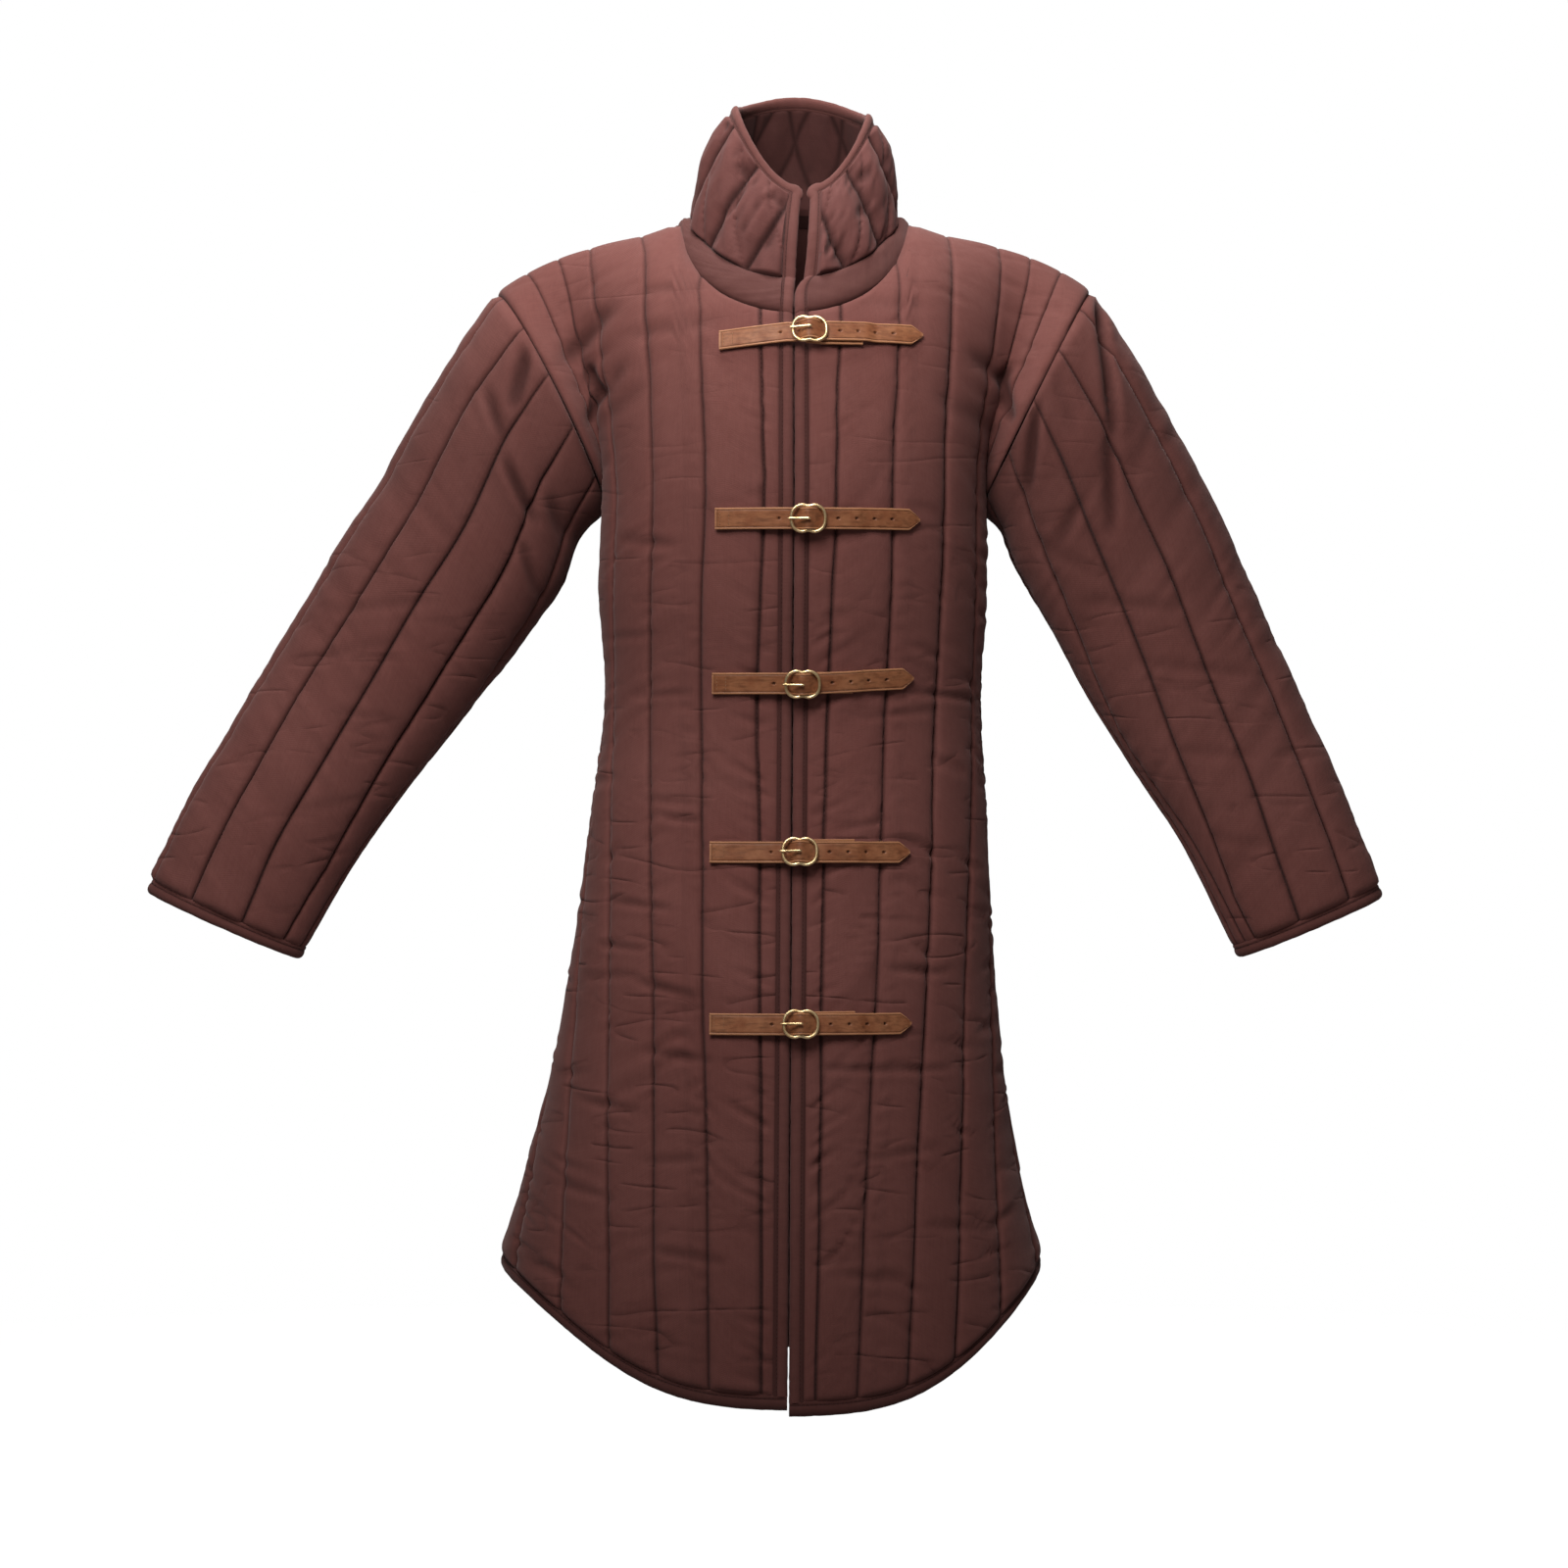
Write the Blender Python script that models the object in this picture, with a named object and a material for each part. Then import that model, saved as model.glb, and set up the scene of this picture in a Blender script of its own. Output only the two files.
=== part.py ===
"""Quilted gambeson: a padded coat with a stand collar, closed by five buckled leather straps.

The coat keeps the hollow form that it has when worn. Each cut and sewn piece is a solid of its
own. A quilted piece is a wall of even thickness whose outer skin rises between its stitch lines.
Frame: +X to the wearer's left, +Y to the back, +Z up, in metres. The origin is the middle of the
shoulder line, where the wearer's shoulders carry the coat.
"""
import math
from collections import namedtuple

import bmesh
import bpy
import numpy as np
from mathutils import Matrix, Vector

# Cloth and padding
WALL = 0.004            # wall pressed flat at a stitch line
PUFF = 0.006            # rise of the padding between two lines
FULL_CHANNEL = 0.045    # a narrower channel rises less, in proportion
SLEEVE_PITCH = 0.048    # quilting pitch on the sleeves
CROWDED = 0.011         # spacing of lines that are pushed in at a seam
SEAM_GAP = 0.0003       # clearance between sewn pieces
BINDING = 0.011         # width of a bound edge
BINDING_BULGE = 0.0042  # half thickness of a bound edge
PARTS_PER_CHANNEL = 3   # facets across one quilted channel
THINNER = 0.0008        # what a coarser inner skin may take off the wall
OFF_CHORD = 0.003       # how far it may leave the skin's own line
PUFF_ROUNDING = 0.38    # the padding's profile: 1 is a sine, 0 a square step
BODY_CALM = 0.020       # distance from a rim over which the body's folds fade out
BODY_RISE = 0.024       # and its padding rises
SLEEVE_CALM = 0.012     # the same for the sleeves
SLEEVE_RISE = 0.016
COLLAR_RISE = 0.008     # and for the collar's padding

# Body
UNDERARM_Z = -0.236
HEM_MIDDLE_Z = -0.991   # lowest point of the hem, at the centre of the back
HEM_SIDE_Z = -0.891     # hem at the side seam
VENT_TOP_Z = -0.805
BODY_POWER = 2.3        # squareness of the body's sections
FRONT_EDGE = 0.0115     # centre of the opening to the cut edge, under the binding
NECK_EDGE = 0.0125      # the same at the neckline
NECK_X = 0.0015         # the neck stands a little to the wearer's left
OPENING_AT_HEM = -0.0034        # where the fronts meet, at the hem and at the underarm's height
OPENING_AT_CHEST = 0.0015
SHOULDER_TIP = 0.2560   # half the shoulder width
SHOULDER_TIP_Z = -0.0530
SHOULDER_LEAN = 0.001   # left tip higher, right tip lower
ARMHOLE_DEPTH = 0.070   # half the armhole, front to back
RIM_ANGLE = math.radians(42.0)  # slope of the neck seams' rims

# How low the hem is at its middle, and how squarely it turns up towards its corners.
Hem = namedtuple("Hem", "middle_z rounding")
HEMS = {"right": Hem(-0.989, 0.6), "left": Hem(-0.994, 0.75), "back": Hem(HEM_MIDDLE_Z, 0.6)}

# One row a level: half widths and depths of the stitch-line surface.
Section = namedtuple("Section", "z centre half_width front back")
BODY_SECTIONS = (
    Section(-1.000, -0.0195, 0.2600, 0.198, 0.195),
    Section(-0.897, -0.0185, 0.2340, 0.183, 0.180),
    Section(-0.816, -0.0165, 0.2110, 0.172, 0.169),
    Section(-0.714, -0.0120, 0.1905, 0.158, 0.155),
    Section(-0.612, -0.0072, 0.1775, 0.145, 0.143),
    Section(-0.510, -0.0030, 0.1695, 0.130, 0.123),
    Section(-0.408, 0.0008, 0.1605, 0.122, 0.108),
    Section(-0.306, 0.0008, 0.1645, 0.140, 0.127),
    Section(-0.236, 0.0015, 0.1635, 0.145, 0.135),
)

# Where each quilting line starts at the centre and where it ends at the neck or shoulder.
Line = namedtuple("Line", "run top")
FRONT_LINES = (
    Line(FRONT_EDGE, NECK_EDGE),
    Line(0.030, 0.034),
    Line(0.080, 0.0845),
    Line(0.130, 0.131),
    Line(0.180, 0.176),
    Line(0.235, 0.201),
    Line(0.285, 0.225),
)
BACK_LINES = (
    Line(0.0, 0.0),
    Line(0.050, 0.050),
    Line(0.100, 0.100),
    Line(0.150, 0.142),
    Line(0.200, 0.182),
    Line(0.250, 0.206),
    Line(0.300, 0.228),
)
LAST_PLAIN_LINE = 4     # lines past this one end round the armhole

# Profile above the underarm: powers of its curve, at two reaches from the centre.
PROFILE_REACH = (0.06, 0.12)
FULLNESS = (1.15, 2.0)
FRONT_SWEEP = (1.9, 2.0)
BACK_SWEEP = (2.2, 2.0)

# Top line of the shoulder, from the neck outward.
Shoulder = namedtuple("Shoulder", "x z")
SHOULDER_LINE = (
    Shoulder(0.090, 0.0095),
    Shoulder(0.126, -0.0035),
    Shoulder(0.1675, -0.0125),
    Shoulder(0.198, -0.0220),
    Shoulder(0.2560, -0.0530),
)

# Rings round the neck: the body's neckline, the collar seam and the collar's top.
NeckRing = namedtuple("NeckRing", "centre half_width front back side_z front_z back_z dip slant edge")
NECKLINE = NeckRing(NECK_X, 0.100, 0.110, 0.076, 0.0075, -0.080, 0.018, 1.0, 0.0, NECK_EDGE)
COLLAR_SEAM = NeckRing(NECK_X, 0.087, 0.090, 0.065, 0.012, -0.049, 0.028, 1.3, 0.0, 0.0150)
COLLAR_TOP = NeckRing(0.0085, 0.0625, 0.060, 0.058, 0.099, 0.025, 0.118, 1.9, -0.06, 0.0155)
COLLAR_BULGE = 0.008
COLLAR_PUFF = 0.004
DIAMOND = 0.033         # width of a quilted diamond
DIAMOND_SLANT = 0.53    # sideways step of its lines for each step up
PILLOW_ROUNDING = 0.5   # a diamond's profile: 1 is a sine, 0 a square step

# One row a ring, armhole to cuff: |x|, z, half width, lean from level in degrees, half depth.
SleeveRing = namedtuple("SleeveRing", "x z half_width lean half_depth")
SLEEVE_RINGS = {
    "right": (
        SleeveRing(0.2385, -0.1855, 0.0890, 52.0, 0.073),
        SleeveRing(0.2745, -0.2540, 0.0870, 38.0, 0.070),
        SleeveRing(0.3175, -0.3196, 0.0850, 33.0, 0.066),
        SleeveRing(0.3625, -0.3846, 0.0800, 32.0, 0.061),
        SleeveRing(0.4060, -0.4497, 0.0755, 32.0, 0.055),
        SleeveRing(0.4478, -0.5151, 0.0730, 30.0, 0.048),
        SleeveRing(0.4880, -0.5890, 0.0715, 24.0, 0.040),
    ),
    "left": (
        SleeveRing(0.2390, -0.1850, 0.0890, 50.0, 0.073),
        SleeveRing(0.2680, -0.2410, 0.0860, 36.0, 0.070),
        SleeveRing(0.2967, -0.2945, 0.0840, 30.0, 0.066),
        SleeveRing(0.3290, -0.3613, 0.0815, 27.0, 0.061),
        SleeveRing(0.3640, -0.4263, 0.0765, 27.0, 0.055),
        SleeveRing(0.4004, -0.4917, 0.0710, 26.5, 0.048),
        SleeveRing(0.4455, -0.5905, 0.0670, 23.0, 0.040),
    ),
}
SLEEVE_POWER = 2.0
# Quilting lines of a sleeve, as runs of cloth from its outer fold.
SLEEVE_LINES = {
    "right": tuple(0.025 + SLEEVE_PITCH * step for step in range(-5, 5)),
    "left": tuple(SLEEVE_PITCH * step for step in range(-5, 6)),
}
ARMHOLE_YAW = {"right": 9.0, "left": 3.0}       # the armhole's front turns in, in degrees
SIDE_SIGN = {"right": -1.0, "left": 1.0}

FOLD_ENDS = 0.35        # how deep a fold is at its ends, as a share
# Deep folds, seen from the front: a trough from one point to another.
Fold = namedtuple("Fold", "x0 z0 x1 z1 depth width")
BODY_FOLDS = (
    Fold(-0.166, -0.128, -0.157, -0.155, 0.006, 0.008),
    Fold(-0.164, -0.152, -0.171, -0.175, 0.005, 0.008),
    Fold(-0.150, -0.085, -0.192, -0.124, 0.003, 0.010),
    Fold(0.178, -0.132, 0.186, -0.172, 0.006, 0.008),
    Fold(0.150, -0.110, 0.182, -0.128, 0.003, 0.010),
)
SLEEVE_FOLDS = (
    Fold(-0.222, -0.108, -0.232, -0.160, 0.010, 0.010),
    Fold(-0.245, -0.180, -0.262, -0.235, 0.006, 0.011),
    Fold(-0.205, -0.245, -0.250, -0.262, 0.006, 0.010),
    Fold(0.259, -0.070, 0.266, -0.140, 0.010, 0.010),
    Fold(0.250, -0.165, 0.262, -0.230, 0.006, 0.011),
    Fold(0.205, -0.240, 0.243, -0.262, 0.006, 0.010),
)

# Straps and buckles
STRAP_WIDTH = 0.018
LEATHER = 0.0022
Strap = namedtuple("Strap", "z left right buckle buckle_strap")
STRAPS = (
    Strap(-0.101, -0.0610, 0.1060, 0.0125, 0.0560),
    Strap(-0.255, -0.0640, 0.1050, 0.0115, 0.0490),
    Strap(-0.391, -0.0660, 0.1005, 0.0080, 0.0490),
    Strap(-0.534, -0.0670, 0.0980, 0.0065, 0.0510),
    Strap(-0.676, -0.0660, 0.1000, 0.0080, 0.0520),
)
BUCKLE_HALF_WIDTH = 0.0141
BUCKLE_HALF_HEIGHT = 0.0116
BUCKLE_WIRE = 0.0014
BUCKLE_PINCH = 0.16
PINCH_WIDTH = 0.004
BUCKLE_ROUNDING = 0.7
BUCKLE_LIFT = 0.0076    # wire's middle above the padding
BAR_RADIUS = 0.0013
LAID = 0.0006           # underside of leather that lies on the padding
ON_SHORT = 0.0030       # the same on the buckle strap
OVER_BAR = 0.0093       # the same over the bar
UNDER_BAR = 0.0029      # underside of the buckle strap below the bar
CLIMB = 0.0073          # underside of a strap just before and behind the bar
DESCENT = 0.0022        # underside of the buckle strap just behind the bar
TO_CLIMB = 0.0040       # from the bar to there
TO_RING = 0.0100        # from the bar to a ring of the buckle
TO_LAID = 0.020         # from the bar to where a strap lies flat before it
TO_SHORT = 0.0240       # from the bar to where it lies flat on the buckle strap
FOLD_BACK = 0.003       # what the buckle strap's fold reaches past the bar
PAST_SHORT = 0.003      # what a strap runs level past the buckle strap's end
STEP_DOWN = 0.008       # length in which it comes down to the padding
SETTLED = 0.019         # where its free end begins, from the same place
TIP_LENGTH = 0.010
TIP_SHARE = 0.25        # width of the tip's end, as a share of the strap's
STRAP_STATIONS = 4      # sections of a strap's sewn end
WIRE_STATIONS = 14      # sections round the buckle's wire, and their sides
WIRE_SIDES = 5
BAR_SIDES = 8
PRONG_SIDES = 6
# The prong, from over the bar to the far ring: along the strap, above the padding, and round it.
ProngRing = namedtuple("ProngRing", "x lift radius")
PRONG = (
    ProngRing(0.0016, 0.0129, 0.0011),
    ProngRing(-0.0050, 0.0125, 0.0010),
    ProngRing(-0.0110, 0.0111, 0.0009),
    ProngRing(-0.0141, 0.0103, 0.0008),
    ProngRing(-0.0166, 0.0101, 0.0006),
)

UNDERARM_EASE = 0.0022  # a sleeve stands this much clearer of the body at the underarm
BAND_SWELL = 0.001


# ---- curves

def spline(rows, key, name, at):
    """Smooth curve through one column of a table, read at the values `at` of its key column."""
    table = sorted(rows, key=lambda row: getattr(row, key))
    keys = np.array([getattr(row, key) for row in table])
    return curve(keys, np.array([getattr(row, name) for row in table]), at)


def curve(keys, values, at):
    """Cubic curve through (keys, values), whose slopes are those of its neighbours' chords."""
    at = np.clip(np.asarray(at, dtype=float), keys[0], keys[-1])
    slopes = np.gradient(values, keys)
    left = np.clip(np.searchsorted(keys, at, side="right") - 1, 0, len(keys) - 2)
    span = keys[left + 1] - keys[left]
    step = (at - keys[left]) / span
    rise = values[left + 1] - values[left]
    lead = slopes[left] * span
    trail = slopes[left + 1] * span
    bend = 3 * rise - 2 * lead - trail
    twist = lead + trail - 2 * rise
    return values[left] + step * (lead + step * (bend + step * twist))


def quarter(width, depth, power, samples=33):
    """Quarter superellipse from (0, depth) to (width, 0): its x, y and run of cloth, sampled."""
    angle = np.linspace(0.0, math.pi / 2, samples)
    across = np.asarray(width)[..., None] * np.sin(angle) ** (2 / power)
    deep = np.asarray(depth)[..., None] * np.abs(np.cos(angle)) ** (2 / power)
    steps = np.hypot(np.diff(across, axis=-1), np.diff(deep, axis=-1))
    run = np.concatenate([np.zeros(steps.shape[:-1] + (1,)), np.cumsum(steps, axis=-1)], axis=-1)
    return across, deep, run


def quarter_length(width, depth, power):
    """Run of cloth round a quarter superellipse."""
    return quarter(width, depth, power)[2][..., -1]


def along_quarter(width, depth, power, target):
    """Point (x, y) of a quarter superellipse at a run of cloth from its deep end."""
    across, deep, run = quarter(width, depth, power)
    target = np.clip(target, 0.0, run[..., -1])
    index = np.clip((run <= target[..., None]).sum(axis=-1) - 1, 0, run.shape[-1] - 2)[..., None]

    def pick(array, shift=0):
        return np.take_along_axis(array, index + shift, axis=-1)[..., 0]

    part = (target - pick(run)) / (pick(run, 1) - pick(run))
    x = pick(across) + part * (pick(across, 1) - pick(across))
    y = pick(deep) + part * (pick(deep, 1) - pick(deep))
    return x, y


def spread(lines, shift, start, end, column):
    """Run of cloth at a column: 0 is `start`, 1 to n the lines moved by `shift`, n + 1 `end`.

    Lines keep their place, and those that reach past an edge are pushed in, close together.
    """
    count = len(lines)
    places = np.array(lines)

    def at(index):
        inner = places[np.clip(index - 1, 0, count - 1)] + shift
        inner = np.maximum(inner, start + CROWDED * index)
        inner = np.minimum(inner, end - CROWDED * (count + 1 - index))
        return np.where(index <= 0, start, np.where(index > count, end, inner))

    left = np.clip(np.floor(column).astype(int), 0, count)
    low = at(left)
    return low + (column - left) * (at(left + 1) - low)


def unit(vectors):
    """Vectors at length one."""
    return vectors / np.maximum(np.linalg.norm(vectors, axis=-1, keepdims=True), 1e-12)


def stack(x, y, z):
    """Points from their coordinates, of shapes that match."""
    x, y, z = np.broadcast_arrays(x, y, z)
    return np.stack([x, y, z], axis=-1)


# ---- body surface

def section(z, face):
    """Centre, half width and depth of the body at a height."""
    depth = np.where(face < 0, spline(BODY_SECTIONS, "z", "front", z),
                     spline(BODY_SECTIONS, "z", "back", z))
    centre = spline(BODY_SECTIONS, "z", "centre", z)
    return centre, spline(BODY_SECTIONS, "z", "half_width", z), depth


def opening_x(z):
    """Where the two fronts meet."""
    return np.interp(z, [HEM_MIDDLE_Z, UNDERARM_Z, 0.0],
                     [OPENING_AT_HEM, OPENING_AT_CHEST, NECK_X])


def girth_point(face, run, z):
    """Point of the body at a signed run of cloth from the middle of its front or back."""
    centre, half_width, depth = section(z, face)
    across, deep = along_quarter(half_width, depth, BODY_POWER, np.abs(run))
    return stack(centre + np.sign(run) * across, face * deep, z)


def hem_share(lines, side_of_hem, column):
    """How far round a column lies at the hem: 0 at the centre, 1 at the side seam."""
    runs = np.array([line.run for line in lines] + [side_of_hem])
    return np.clip(np.interp(column, np.arange(len(runs)), runs) / side_of_hem, 0.0, 1.0)


def hem_height(hem, share):
    """Height of a finished hem, from its middle at 0 to its side seam at 1."""
    soft = np.sin(0.5 * math.pi * share) ** 2
    swing = soft + hem.rounding * (np.sin(0.5 * math.pi * soft) ** 2 - soft)
    return hem.middle_z + (HEM_SIDE_Z - hem.middle_z) * swing


def lower_point(side, face, column, rise):
    """Body below the underarm. rise is 0 at the hem and 1 at the underarm."""
    lines = FRONT_LINES if face < 0 else BACK_LINES
    hem_width, hem_depth = section(0.5 * (HEM_MIDDLE_Z + HEM_SIDE_Z), face)[1:]
    share = hem_share(lines, quarter_length(hem_width, hem_depth, BODY_POWER), column)
    piece = "back" if face > 0 else "left" if side > 0 else "right"
    hem = hem_height(HEMS[piece], share) + BINDING
    z = hem + (UNDERARM_Z - hem) * rise
    centre, half_width, depth = section(z, face)
    seam = quarter_length(half_width, depth, BODY_POWER)
    shift = side * (opening_x(z) - centre) if face < 0 else 0.0 * z
    inset = np.where(z < VENT_TOP_Z - SEAM_GAP, BINDING + SEAM_GAP, 0.0)
    start = lines[0].run + shift
    run = spread([line.run for line in lines[1:]], shift, start, seam - inset, column)
    return girth_point(face, side * run, z)


def ring_point(ring, angle):
    """Point of a ring round the neck. The angle is 0 at the front and grows to the left."""
    turn = np.cos(angle)
    ahead = turn > 0
    reach = np.where(ahead, ring.front, ring.back)
    end_z = np.where(ahead, ring.front_z, ring.back_z)
    x = ring.centre + ring.half_width * np.sin(angle)
    z = ring.side_z + (end_z - ring.side_z) * np.abs(turn) ** ring.dip
    z = z + ring.slant * (x - ring.centre)
    return stack(x, -reach * turn, z)


def ring_outward(ring, angle):
    """Level direction away from the neck."""
    reach = np.where(np.cos(angle) > 0, ring.front, ring.back)
    return unit(stack(np.sin(angle) / ring.half_width, -np.cos(angle) / reach, 0.0 * angle))


def neck_rim(ring, angle):
    """Directions of a neck seam: through the wall, and up along the collar."""
    out = ring_outward(ring, angle)
    up = np.array([0.0, 0.0, 1.0])
    through = out * math.cos(RIM_ANGLE) + up * math.sin(RIM_ANGLE)
    return through, up * math.cos(RIM_ANGLE) - out * math.sin(RIM_ANGLE)


def top_reach(face, column):
    """How far from the centre a plain column ends at the top."""
    lines = FRONT_LINES if face < 0 else BACK_LINES
    return np.interp(column, np.arange(LAST_PLAIN_LINE + 1),
                     [line.top for line in lines[:LAST_PLAIN_LINE + 1]])


def top_point(side, face, column):
    """End of a plain column, on the neckline or on the shoulder seam."""
    reach = top_reach(face, column)
    angle = np.arcsin(np.clip(reach / NECKLINE.half_width, 0.0, 1.0))
    angle = side * (angle if face < 0 else math.pi - angle)
    on_neck = ring_point(NECKLINE, angle)
    outward = (reach - NECKLINE.half_width) / (SHOULDER_TIP - NECKLINE.half_width)
    lean = side * SHOULDER_LEAN * np.clip(outward, 0.0, 1.0)
    z = curve(*shoulder_table(), reach) + lean
    on_shoulder = stack(NECK_X + side * reach, 0.0 * z, z)
    at_neck = reach <= NECKLINE.half_width + 1e-6
    return np.where(at_neck[..., None], on_neck, on_shoulder)


def shoulder_table():
    """Keys and heights of the shoulder line."""
    return (np.array([row.x for row in SHOULDER_LINE]),
            np.array([row.z for row in SHOULDER_LINE]))


def profile_point(side, face, column, lift):
    """Body above the underarm on the plain columns. lift is 0 at the underarm, 1 at the top."""
    base = lower_point(side, face, column, np.ones_like(column))
    top = top_point(side, face, column)
    reach = top_reach(face, column)
    fullness = np.interp(reach, PROFILE_REACH, FULLNESS)
    sweep = np.interp(reach, PROFILE_REACH, FRONT_SWEEP if face < 0 else BACK_SWEEP)
    fall = np.clip(1.0 - lift ** sweep, 0.0, 1.0) ** (1.0 / fullness)
    ease = lift * lift * (3.0 - 2.0 * lift)
    x = base[..., 0] + (top[..., 0] - base[..., 0]) * ease
    y = top[..., 1] + (base[..., 1] - top[..., 1]) * fall
    z = base[..., 2] + (top[..., 2] - base[..., 2]) * lift
    return stack(x, y, z)


def armhole_frame(side):
    """Middle, long axis, half length, forward and outward directions of an armhole's plane."""
    centre, half_width, _ = section(np.array(UNDERARM_Z), -1)
    low = np.array([float(centre) + side * float(half_width), 0.0, UNDERARM_Z])
    high = np.array([NECK_X + side * SHOULDER_TIP, 0.0, SHOULDER_TIP_Z + side * SHOULDER_LEAN])
    axis = unit(high - low)
    yaw = math.radians(ARMHOLE_YAW["left" if side > 0 else "right"])
    forward = np.array([-side * math.sin(yaw), -math.cos(yaw), 0.0])
    forward = unit(forward - axis * forward.dot(axis))
    outward = side * np.cross(forward, axis)
    if outward[0] * side < 0:
        outward = -outward
    return 0.5 * (low + high), axis, 0.5 * np.linalg.norm(high - low), forward, outward


def armhole_point(side, turn):
    """Armhole seam: the angle `turn` is 0 at the underarm, pi at the shoulder, front side first."""
    middle, axis, half_length, forward, _ = armhole_frame(side)
    turn = np.asarray(turn, dtype=float)[..., None]
    return middle - np.cos(turn) * half_length * axis + np.sin(turn) * ARMHOLE_DEPTH * forward


def armhole_radial(side, turn):
    """Direction through the wall at the armhole seam."""
    _, axis, half_length, forward, _ = armhole_frame(side)
    turn = np.asarray(turn, dtype=float)[..., None]
    return unit(np.sin(turn) / ARMHOLE_DEPTH * forward - np.cos(turn) / half_length * axis)


def upper_point(side, face, column, climb):
    """Body above the underarm. climb is 0 at the underarm and 1 at the neck or shoulder."""
    seam = float(len(FRONT_LINES))
    lift = np.sin(0.5 * math.pi * climb)
    plain = profile_point(side, face, np.minimum(column, LAST_PLAIN_LINE), lift)
    ones = np.ones_like(column)
    last = profile_point(side, face, ones * LAST_PLAIN_LINE, lift)
    before = profile_point(side, face, ones * (LAST_PLAIN_LINE - 1), lift)
    ring = armhole_point(side, -face * math.pi * climb)
    part = np.clip((column - LAST_PLAIN_LINE) / (seam - LAST_PLAIN_LINE), 0.0, 1.0)
    span = np.linalg.norm(ring - last, axis=-1, keepdims=True)
    lead = unit(last - before) * span
    part = part[..., None]
    bent = last + lead * part + (ring - last - lead) * part ** 2
    start = lower_point(side, face, column, ones)
    zero = np.zeros_like(column)
    last0 = profile_point(side, face, ones * LAST_PLAIN_LINE, zero)
    before0 = profile_point(side, face, ones * (LAST_PLAIN_LINE - 1), zero)
    ring0 = armhole_point(side, zero)
    lead0 = unit(last0 - before0) * np.linalg.norm(ring0 - last0, axis=-1, keepdims=True)
    bent0 = last0 + lead0 * part + (ring0 - last0 - lead0) * part ** 2
    bent = bent + (start - bent0) * (1.0 - climb)[..., None] ** 3
    return np.where((column <= LAST_PLAIN_LINE)[..., None], plain, bent)


def body_point(side, face, column, rise):
    """Body surface at a column, from 0 at the centre to 7 at the seam, and a rise.

    The rise is 0 at the hem, 1 at the underarm and 2 at the neckline or shoulder seam.
    """
    lower = lower_point(side, face, column, np.minimum(rise, 1.0))
    upper = upper_point(side, face, column, np.clip(rise - 1.0, 0.0, 1.0))
    return np.where((rise > 1.0)[..., None], upper, lower)


# ---- sleeve surface

def sleeve_table(name):
    """Columns of numbers down a sleeve, ring by ring from the armhole: shares, then sizes."""
    side = SIDE_SIGN[name]
    middle, axis, half_length, _, _ = armhole_frame(side)
    lean = math.degrees(math.atan2(axis[2], side * axis[0]))
    first = SleeveRing(side * middle[0], middle[2], half_length, lean, ARMHOLE_DEPTH)
    rings = (first,) + SLEEVE_RINGS[name]
    table = np.array([list(ring) for ring in rings])
    steps = np.hypot(np.diff(table[:, 0]), np.diff(table[:, 1]))
    length = np.concatenate([[0.0], np.cumsum(steps)])
    return length / length[-1], table


def sleeve_point(name, column, down):
    """Sleeve surface. Columns run from the back of the underarm seam round to its front.

    down is 0 at the armhole and 1 at the cuff.
    """
    side = SIDE_SIGN[name]
    shares, table = sleeve_table(name)
    reach, z, half_width, lean, half_depth = (curve(shares, table[:, index], down)
                                              for index in range(5))
    lean = np.radians(lean)
    half = quarter_length(half_depth, half_width, SLEEVE_POWER)
    run = spread(SLEEVE_LINES[name], 0.0, -2.0 * half, 2.0 * half, column)
    past = np.abs(run) > half
    walked = np.where(past, 2.0 * half - np.abs(run), np.abs(run))
    deep, across = along_quarter(half_depth, half_width, SLEEVE_POWER, walked)
    across = np.where(past, -across, across)
    forward = armhole_frame(side)[3]
    settle = np.clip(down / shares[1], 0.0, 1.0)[..., None]
    ahead = unit(forward * (1.0 - settle) + np.array([0.0, -1.0, 0.0]) * settle)
    centre = stack(side * reach, 0.0 * z, z)
    spoke = stack(side * np.cos(lean), 0.0 * z, np.sin(lean))
    return centre + across[..., None] * spoke + (np.sign(run) * deep)[..., None] * ahead


# ---- collar surface

def ring_angles(ring, share):
    """Angles round the neck from one front edge of a ring, at 0, to the other, at 1."""
    gap = math.asin(ring.edge / ring.half_width)
    return gap + (2.0 * math.pi - 2.0 * gap) * share


def between_edges(low, high, share, rise):
    """Angles round the neck on a piece between two rings."""
    return ring_angles(low, share) * (1.0 - rise) + ring_angles(high, share) * rise


def collar_point(share, rise):
    """Collar surface. share is 0 and 1 at its front edges; rise is 0 at its seam, 1 at its top."""
    angle = between_edges(COLLAR_SEAM, COLLAR_TOP, share, rise)
    low = ring_point(COLLAR_SEAM, angle) + neck_rim(COLLAR_SEAM, angle)[1] * 0.5 * SEAM_GAP
    high = ring_point(COLLAR_TOP, angle)
    swell = ring_outward(COLLAR_SEAM, angle) * (COLLAR_BULGE * np.sin(math.pi * rise))[..., None]
    part = rise[..., None]
    return low * (1.0 - part) + high * part + swell


def band_point(share, rise):
    """Neck band surface, from the neckline at rise 0 to the collar seam at rise 1."""
    angle = between_edges(NECKLINE, COLLAR_SEAM, share, rise)
    low = ring_point(NECKLINE, angle) + neck_rim(NECKLINE, angle)[1] * 0.5 * SEAM_GAP
    high = ring_point(COLLAR_SEAM, angle) - neck_rim(COLLAR_SEAM, angle)[1] * 0.5 * SEAM_GAP
    part = rise[..., None]
    return low * (1.0 - part) + high * part


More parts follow.
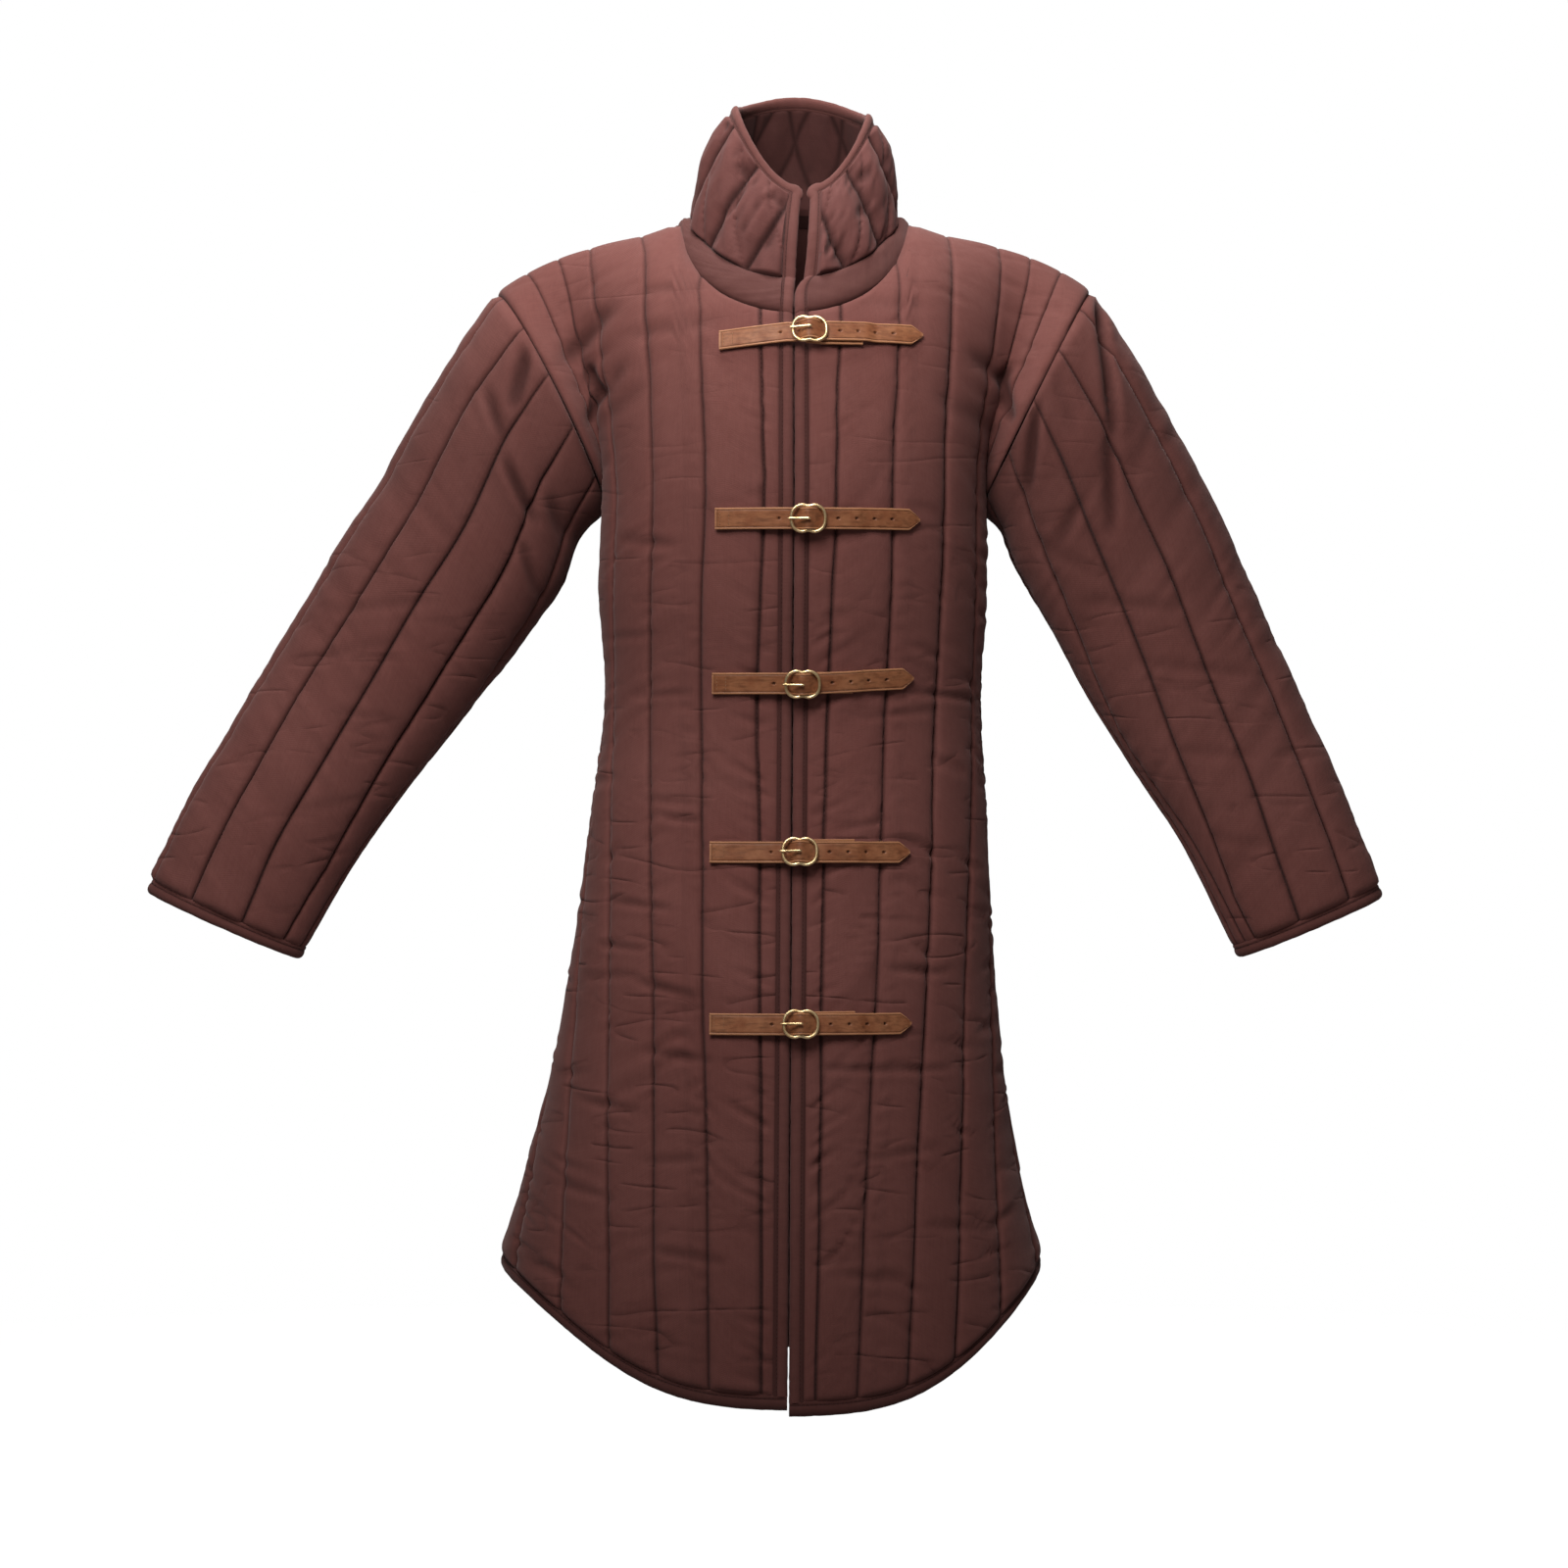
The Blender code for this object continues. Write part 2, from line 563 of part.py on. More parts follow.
def diamond_puff(points, run, rise_run):
    """Rise of the diamond quilting at runs along the collar and up it."""
    first = (run + DIAMOND_SLANT * rise_run) / DIAMOND
    second = (run - DIAMOND_SLANT * rise_run) / DIAMOND
    pillow = np.abs(np.sin(math.pi * first) * np.sin(math.pi * second)) ** PILLOW_ROUNDING
    return COLLAR_PUFF * pillow * np.ones(points.shape[:-1])


# ---- skins

def grid_normals(points, sign):
    """Normals of a grid of points [row, column]."""
    across = np.gradient(points, axis=1)
    along = np.gradient(points, axis=0)
    return sign * unit(np.cross(across, along))


def loop_normals(points, sign):
    """Normals of a grid whose last column repeats its first."""
    padded = np.concatenate([points[:, -2:-1], points, points[:, 1:2]], axis=1)
    return grid_normals(padded, sign)[:, 1:-1]


def edge_distance(points, axis):
    """Distance of each grid point to the nearer end of its row or column."""
    steps = np.linalg.norm(np.diff(points, axis=axis), axis=-1)
    pad = [(0, 0), (0, 0)]
    pad[axis] = (1, 0)
    run = np.cumsum(np.pad(steps, pad), axis=axis)
    total = run.take([-1], axis=axis)
    return np.minimum(run, total - run)


def soft_step(distance, width):
    """0 at no distance, 1 from `width` on, smooth between."""
    part = np.clip(distance / width, 0.0, 1.0)
    return part * part * (3.0 - 2.0 * part)


def channel_puff(points, parts=PARTS_PER_CHANNEL):
    """Rise of the padding between lines, which lie on each `parts`-th column of the grid."""
    count = points.shape[1]
    puff = np.zeros(points.shape[:2])
    for first in range(0, count - 1, parts):
        width = np.linalg.norm(points[:, first + parts] - points[:, first], axis=-1)
        height = PUFF * np.minimum(width / FULL_CHANNEL, 1.0)
        for step in range(1, parts):
            puff[:, first + step] = height * math.sin(math.pi * step / parts) ** PUFF_ROUNDING
    return puff


def fold_depth(points, normals, folds):
    """Depth of the folds at each point; those on the back mirror those on the front."""
    depth = np.zeros(points.shape[:-1])
    flat = points[..., [0, 2]]
    for fold in folds:
        start = np.array([fold.x0, fold.z0])
        line = np.array([fold.x1, fold.z1]) - start
        along = np.clip((flat - start) @ line / line.dot(line), 0.0, 1.0)
        away = np.linalg.norm(flat - start - along[..., None] * line, axis=-1)
        ends = FOLD_ENDS + (1.0 - FOLD_ENDS) * np.sin(math.pi * along) ** 0.5
        facing = np.clip(2.0 * np.abs(normals[..., 1]), 0.0, 1.0)
        depth = np.maximum(depth, fold.depth * ends * facing * np.exp(-(away / fold.width) ** 2))
    return depth


# ---- meshes

def rubber_sheet(rows, columns, places, closed_columns=False, closed_rows=False):
    """A grid whose points are moved to `places` [row, column], joined where it closes."""
    sheet = bmesh.new()
    bmesh.ops.create_grid(sheet, x_segments=columns - 1, y_segments=rows - 1, size=1.0)
    row_tag = sheet.verts.layers.int.new("row")
    column_tag = sheet.verts.layers.int.new("column")
    sheet.verts.ensure_lookup_table()
    for index, vert in enumerate(sheet.verts):
        row, column = divmod(index, columns)
        vert[row_tag] = row
        vert[column_tag] = column
        vert.co = Vector(places[row, column])
    ends = [vert for vert in sheet.verts
            if (closed_columns and vert[column_tag] in (0, columns - 1))
            or (closed_rows and vert[row_tag] in (0, rows - 1))]
    if ends:
        bmesh.ops.remove_doubles(sheet, verts=ends, dist=1e-6)
    return sheet, row_tag, column_tag


def quilted_wall(outer, inner, normals, closed_columns=False, parts=PARTS_PER_CHANNEL):
    """Closed wall between two skins on one grid, whose inner skin has no more than it needs."""
    rows, columns = outer.shape[:2]
    wall, row_tag, column_tag = rubber_sheet(rows, columns, outer, closed_columns)
    layer = bmesh.ops.extrude_face_region(wall, geom=wall.faces[:])
    inside = [item for item in layer["geom"] if isinstance(item, bmesh.types.BMVert)]
    for vert in inside:
        vert.co = Vector(inner[vert[row_tag], vert[column_tag]])
    spare = [edge for edge in {edge for vert in inside for edge in vert.link_edges}
             if is_spare(edge, set(inside), row_tag, column_tag, inner, normals, parts)]
    bmesh.ops.dissolve_edges(wall, edges=spare, use_verts=True)
    bmesh.ops.triangulate(wall, faces=wall.faces[:])
    bmesh.ops.recalc_face_normals(wall, faces=wall.faces[:])
    return wall


def is_spare(edge, inside, row_tag, column_tag, inner, normals, parts):
    """Whether an inner edge along a channel can go: the wall is no thinner without it."""
    if not all(vert in inside for vert in edge.verts):
        return False
    column = edge.verts[0][column_tag]
    if edge.verts[1][column_tag] != column or column % parts == 0:
        return False
    first = column - column % parts
    share = (column - first) / parts
    for vert in edge.verts:
        row = vert[row_tag]
        chord = inner[row, first] * (1.0 - share) + inner[row, first + parts] * share
        off = inner[row, column] - chord
        if off.dot(normals[row, column]) < -THINNER or np.linalg.norm(off) > OFF_CHORD:
            return False
    return True


def add_object(name, mesh, collection, finish, parent):
    """Object of a bmesh, in its collection, with its material."""
    data = bpy.data.meshes.new(name)
    mesh.to_mesh(data)
    mesh.free()
    item = bpy.data.objects.new(name, data)
    item.data.materials.append(finish)
    item.parent = parent
    collection.objects.link(item)
    return item


# ---- quilted pieces

VENT_RISE = (VENT_TOP_Z - HEM_SIDE_Z - BINDING) / (UNDERARM_Z - HEM_SIDE_Z - BINDING)
RISES = (0.0, 0.02, 0.06, 0.098, VENT_RISE, 0.2, 0.3, 0.4, 0.5, 0.6, 0.68, 0.74, 0.79, 0.85,
         0.92, 1.0,
         1.05, 1.11, 1.19, 1.30, 1.43, 1.57, 1.71, 1.85, 2.0)
SLEEVE_STEPS = (0.0, 0.03, 0.08, 0.14, 0.21, 0.28, 0.36, 0.45, 0.55, 0.65, 0.76, 0.88, 0.97,
                1.0)
COLLAR_RISES = (0.0, 0.1, 0.23, 0.36, 0.5, 0.64, 0.77, 0.9, 1.0)
COLLAR_HEIGHT = 0.085
UNDERARM_ROW = RISES.index(1.0)
VENT_ROW = RISES.index(VENT_RISE)
PANEL_COLUMNS = np.arange(len(FRONT_LINES) * PARTS_PER_CHANNEL + 1) / PARTS_PER_CHANNEL
Skins = namedtuple("Skins", "outer inner normals")


def skins(points, normals, puff):
    """Outer skin raised by the padding, and the plain inner skin."""
    raised = points + normals * puff[..., None]
    return Skins(raised, points - normals * WALL, normals)


def set_panel_rims(points, normals, side, face, picked):
    """Bring the edges of one side of a panel to their seams, and turn their rims."""
    seam = picked[-1]
    lift = np.array(RISES[UNDERARM_ROW:]) - 1.0
    turn = -face * math.pi * lift
    outward = armhole_frame(side)[4]
    for row in range(VENT_ROW, UNDERARM_ROW):
        points[row, seam, 1] = face * 0.5 * SEAM_GAP
        normals[row, seam, 1] = 0.0
    normals[UNDERARM_ROW:, seam] = armhole_radial(side, turn)
    points[UNDERARM_ROW:, seam] -= outward * 0.5 * SEAM_GAP
    for index, column in zip(picked, PANEL_COLUMNS):
        reach = float(top_reach(face, np.array(column))) if column <= LAST_PLAIN_LINE else 1.0
        if reach <= NECKLINE.half_width + 1e-6:
            angle = math.asin(reach / NECKLINE.half_width)
            angle = side * (angle if face < 0 else math.pi - angle)
            through, up = neck_rim(NECKLINE, np.array(angle))
            normals[-1, index] = through
            points[-1, index] -= up * 0.5 * SEAM_GAP
        else:
            normals[-1, index, 1] = 0.0
        if reach > NECKLINE.half_width - 1e-6:
            points[-1, index, 1] = face * 0.5 * SEAM_GAP
    points[UNDERARM_ROW, seam, 1] = face * 0.5 * SEAM_GAP
    normals[:, seam] = unit(normals[:, seam])
    normals[-1] = unit(normals[-1])


def panel_grid(side, face):
    """Grid of one side of a panel [rise, column]."""
    column, rise = np.meshgrid(PANEL_COLUMNS, np.array(RISES))
    return body_point(side, face, column, rise)


def panel_skins(name):
    """Skins of a front or of the back."""
    count = len(PANEL_COLUMNS)
    if name == "back":
        face = 1
        points = np.concatenate([panel_grid(-1.0, face)[:, :0:-1], panel_grid(1.0, face)], axis=1)
        normals = grid_normals(points, -1.0)
        halves = ((-1.0, np.arange(count)[::-1]), (1.0, np.arange(count) + count - 1))
    else:
        face = -1
        side = SIDE_SIGN[name]
        points = panel_grid(side, face)
        normals = grid_normals(points, side)
        halves = ((side, np.arange(count)),)
    away = np.minimum(edge_distance(points, 0), edge_distance(points, 1))
    calm = soft_step(away, BODY_CALM)
    points -= normals * (fold_depth(points, normals, BODY_FOLDS) * calm)[..., None]
    puff = channel_puff(points) * soft_step(edge_distance(points, 0), BODY_RISE)
    for side, picked in halves:
        set_panel_rims(points, normals, side, face, picked)
    return skins(points, normals, puff)


def sleeve_skins(name):
    """Skins of a sleeve, a tube whose last column repeats its first."""
    side = SIDE_SIGN[name]
    count = (len(SLEEVE_LINES[name]) + 1) * PARTS_PER_CHANNEL + 1
    column, down = np.meshgrid(np.arange(count) / PARTS_PER_CHANNEL, np.array(SLEEVE_STEPS))
    points = sleeve_point(name, column, down)
    normals = loop_normals(points, side)
    calm = soft_step(edge_distance(points, 0), SLEEVE_CALM)
    points -= normals * (fold_depth(points, normals, SLEEVE_FOLDS) * calm)[..., None]
    puff = channel_puff(points) * soft_step(edge_distance(points, 0), SLEEVE_RISE)
    middle, axis, half_length, forward, outward = armhole_frame(side)
    spokes = points[0] - middle
    normals[0] = unit((spokes @ axis / half_length ** 2)[:, None] * axis
                      + (spokes @ forward / ARMHOLE_DEPTH ** 2)[:, None] * forward)
    low = 0.5 - 0.5 * spokes @ axis / half_length
    points[0] += (0.5 * SEAM_GAP + UNDERARM_EASE * low ** 2)[:, None] * outward
    return skins(points, normals, puff)


def neck_shares(parts):
    """Places of the neck pieces' columns, which match the columns of the panels below them."""
    front = [column for column in PANEL_COLUMNS if column <= LAST_PLAIN_LINE
             and top_reach(-1, column) <= NECKLINE.half_width + 1e-6]
    back = [column for column in PANEL_COLUMNS if column <= LAST_PLAIN_LINE
            and top_reach(1, column) < NECKLINE.half_width - 1e-6]
    left = [math.asin(min(top_reach(-1, column) / NECKLINE.half_width, 1.0)) for column in front]
    left += [math.pi - math.asin(top_reach(1, column) / NECKLINE.half_width)
             for column in reversed(back)]
    angles = np.array(left + [2.0 * math.pi - angle for angle in reversed(left[:-1])])
    gap = angles[0]
    shares = (angles - gap) / (2.0 * (math.pi - gap))
    steps = np.linspace(0, len(shares) - 1, (len(shares) - 1) * parts + 1)
    return np.interp(steps, np.arange(len(shares)), shares)


def band_skins():
    """Skins of the neck band."""
    shares = neck_shares(1)
    share, rise = np.meshgrid(shares, np.array([0.0, 0.5, 1.0]))
    points = band_point(share, rise)
    normals = grid_normals(points, 1.0)
    normals[0] = neck_rim(NECKLINE, ring_angles(NECKLINE, shares))[0]
    normals[-1] = neck_rim(COLLAR_SEAM, ring_angles(COLLAR_SEAM, shares))[0]
    puff = np.zeros(share.shape)
    puff[1] = BAND_SWELL
    return skins(points, normals, puff)


def collar_skins():
    """Skins of the collar, quilted in diamonds."""
    parts = 2
    shares = neck_shares(parts)
    share, rise = np.meshgrid(shares, np.array(COLLAR_RISES))
    points = collar_point(share, rise)
    normals = grid_normals(points, 1.0)
    normals[0] = neck_rim(COLLAR_SEAM, ring_angles(COLLAR_SEAM, shares))[0]
    middle = points[len(COLLAR_RISES) // 2]
    steps = np.linalg.norm(np.diff(middle, axis=0), axis=-1)
    run = np.concatenate([[0.0], np.cumsum(steps)])
    run = np.broadcast_to(run - 0.5 * run[-1], share.shape)
    puff = diamond_puff(points, run, rise * COLLAR_HEIGHT)
    away = np.minimum(edge_distance(points, 0), edge_distance(points, 1))
    made = skins(points, normals, puff * soft_step(away, COLLAR_RISE))
    for skin in (made.outer, made.inner):
        skin[0, 1::parts] = 0.5 * (skin[0, 0:-1:parts] + skin[0, 2::parts])
    return made


# ---- bindings, straps and buckles

BEAD = ((0.0, -0.6), (0.0, 0.6), (0.55, 1.0), (1.0, 0.0), (0.55, -1.0))


def edge_stations(made, rows, columns, away):
    """Middle, normal and outward direction at the edge points (rows, columns) of a wall.

    `away` is the step (row, column) that leads back into the wall.
    """
    outer = made.outer[rows, columns]
    inner = made.inner[rows, columns]
    within = 0.5 * (made.outer + made.inner)[rows + away[0], columns + away[1]]
    middle = 0.5 * (outer + inner)
    normal = unit(outer - inner)
    leave = middle - within
    leave = unit(leave - (leave * normal).sum(axis=-1, keepdims=True) * normal)
    return middle, normal, leave


def join_runs(*runs):
    """One path of stations from several, whose shared corners are mitred."""
    middle, normal, leave = (list(part) for part in runs[0])
    for run in runs[1:]:
        if np.linalg.norm(run[0][0] - middle[-1]) < 1e-9:
            leave[-1] = leave[-1] + run[2][0]
            run = tuple(part[1:] for part in run)
        middle += list(run[0])
        normal += list(run[1])
        leave += list(run[2])
    return np.array(middle), np.array(normal), np.array(leave)


def bead(path, closed=False):
    """Binding along an edge: a rounded strip that carries the wall on past its cut edge."""
    middle, normal, leave = path
    section_rows = [middle + leave * (SEAM_GAP + out * (BINDING - SEAM_GAP))
                    + normal * (thick * BINDING_BULGE) for out, thick in BEAD]
    places = np.stack(section_rows + section_rows[:1], axis=1)
    return tube(places, closed)


def tube(places, closed=False):
    """Closed body through rings of points [ring, point], whose last point repeats its first."""
    if closed:
        places = np.concatenate([places, places[:1]], axis=0)
    rings, points = places.shape[:2]
    body = rubber_sheet(rings, points, places, closed_columns=True, closed_rows=closed)[0]
    ends = [edge for edge in body.edges if edge.is_boundary]
    bmesh.ops.holes_fill(body, edges=ends)
    bmesh.ops.triangulate(body, faces=body.faces[:])
    bmesh.ops.recalc_face_normals(body, faces=body.faces[:])
    return body


def indices(start, stop, fixed, along_rows):
    """Row and column numbers of a straight stretch of grid points."""
    step = 1 if stop >= start else -1
    walk = np.arange(start, stop + step, step)
    other = np.full(walk.shape, fixed)
    return (walk, other) if along_rows else (other, walk)


def front_hem_path(made):
    """Edge of a front: along the hem from the opening, then up the vent."""
    last = made.outer.shape[1] - 1
    hem = edge_stations(made, *indices(0, last, 0, False), (1, 0))
    start = unit(hem[0][0] - hem[0][1]) * (BINDING - SEAM_GAP)
    corner = (hem[0][:1] + start, hem[1][:1], hem[2][:1])
    vent = edge_stations(made, *indices(0, VENT_ROW - 1, last, True), (0, -1))
    return join_runs(corner, hem, vent)


def back_hem_path(made):
    """Edge of the back: down one vent, along the hem and up the other."""
    last = made.outer.shape[1] - 1
    first_vent = edge_stations(made, *indices(VENT_ROW - 1, 0, 0, True), (0, 1))
    hem = edge_stations(made, *indices(0, last, 0, False), (1, 0))
    second_vent = edge_stations(made, *indices(0, VENT_ROW - 1, last, True), (0, -1))
    return join_runs(first_vent, hem, second_vent)


def opening_path(front, band, band_column, band_step):
    """Edge of a front and of the band above it, from the hem to the collar seam."""
    rows = front.outer.shape[0]
    edge = edge_stations(front, *indices(0, rows - 1, 0, True), (0, 1))
    above = edge_stations(band, *indices(1, 2, band_column, True), (0, band_step))
    return join_runs(edge, above)


def collar_path(made):
    """Edge of the collar: up the left front, round the top and down the right front."""
    top, last = made.outer.shape[0] - 1, made.outer.shape[1] - 1
    left = edge_stations(made, *indices(0, top, 0, True), (0, 1))
    round_top = edge_stations(made, *indices(0, last, top, False), (-1, 0))
    right = edge_stations(made, *indices(top, 0, last, True), (0, -1))
    return join_runs(left, round_top, right)


def cuff_path(made):
    """Edge of a cuff, all round."""
    last = made.outer.shape[0] - 1
    return edge_stations(made, *indices(0, made.outer.shape[1] - 2, last, False), (-1, 0))


def chest_point(run, z):
    """Front surface at a signed distance from the opening and at a height."""
    if z <= UNDERARM_Z:
        centre = section(np.array(z), -1)[0]
        return girth_point(-1, np.array(run + opening_x(z) - centre), np.array(z))
    side = 1.0 if run > 0 else -1.0
    columns = PANEL_COLUMNS[PANEL_COLUMNS <= LAST_PLAIN_LINE]
    top_z = top_point(side, -1, columns)[:, 2]
    level = profile_point(side, -1, columns, (z - UNDERARM_Z) / (top_z - UNDERARM_Z))
    reach = side * (level[:, 0] - opening_x(z))
    depth = np.interp(abs(run), reach, level[:, 1])
    return np.array([opening_x(z) + run, depth, z])


def chest_frame(run, z):
    """Point, normal and upward direction of the front."""
    step = 0.006
    low, high = chest_point(run, z - step), chest_point(run, z + step)
    before, after = chest_point(run - step, z), chest_point(run + step, z)
    up = unit(high - low)
    normal = unit(np.cross(after - before, up))
    return chest_point(run, z), normal, up


Place = namedtuple("Place", "run lift")


def strap_body(z, places, tip):
    """Leather strap across the front, through places above the padding; a tip is pointed."""
    rings = []
    for number, place in enumerate(places):
        point, normal, up = chest_frame(place.run, z)
        half = 0.5 * STRAP_WIDTH
        if tip and number == len(places) - 1:
            half *= TIP_SHARE
        foot = point + normal * (PUFF + place.lift)
        top = foot + normal * LEATHER
        rings.append([foot - up * half, foot + up * half, top + up * half, top - up * half,
                      foot - up * half])
    return tube(np.array(rings))


def long_strap_places(strap):
    """Route of a long strap: under one ring of its buckle, over the bar, under the other."""
    bar = strap.buckle
    short_end = strap.buckle_strap + PAST_SHORT
    sewn_end = np.linspace(strap.left, bar - TO_LAID, STRAP_STATIONS)
    places = [Place(run, LAID) for run in sewn_end]
    places += [Place(bar - TO_RING, LAID), Place(bar - TO_CLIMB, CLIMB), Place(bar, OVER_BAR),
               Place(bar + TO_CLIMB, CLIMB), Place(bar + TO_RING, ON_SHORT),
               Place(bar + TO_SHORT, ON_SHORT), Place(short_end, ON_SHORT)]
    free_end = (short_end + STEP_DOWN, short_end + SETTLED, strap.right - TIP_LENGTH, strap.right)
    return places + [Place(run, LAID) for run in free_end]


def short_strap_places(strap):
    """Route of a buckle strap: from under the bar to where it is sewn down."""
    bar = strap.buckle
    ring = bar + TO_RING
    return [Place(bar - FOLD_BACK, UNDER_BAR), Place(bar, UNDER_BAR),
            Place(bar + TO_CLIMB, DESCENT), Place(ring, LAID),
            Place(0.5 * (ring + strap.buckle_strap), LAID), Place(strap.buckle_strap, LAID)]


def ring_rows(centres, spokes, radius, sides):
    """Rings of points round each centre, in the plane of its two spokes."""
    angle = np.linspace(0.0, 2.0 * math.pi, sides + 1)
    first, second = spokes
    return (centres[:, None] + radius * np.cos(angle)[None, :, None] * first[:, None]
            + radius * np.sin(angle)[None, :, None] * second[:, None])


def buckle_frame_body():
    """Double ring of brass wire round the bar, pinched at the bar's ends, in its own frame."""
    angle = np.linspace(0.0, 2.0 * math.pi, WIRE_STATIONS, endpoint=False)
    x = BUCKLE_HALF_WIDTH * np.sign(np.cos(angle)) * np.abs(np.cos(angle)) ** BUCKLE_ROUNDING
    pinch = 1.0 - BUCKLE_PINCH * np.exp(-(x / PINCH_WIDTH) ** 2)
    z = BUCKLE_HALF_HEIGHT * pinch
    z = z * np.sign(np.sin(angle)) * np.abs(np.sin(angle)) ** BUCKLE_ROUNDING
    centres = stack(x, 0.0 * x, z)
    ahead = unit(np.roll(centres, -1, axis=0) - np.roll(centres, 1, axis=0))
    facing = np.broadcast_to(np.array([0.0, -1.0, 0.0]), ahead.shape)
    spokes = (np.cross(facing, ahead), facing)
    return tube(ring_rows(centres, spokes, BUCKLE_WIRE, WIRE_SIDES), True)


def bar_body():
    """Bar across the buckle."""
    body = bmesh.new()
    bmesh.ops.create_cone(body, cap_ends=True, segments=BAR_SIDES, radius1=BAR_RADIUS,
                          radius2=BAR_RADIUS, depth=2.0 * BUCKLE_HALF_HEIGHT * (1 - BUCKLE_PINCH))
    return body


def prong_body():
    """Prong, from over the bar to the far ring, in the buckle's frame."""
    x, lift, radius = (np.array(column) for column in zip(*PRONG))
    centres = stack(x, BUCKLE_LIFT - lift, 0.0 * x)
    ahead = unit(np.gradient(centres, axis=0))
    level = np.broadcast_to(np.array([0.0, 0.0, 1.0]), ahead.shape)
    rings = ring_rows(centres, (level, np.cross(ahead, level)), 1.0, PRONG_SIDES)
    return tube(centres[:, None] + (rings - centres[:, None]) * radius[:, None, None])


def buckle_matrix(strap):
    """Place of a buckle on the front."""
    point, normal, up = chest_frame(strap.buckle, strap.z)
    centre = point + normal * (PUFF + BUCKLE_LIFT)
    across = np.cross(-normal, up)
    matrix = Matrix([list(row) for row in np.stack([unit(across), -normal, up], axis=1)])
    return Matrix.Translation(Vector(centre)) @ matrix.to_4x4()


# ---- assembly

Finish = namedtuple("Finish", "name colour roughness metallic")
CLOTH = Finish("quilted_cotton", (0.156, 0.058, 0.051), 0.92, 0.0)
TAPE = Finish("cotton_binding", (0.130, 0.047, 0.042), 0.90, 0.0)
HIDE = Finish("tan_leather", (0.262, 0.098, 0.042), 0.55, 0.0)
BRASS = Finish("brass", (0.716, 0.456, 0.156), 0.30, 1.0)


def material(finish):
    """Principled material of a finish."""
    made = bpy.data.materials.new(finish.name)
    made.use_nodes = True
    shader = made.node_tree.nodes["Principled BSDF"]
    shader.inputs["Base Color"].default_value = (*finish.colour, 1.0)
    shader.inputs["Roughness"].default_value = finish.roughness
    shader.inputs["Metallic"].default_value = finish.metallic
    return made


def collection(name):
    """New collection in the scene."""
    made = bpy.data.collections.new(name)
    bpy.context.scene.collection.children.link(made)
    return made


def add_cloth(parts, root, cloth, tape):
    """Panels, sleeves, neck pieces and their bindings."""
    panels = {name: panel_skins(name) for name in ("right", "left", "back")}
    sleeves = {name: sleeve_skins(name) for name in ("right", "left")}
    band, collar = band_skins(), collar_skins()
    add_object("back", quilted_wall(*panels["back"]), parts, cloth, root)
    add_object("neck_band", quilted_wall(*band, parts=1), parts, tape, root)
    add_object("collar", quilted_wall(*collar, parts=2), parts, cloth, root)
    add_object("hem_binding_back", bead(back_hem_path(panels["back"])), parts, tape, root)
    add_object("collar_binding", bead(collar_path(collar)), parts, tape, root)
    last = band.outer.shape[1] - 1
    for name, column, step in (("left", 0, 1), ("right", last, -1)):
        front, sleeve = panels[name], sleeves[name]
        add_object("front_" + name, quilted_wall(*front), parts, cloth, root)
        add_object("sleeve_" + name, quilted_wall(*sleeve, closed_columns=True), parts, cloth,
                   root)
        hem, edge = front_hem_path(front), opening_path(front, band, column, step)
        add_object("hem_binding_front_" + name, bead(hem), parts, tape, root)
        add_object("edge_binding_" + name, bead(edge), parts, tape, root)
        add_object("cuff_binding_" + name, bead(cuff_path(sleeve), True), parts, tape, root)


def add_closures(parts, helpers, root, hide, brass):
    """Five straps with their buckles."""
    for number, strap in enumerate(STRAPS, start=1):
        long_strap = strap_body(strap.z, long_strap_places(strap), True)
        short_strap = strap_body(strap.z, short_strap_places(strap), False)
        add_object("strap_%d" % number, long_strap, parts, hide, root)
        add_object("buckle_strap_%d" % number, short_strap, parts, hide, root)
        buckle = add_object("buckle_%d" % number, buckle_frame_body(), parts, brass, root)
        bar = add_object("bar_%d" % number, bar_body(), helpers, brass, buckle)
        prong = add_object("prong_%d" % number, prong_body(), parts, brass, buckle)
        buckle.matrix_world = buckle_matrix(strap)
        bar.hide_render = True
        bar.display_type = "WIRE"
        union = buckle.modifiers.new("bar", "BOOLEAN")
        union.operation = "UNION"
        union.object = bar
        union.solver = "EXACT"
        prong.location = (0.0, 0.0, 0.0)


def main():
    """Build the gambeson."""
    for item in list(bpy.data.objects):
        bpy.data.objects.remove(item)
    parts, helpers = collection("gambeson"), collection("gambeson_cutters")
    root = bpy.data.objects.new("gambeson_root", None)
    parts.objects.link(root)
    add_cloth(parts, root, material(CLOTH), material(TAPE))
    add_closures(parts, helpers, root, material(HIDE), material(BRASS))


main()
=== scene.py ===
"""Looks of a quilted gambeson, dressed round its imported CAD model.

The coat is padded cotton: two fronts, a back, two sleeves, a neck band and a stand collar, sewn
through in narrow channels and bound with cotton tape. Five leather straps with brass double-loop
buckles close it. Every quilted piece is a wall whose outer skin puffs up between its stitch lines.
Frame: +X to the wearer's left, +Y to the back, +Z up, in metres, origin on the shoulder line.
"""
from __future__ import annotations

import logging
import math
import sys
from dataclasses import dataclass, field
from enum import Enum

import bmesh
import bpy
import numpy as np
from mathutils import Matrix, Vector


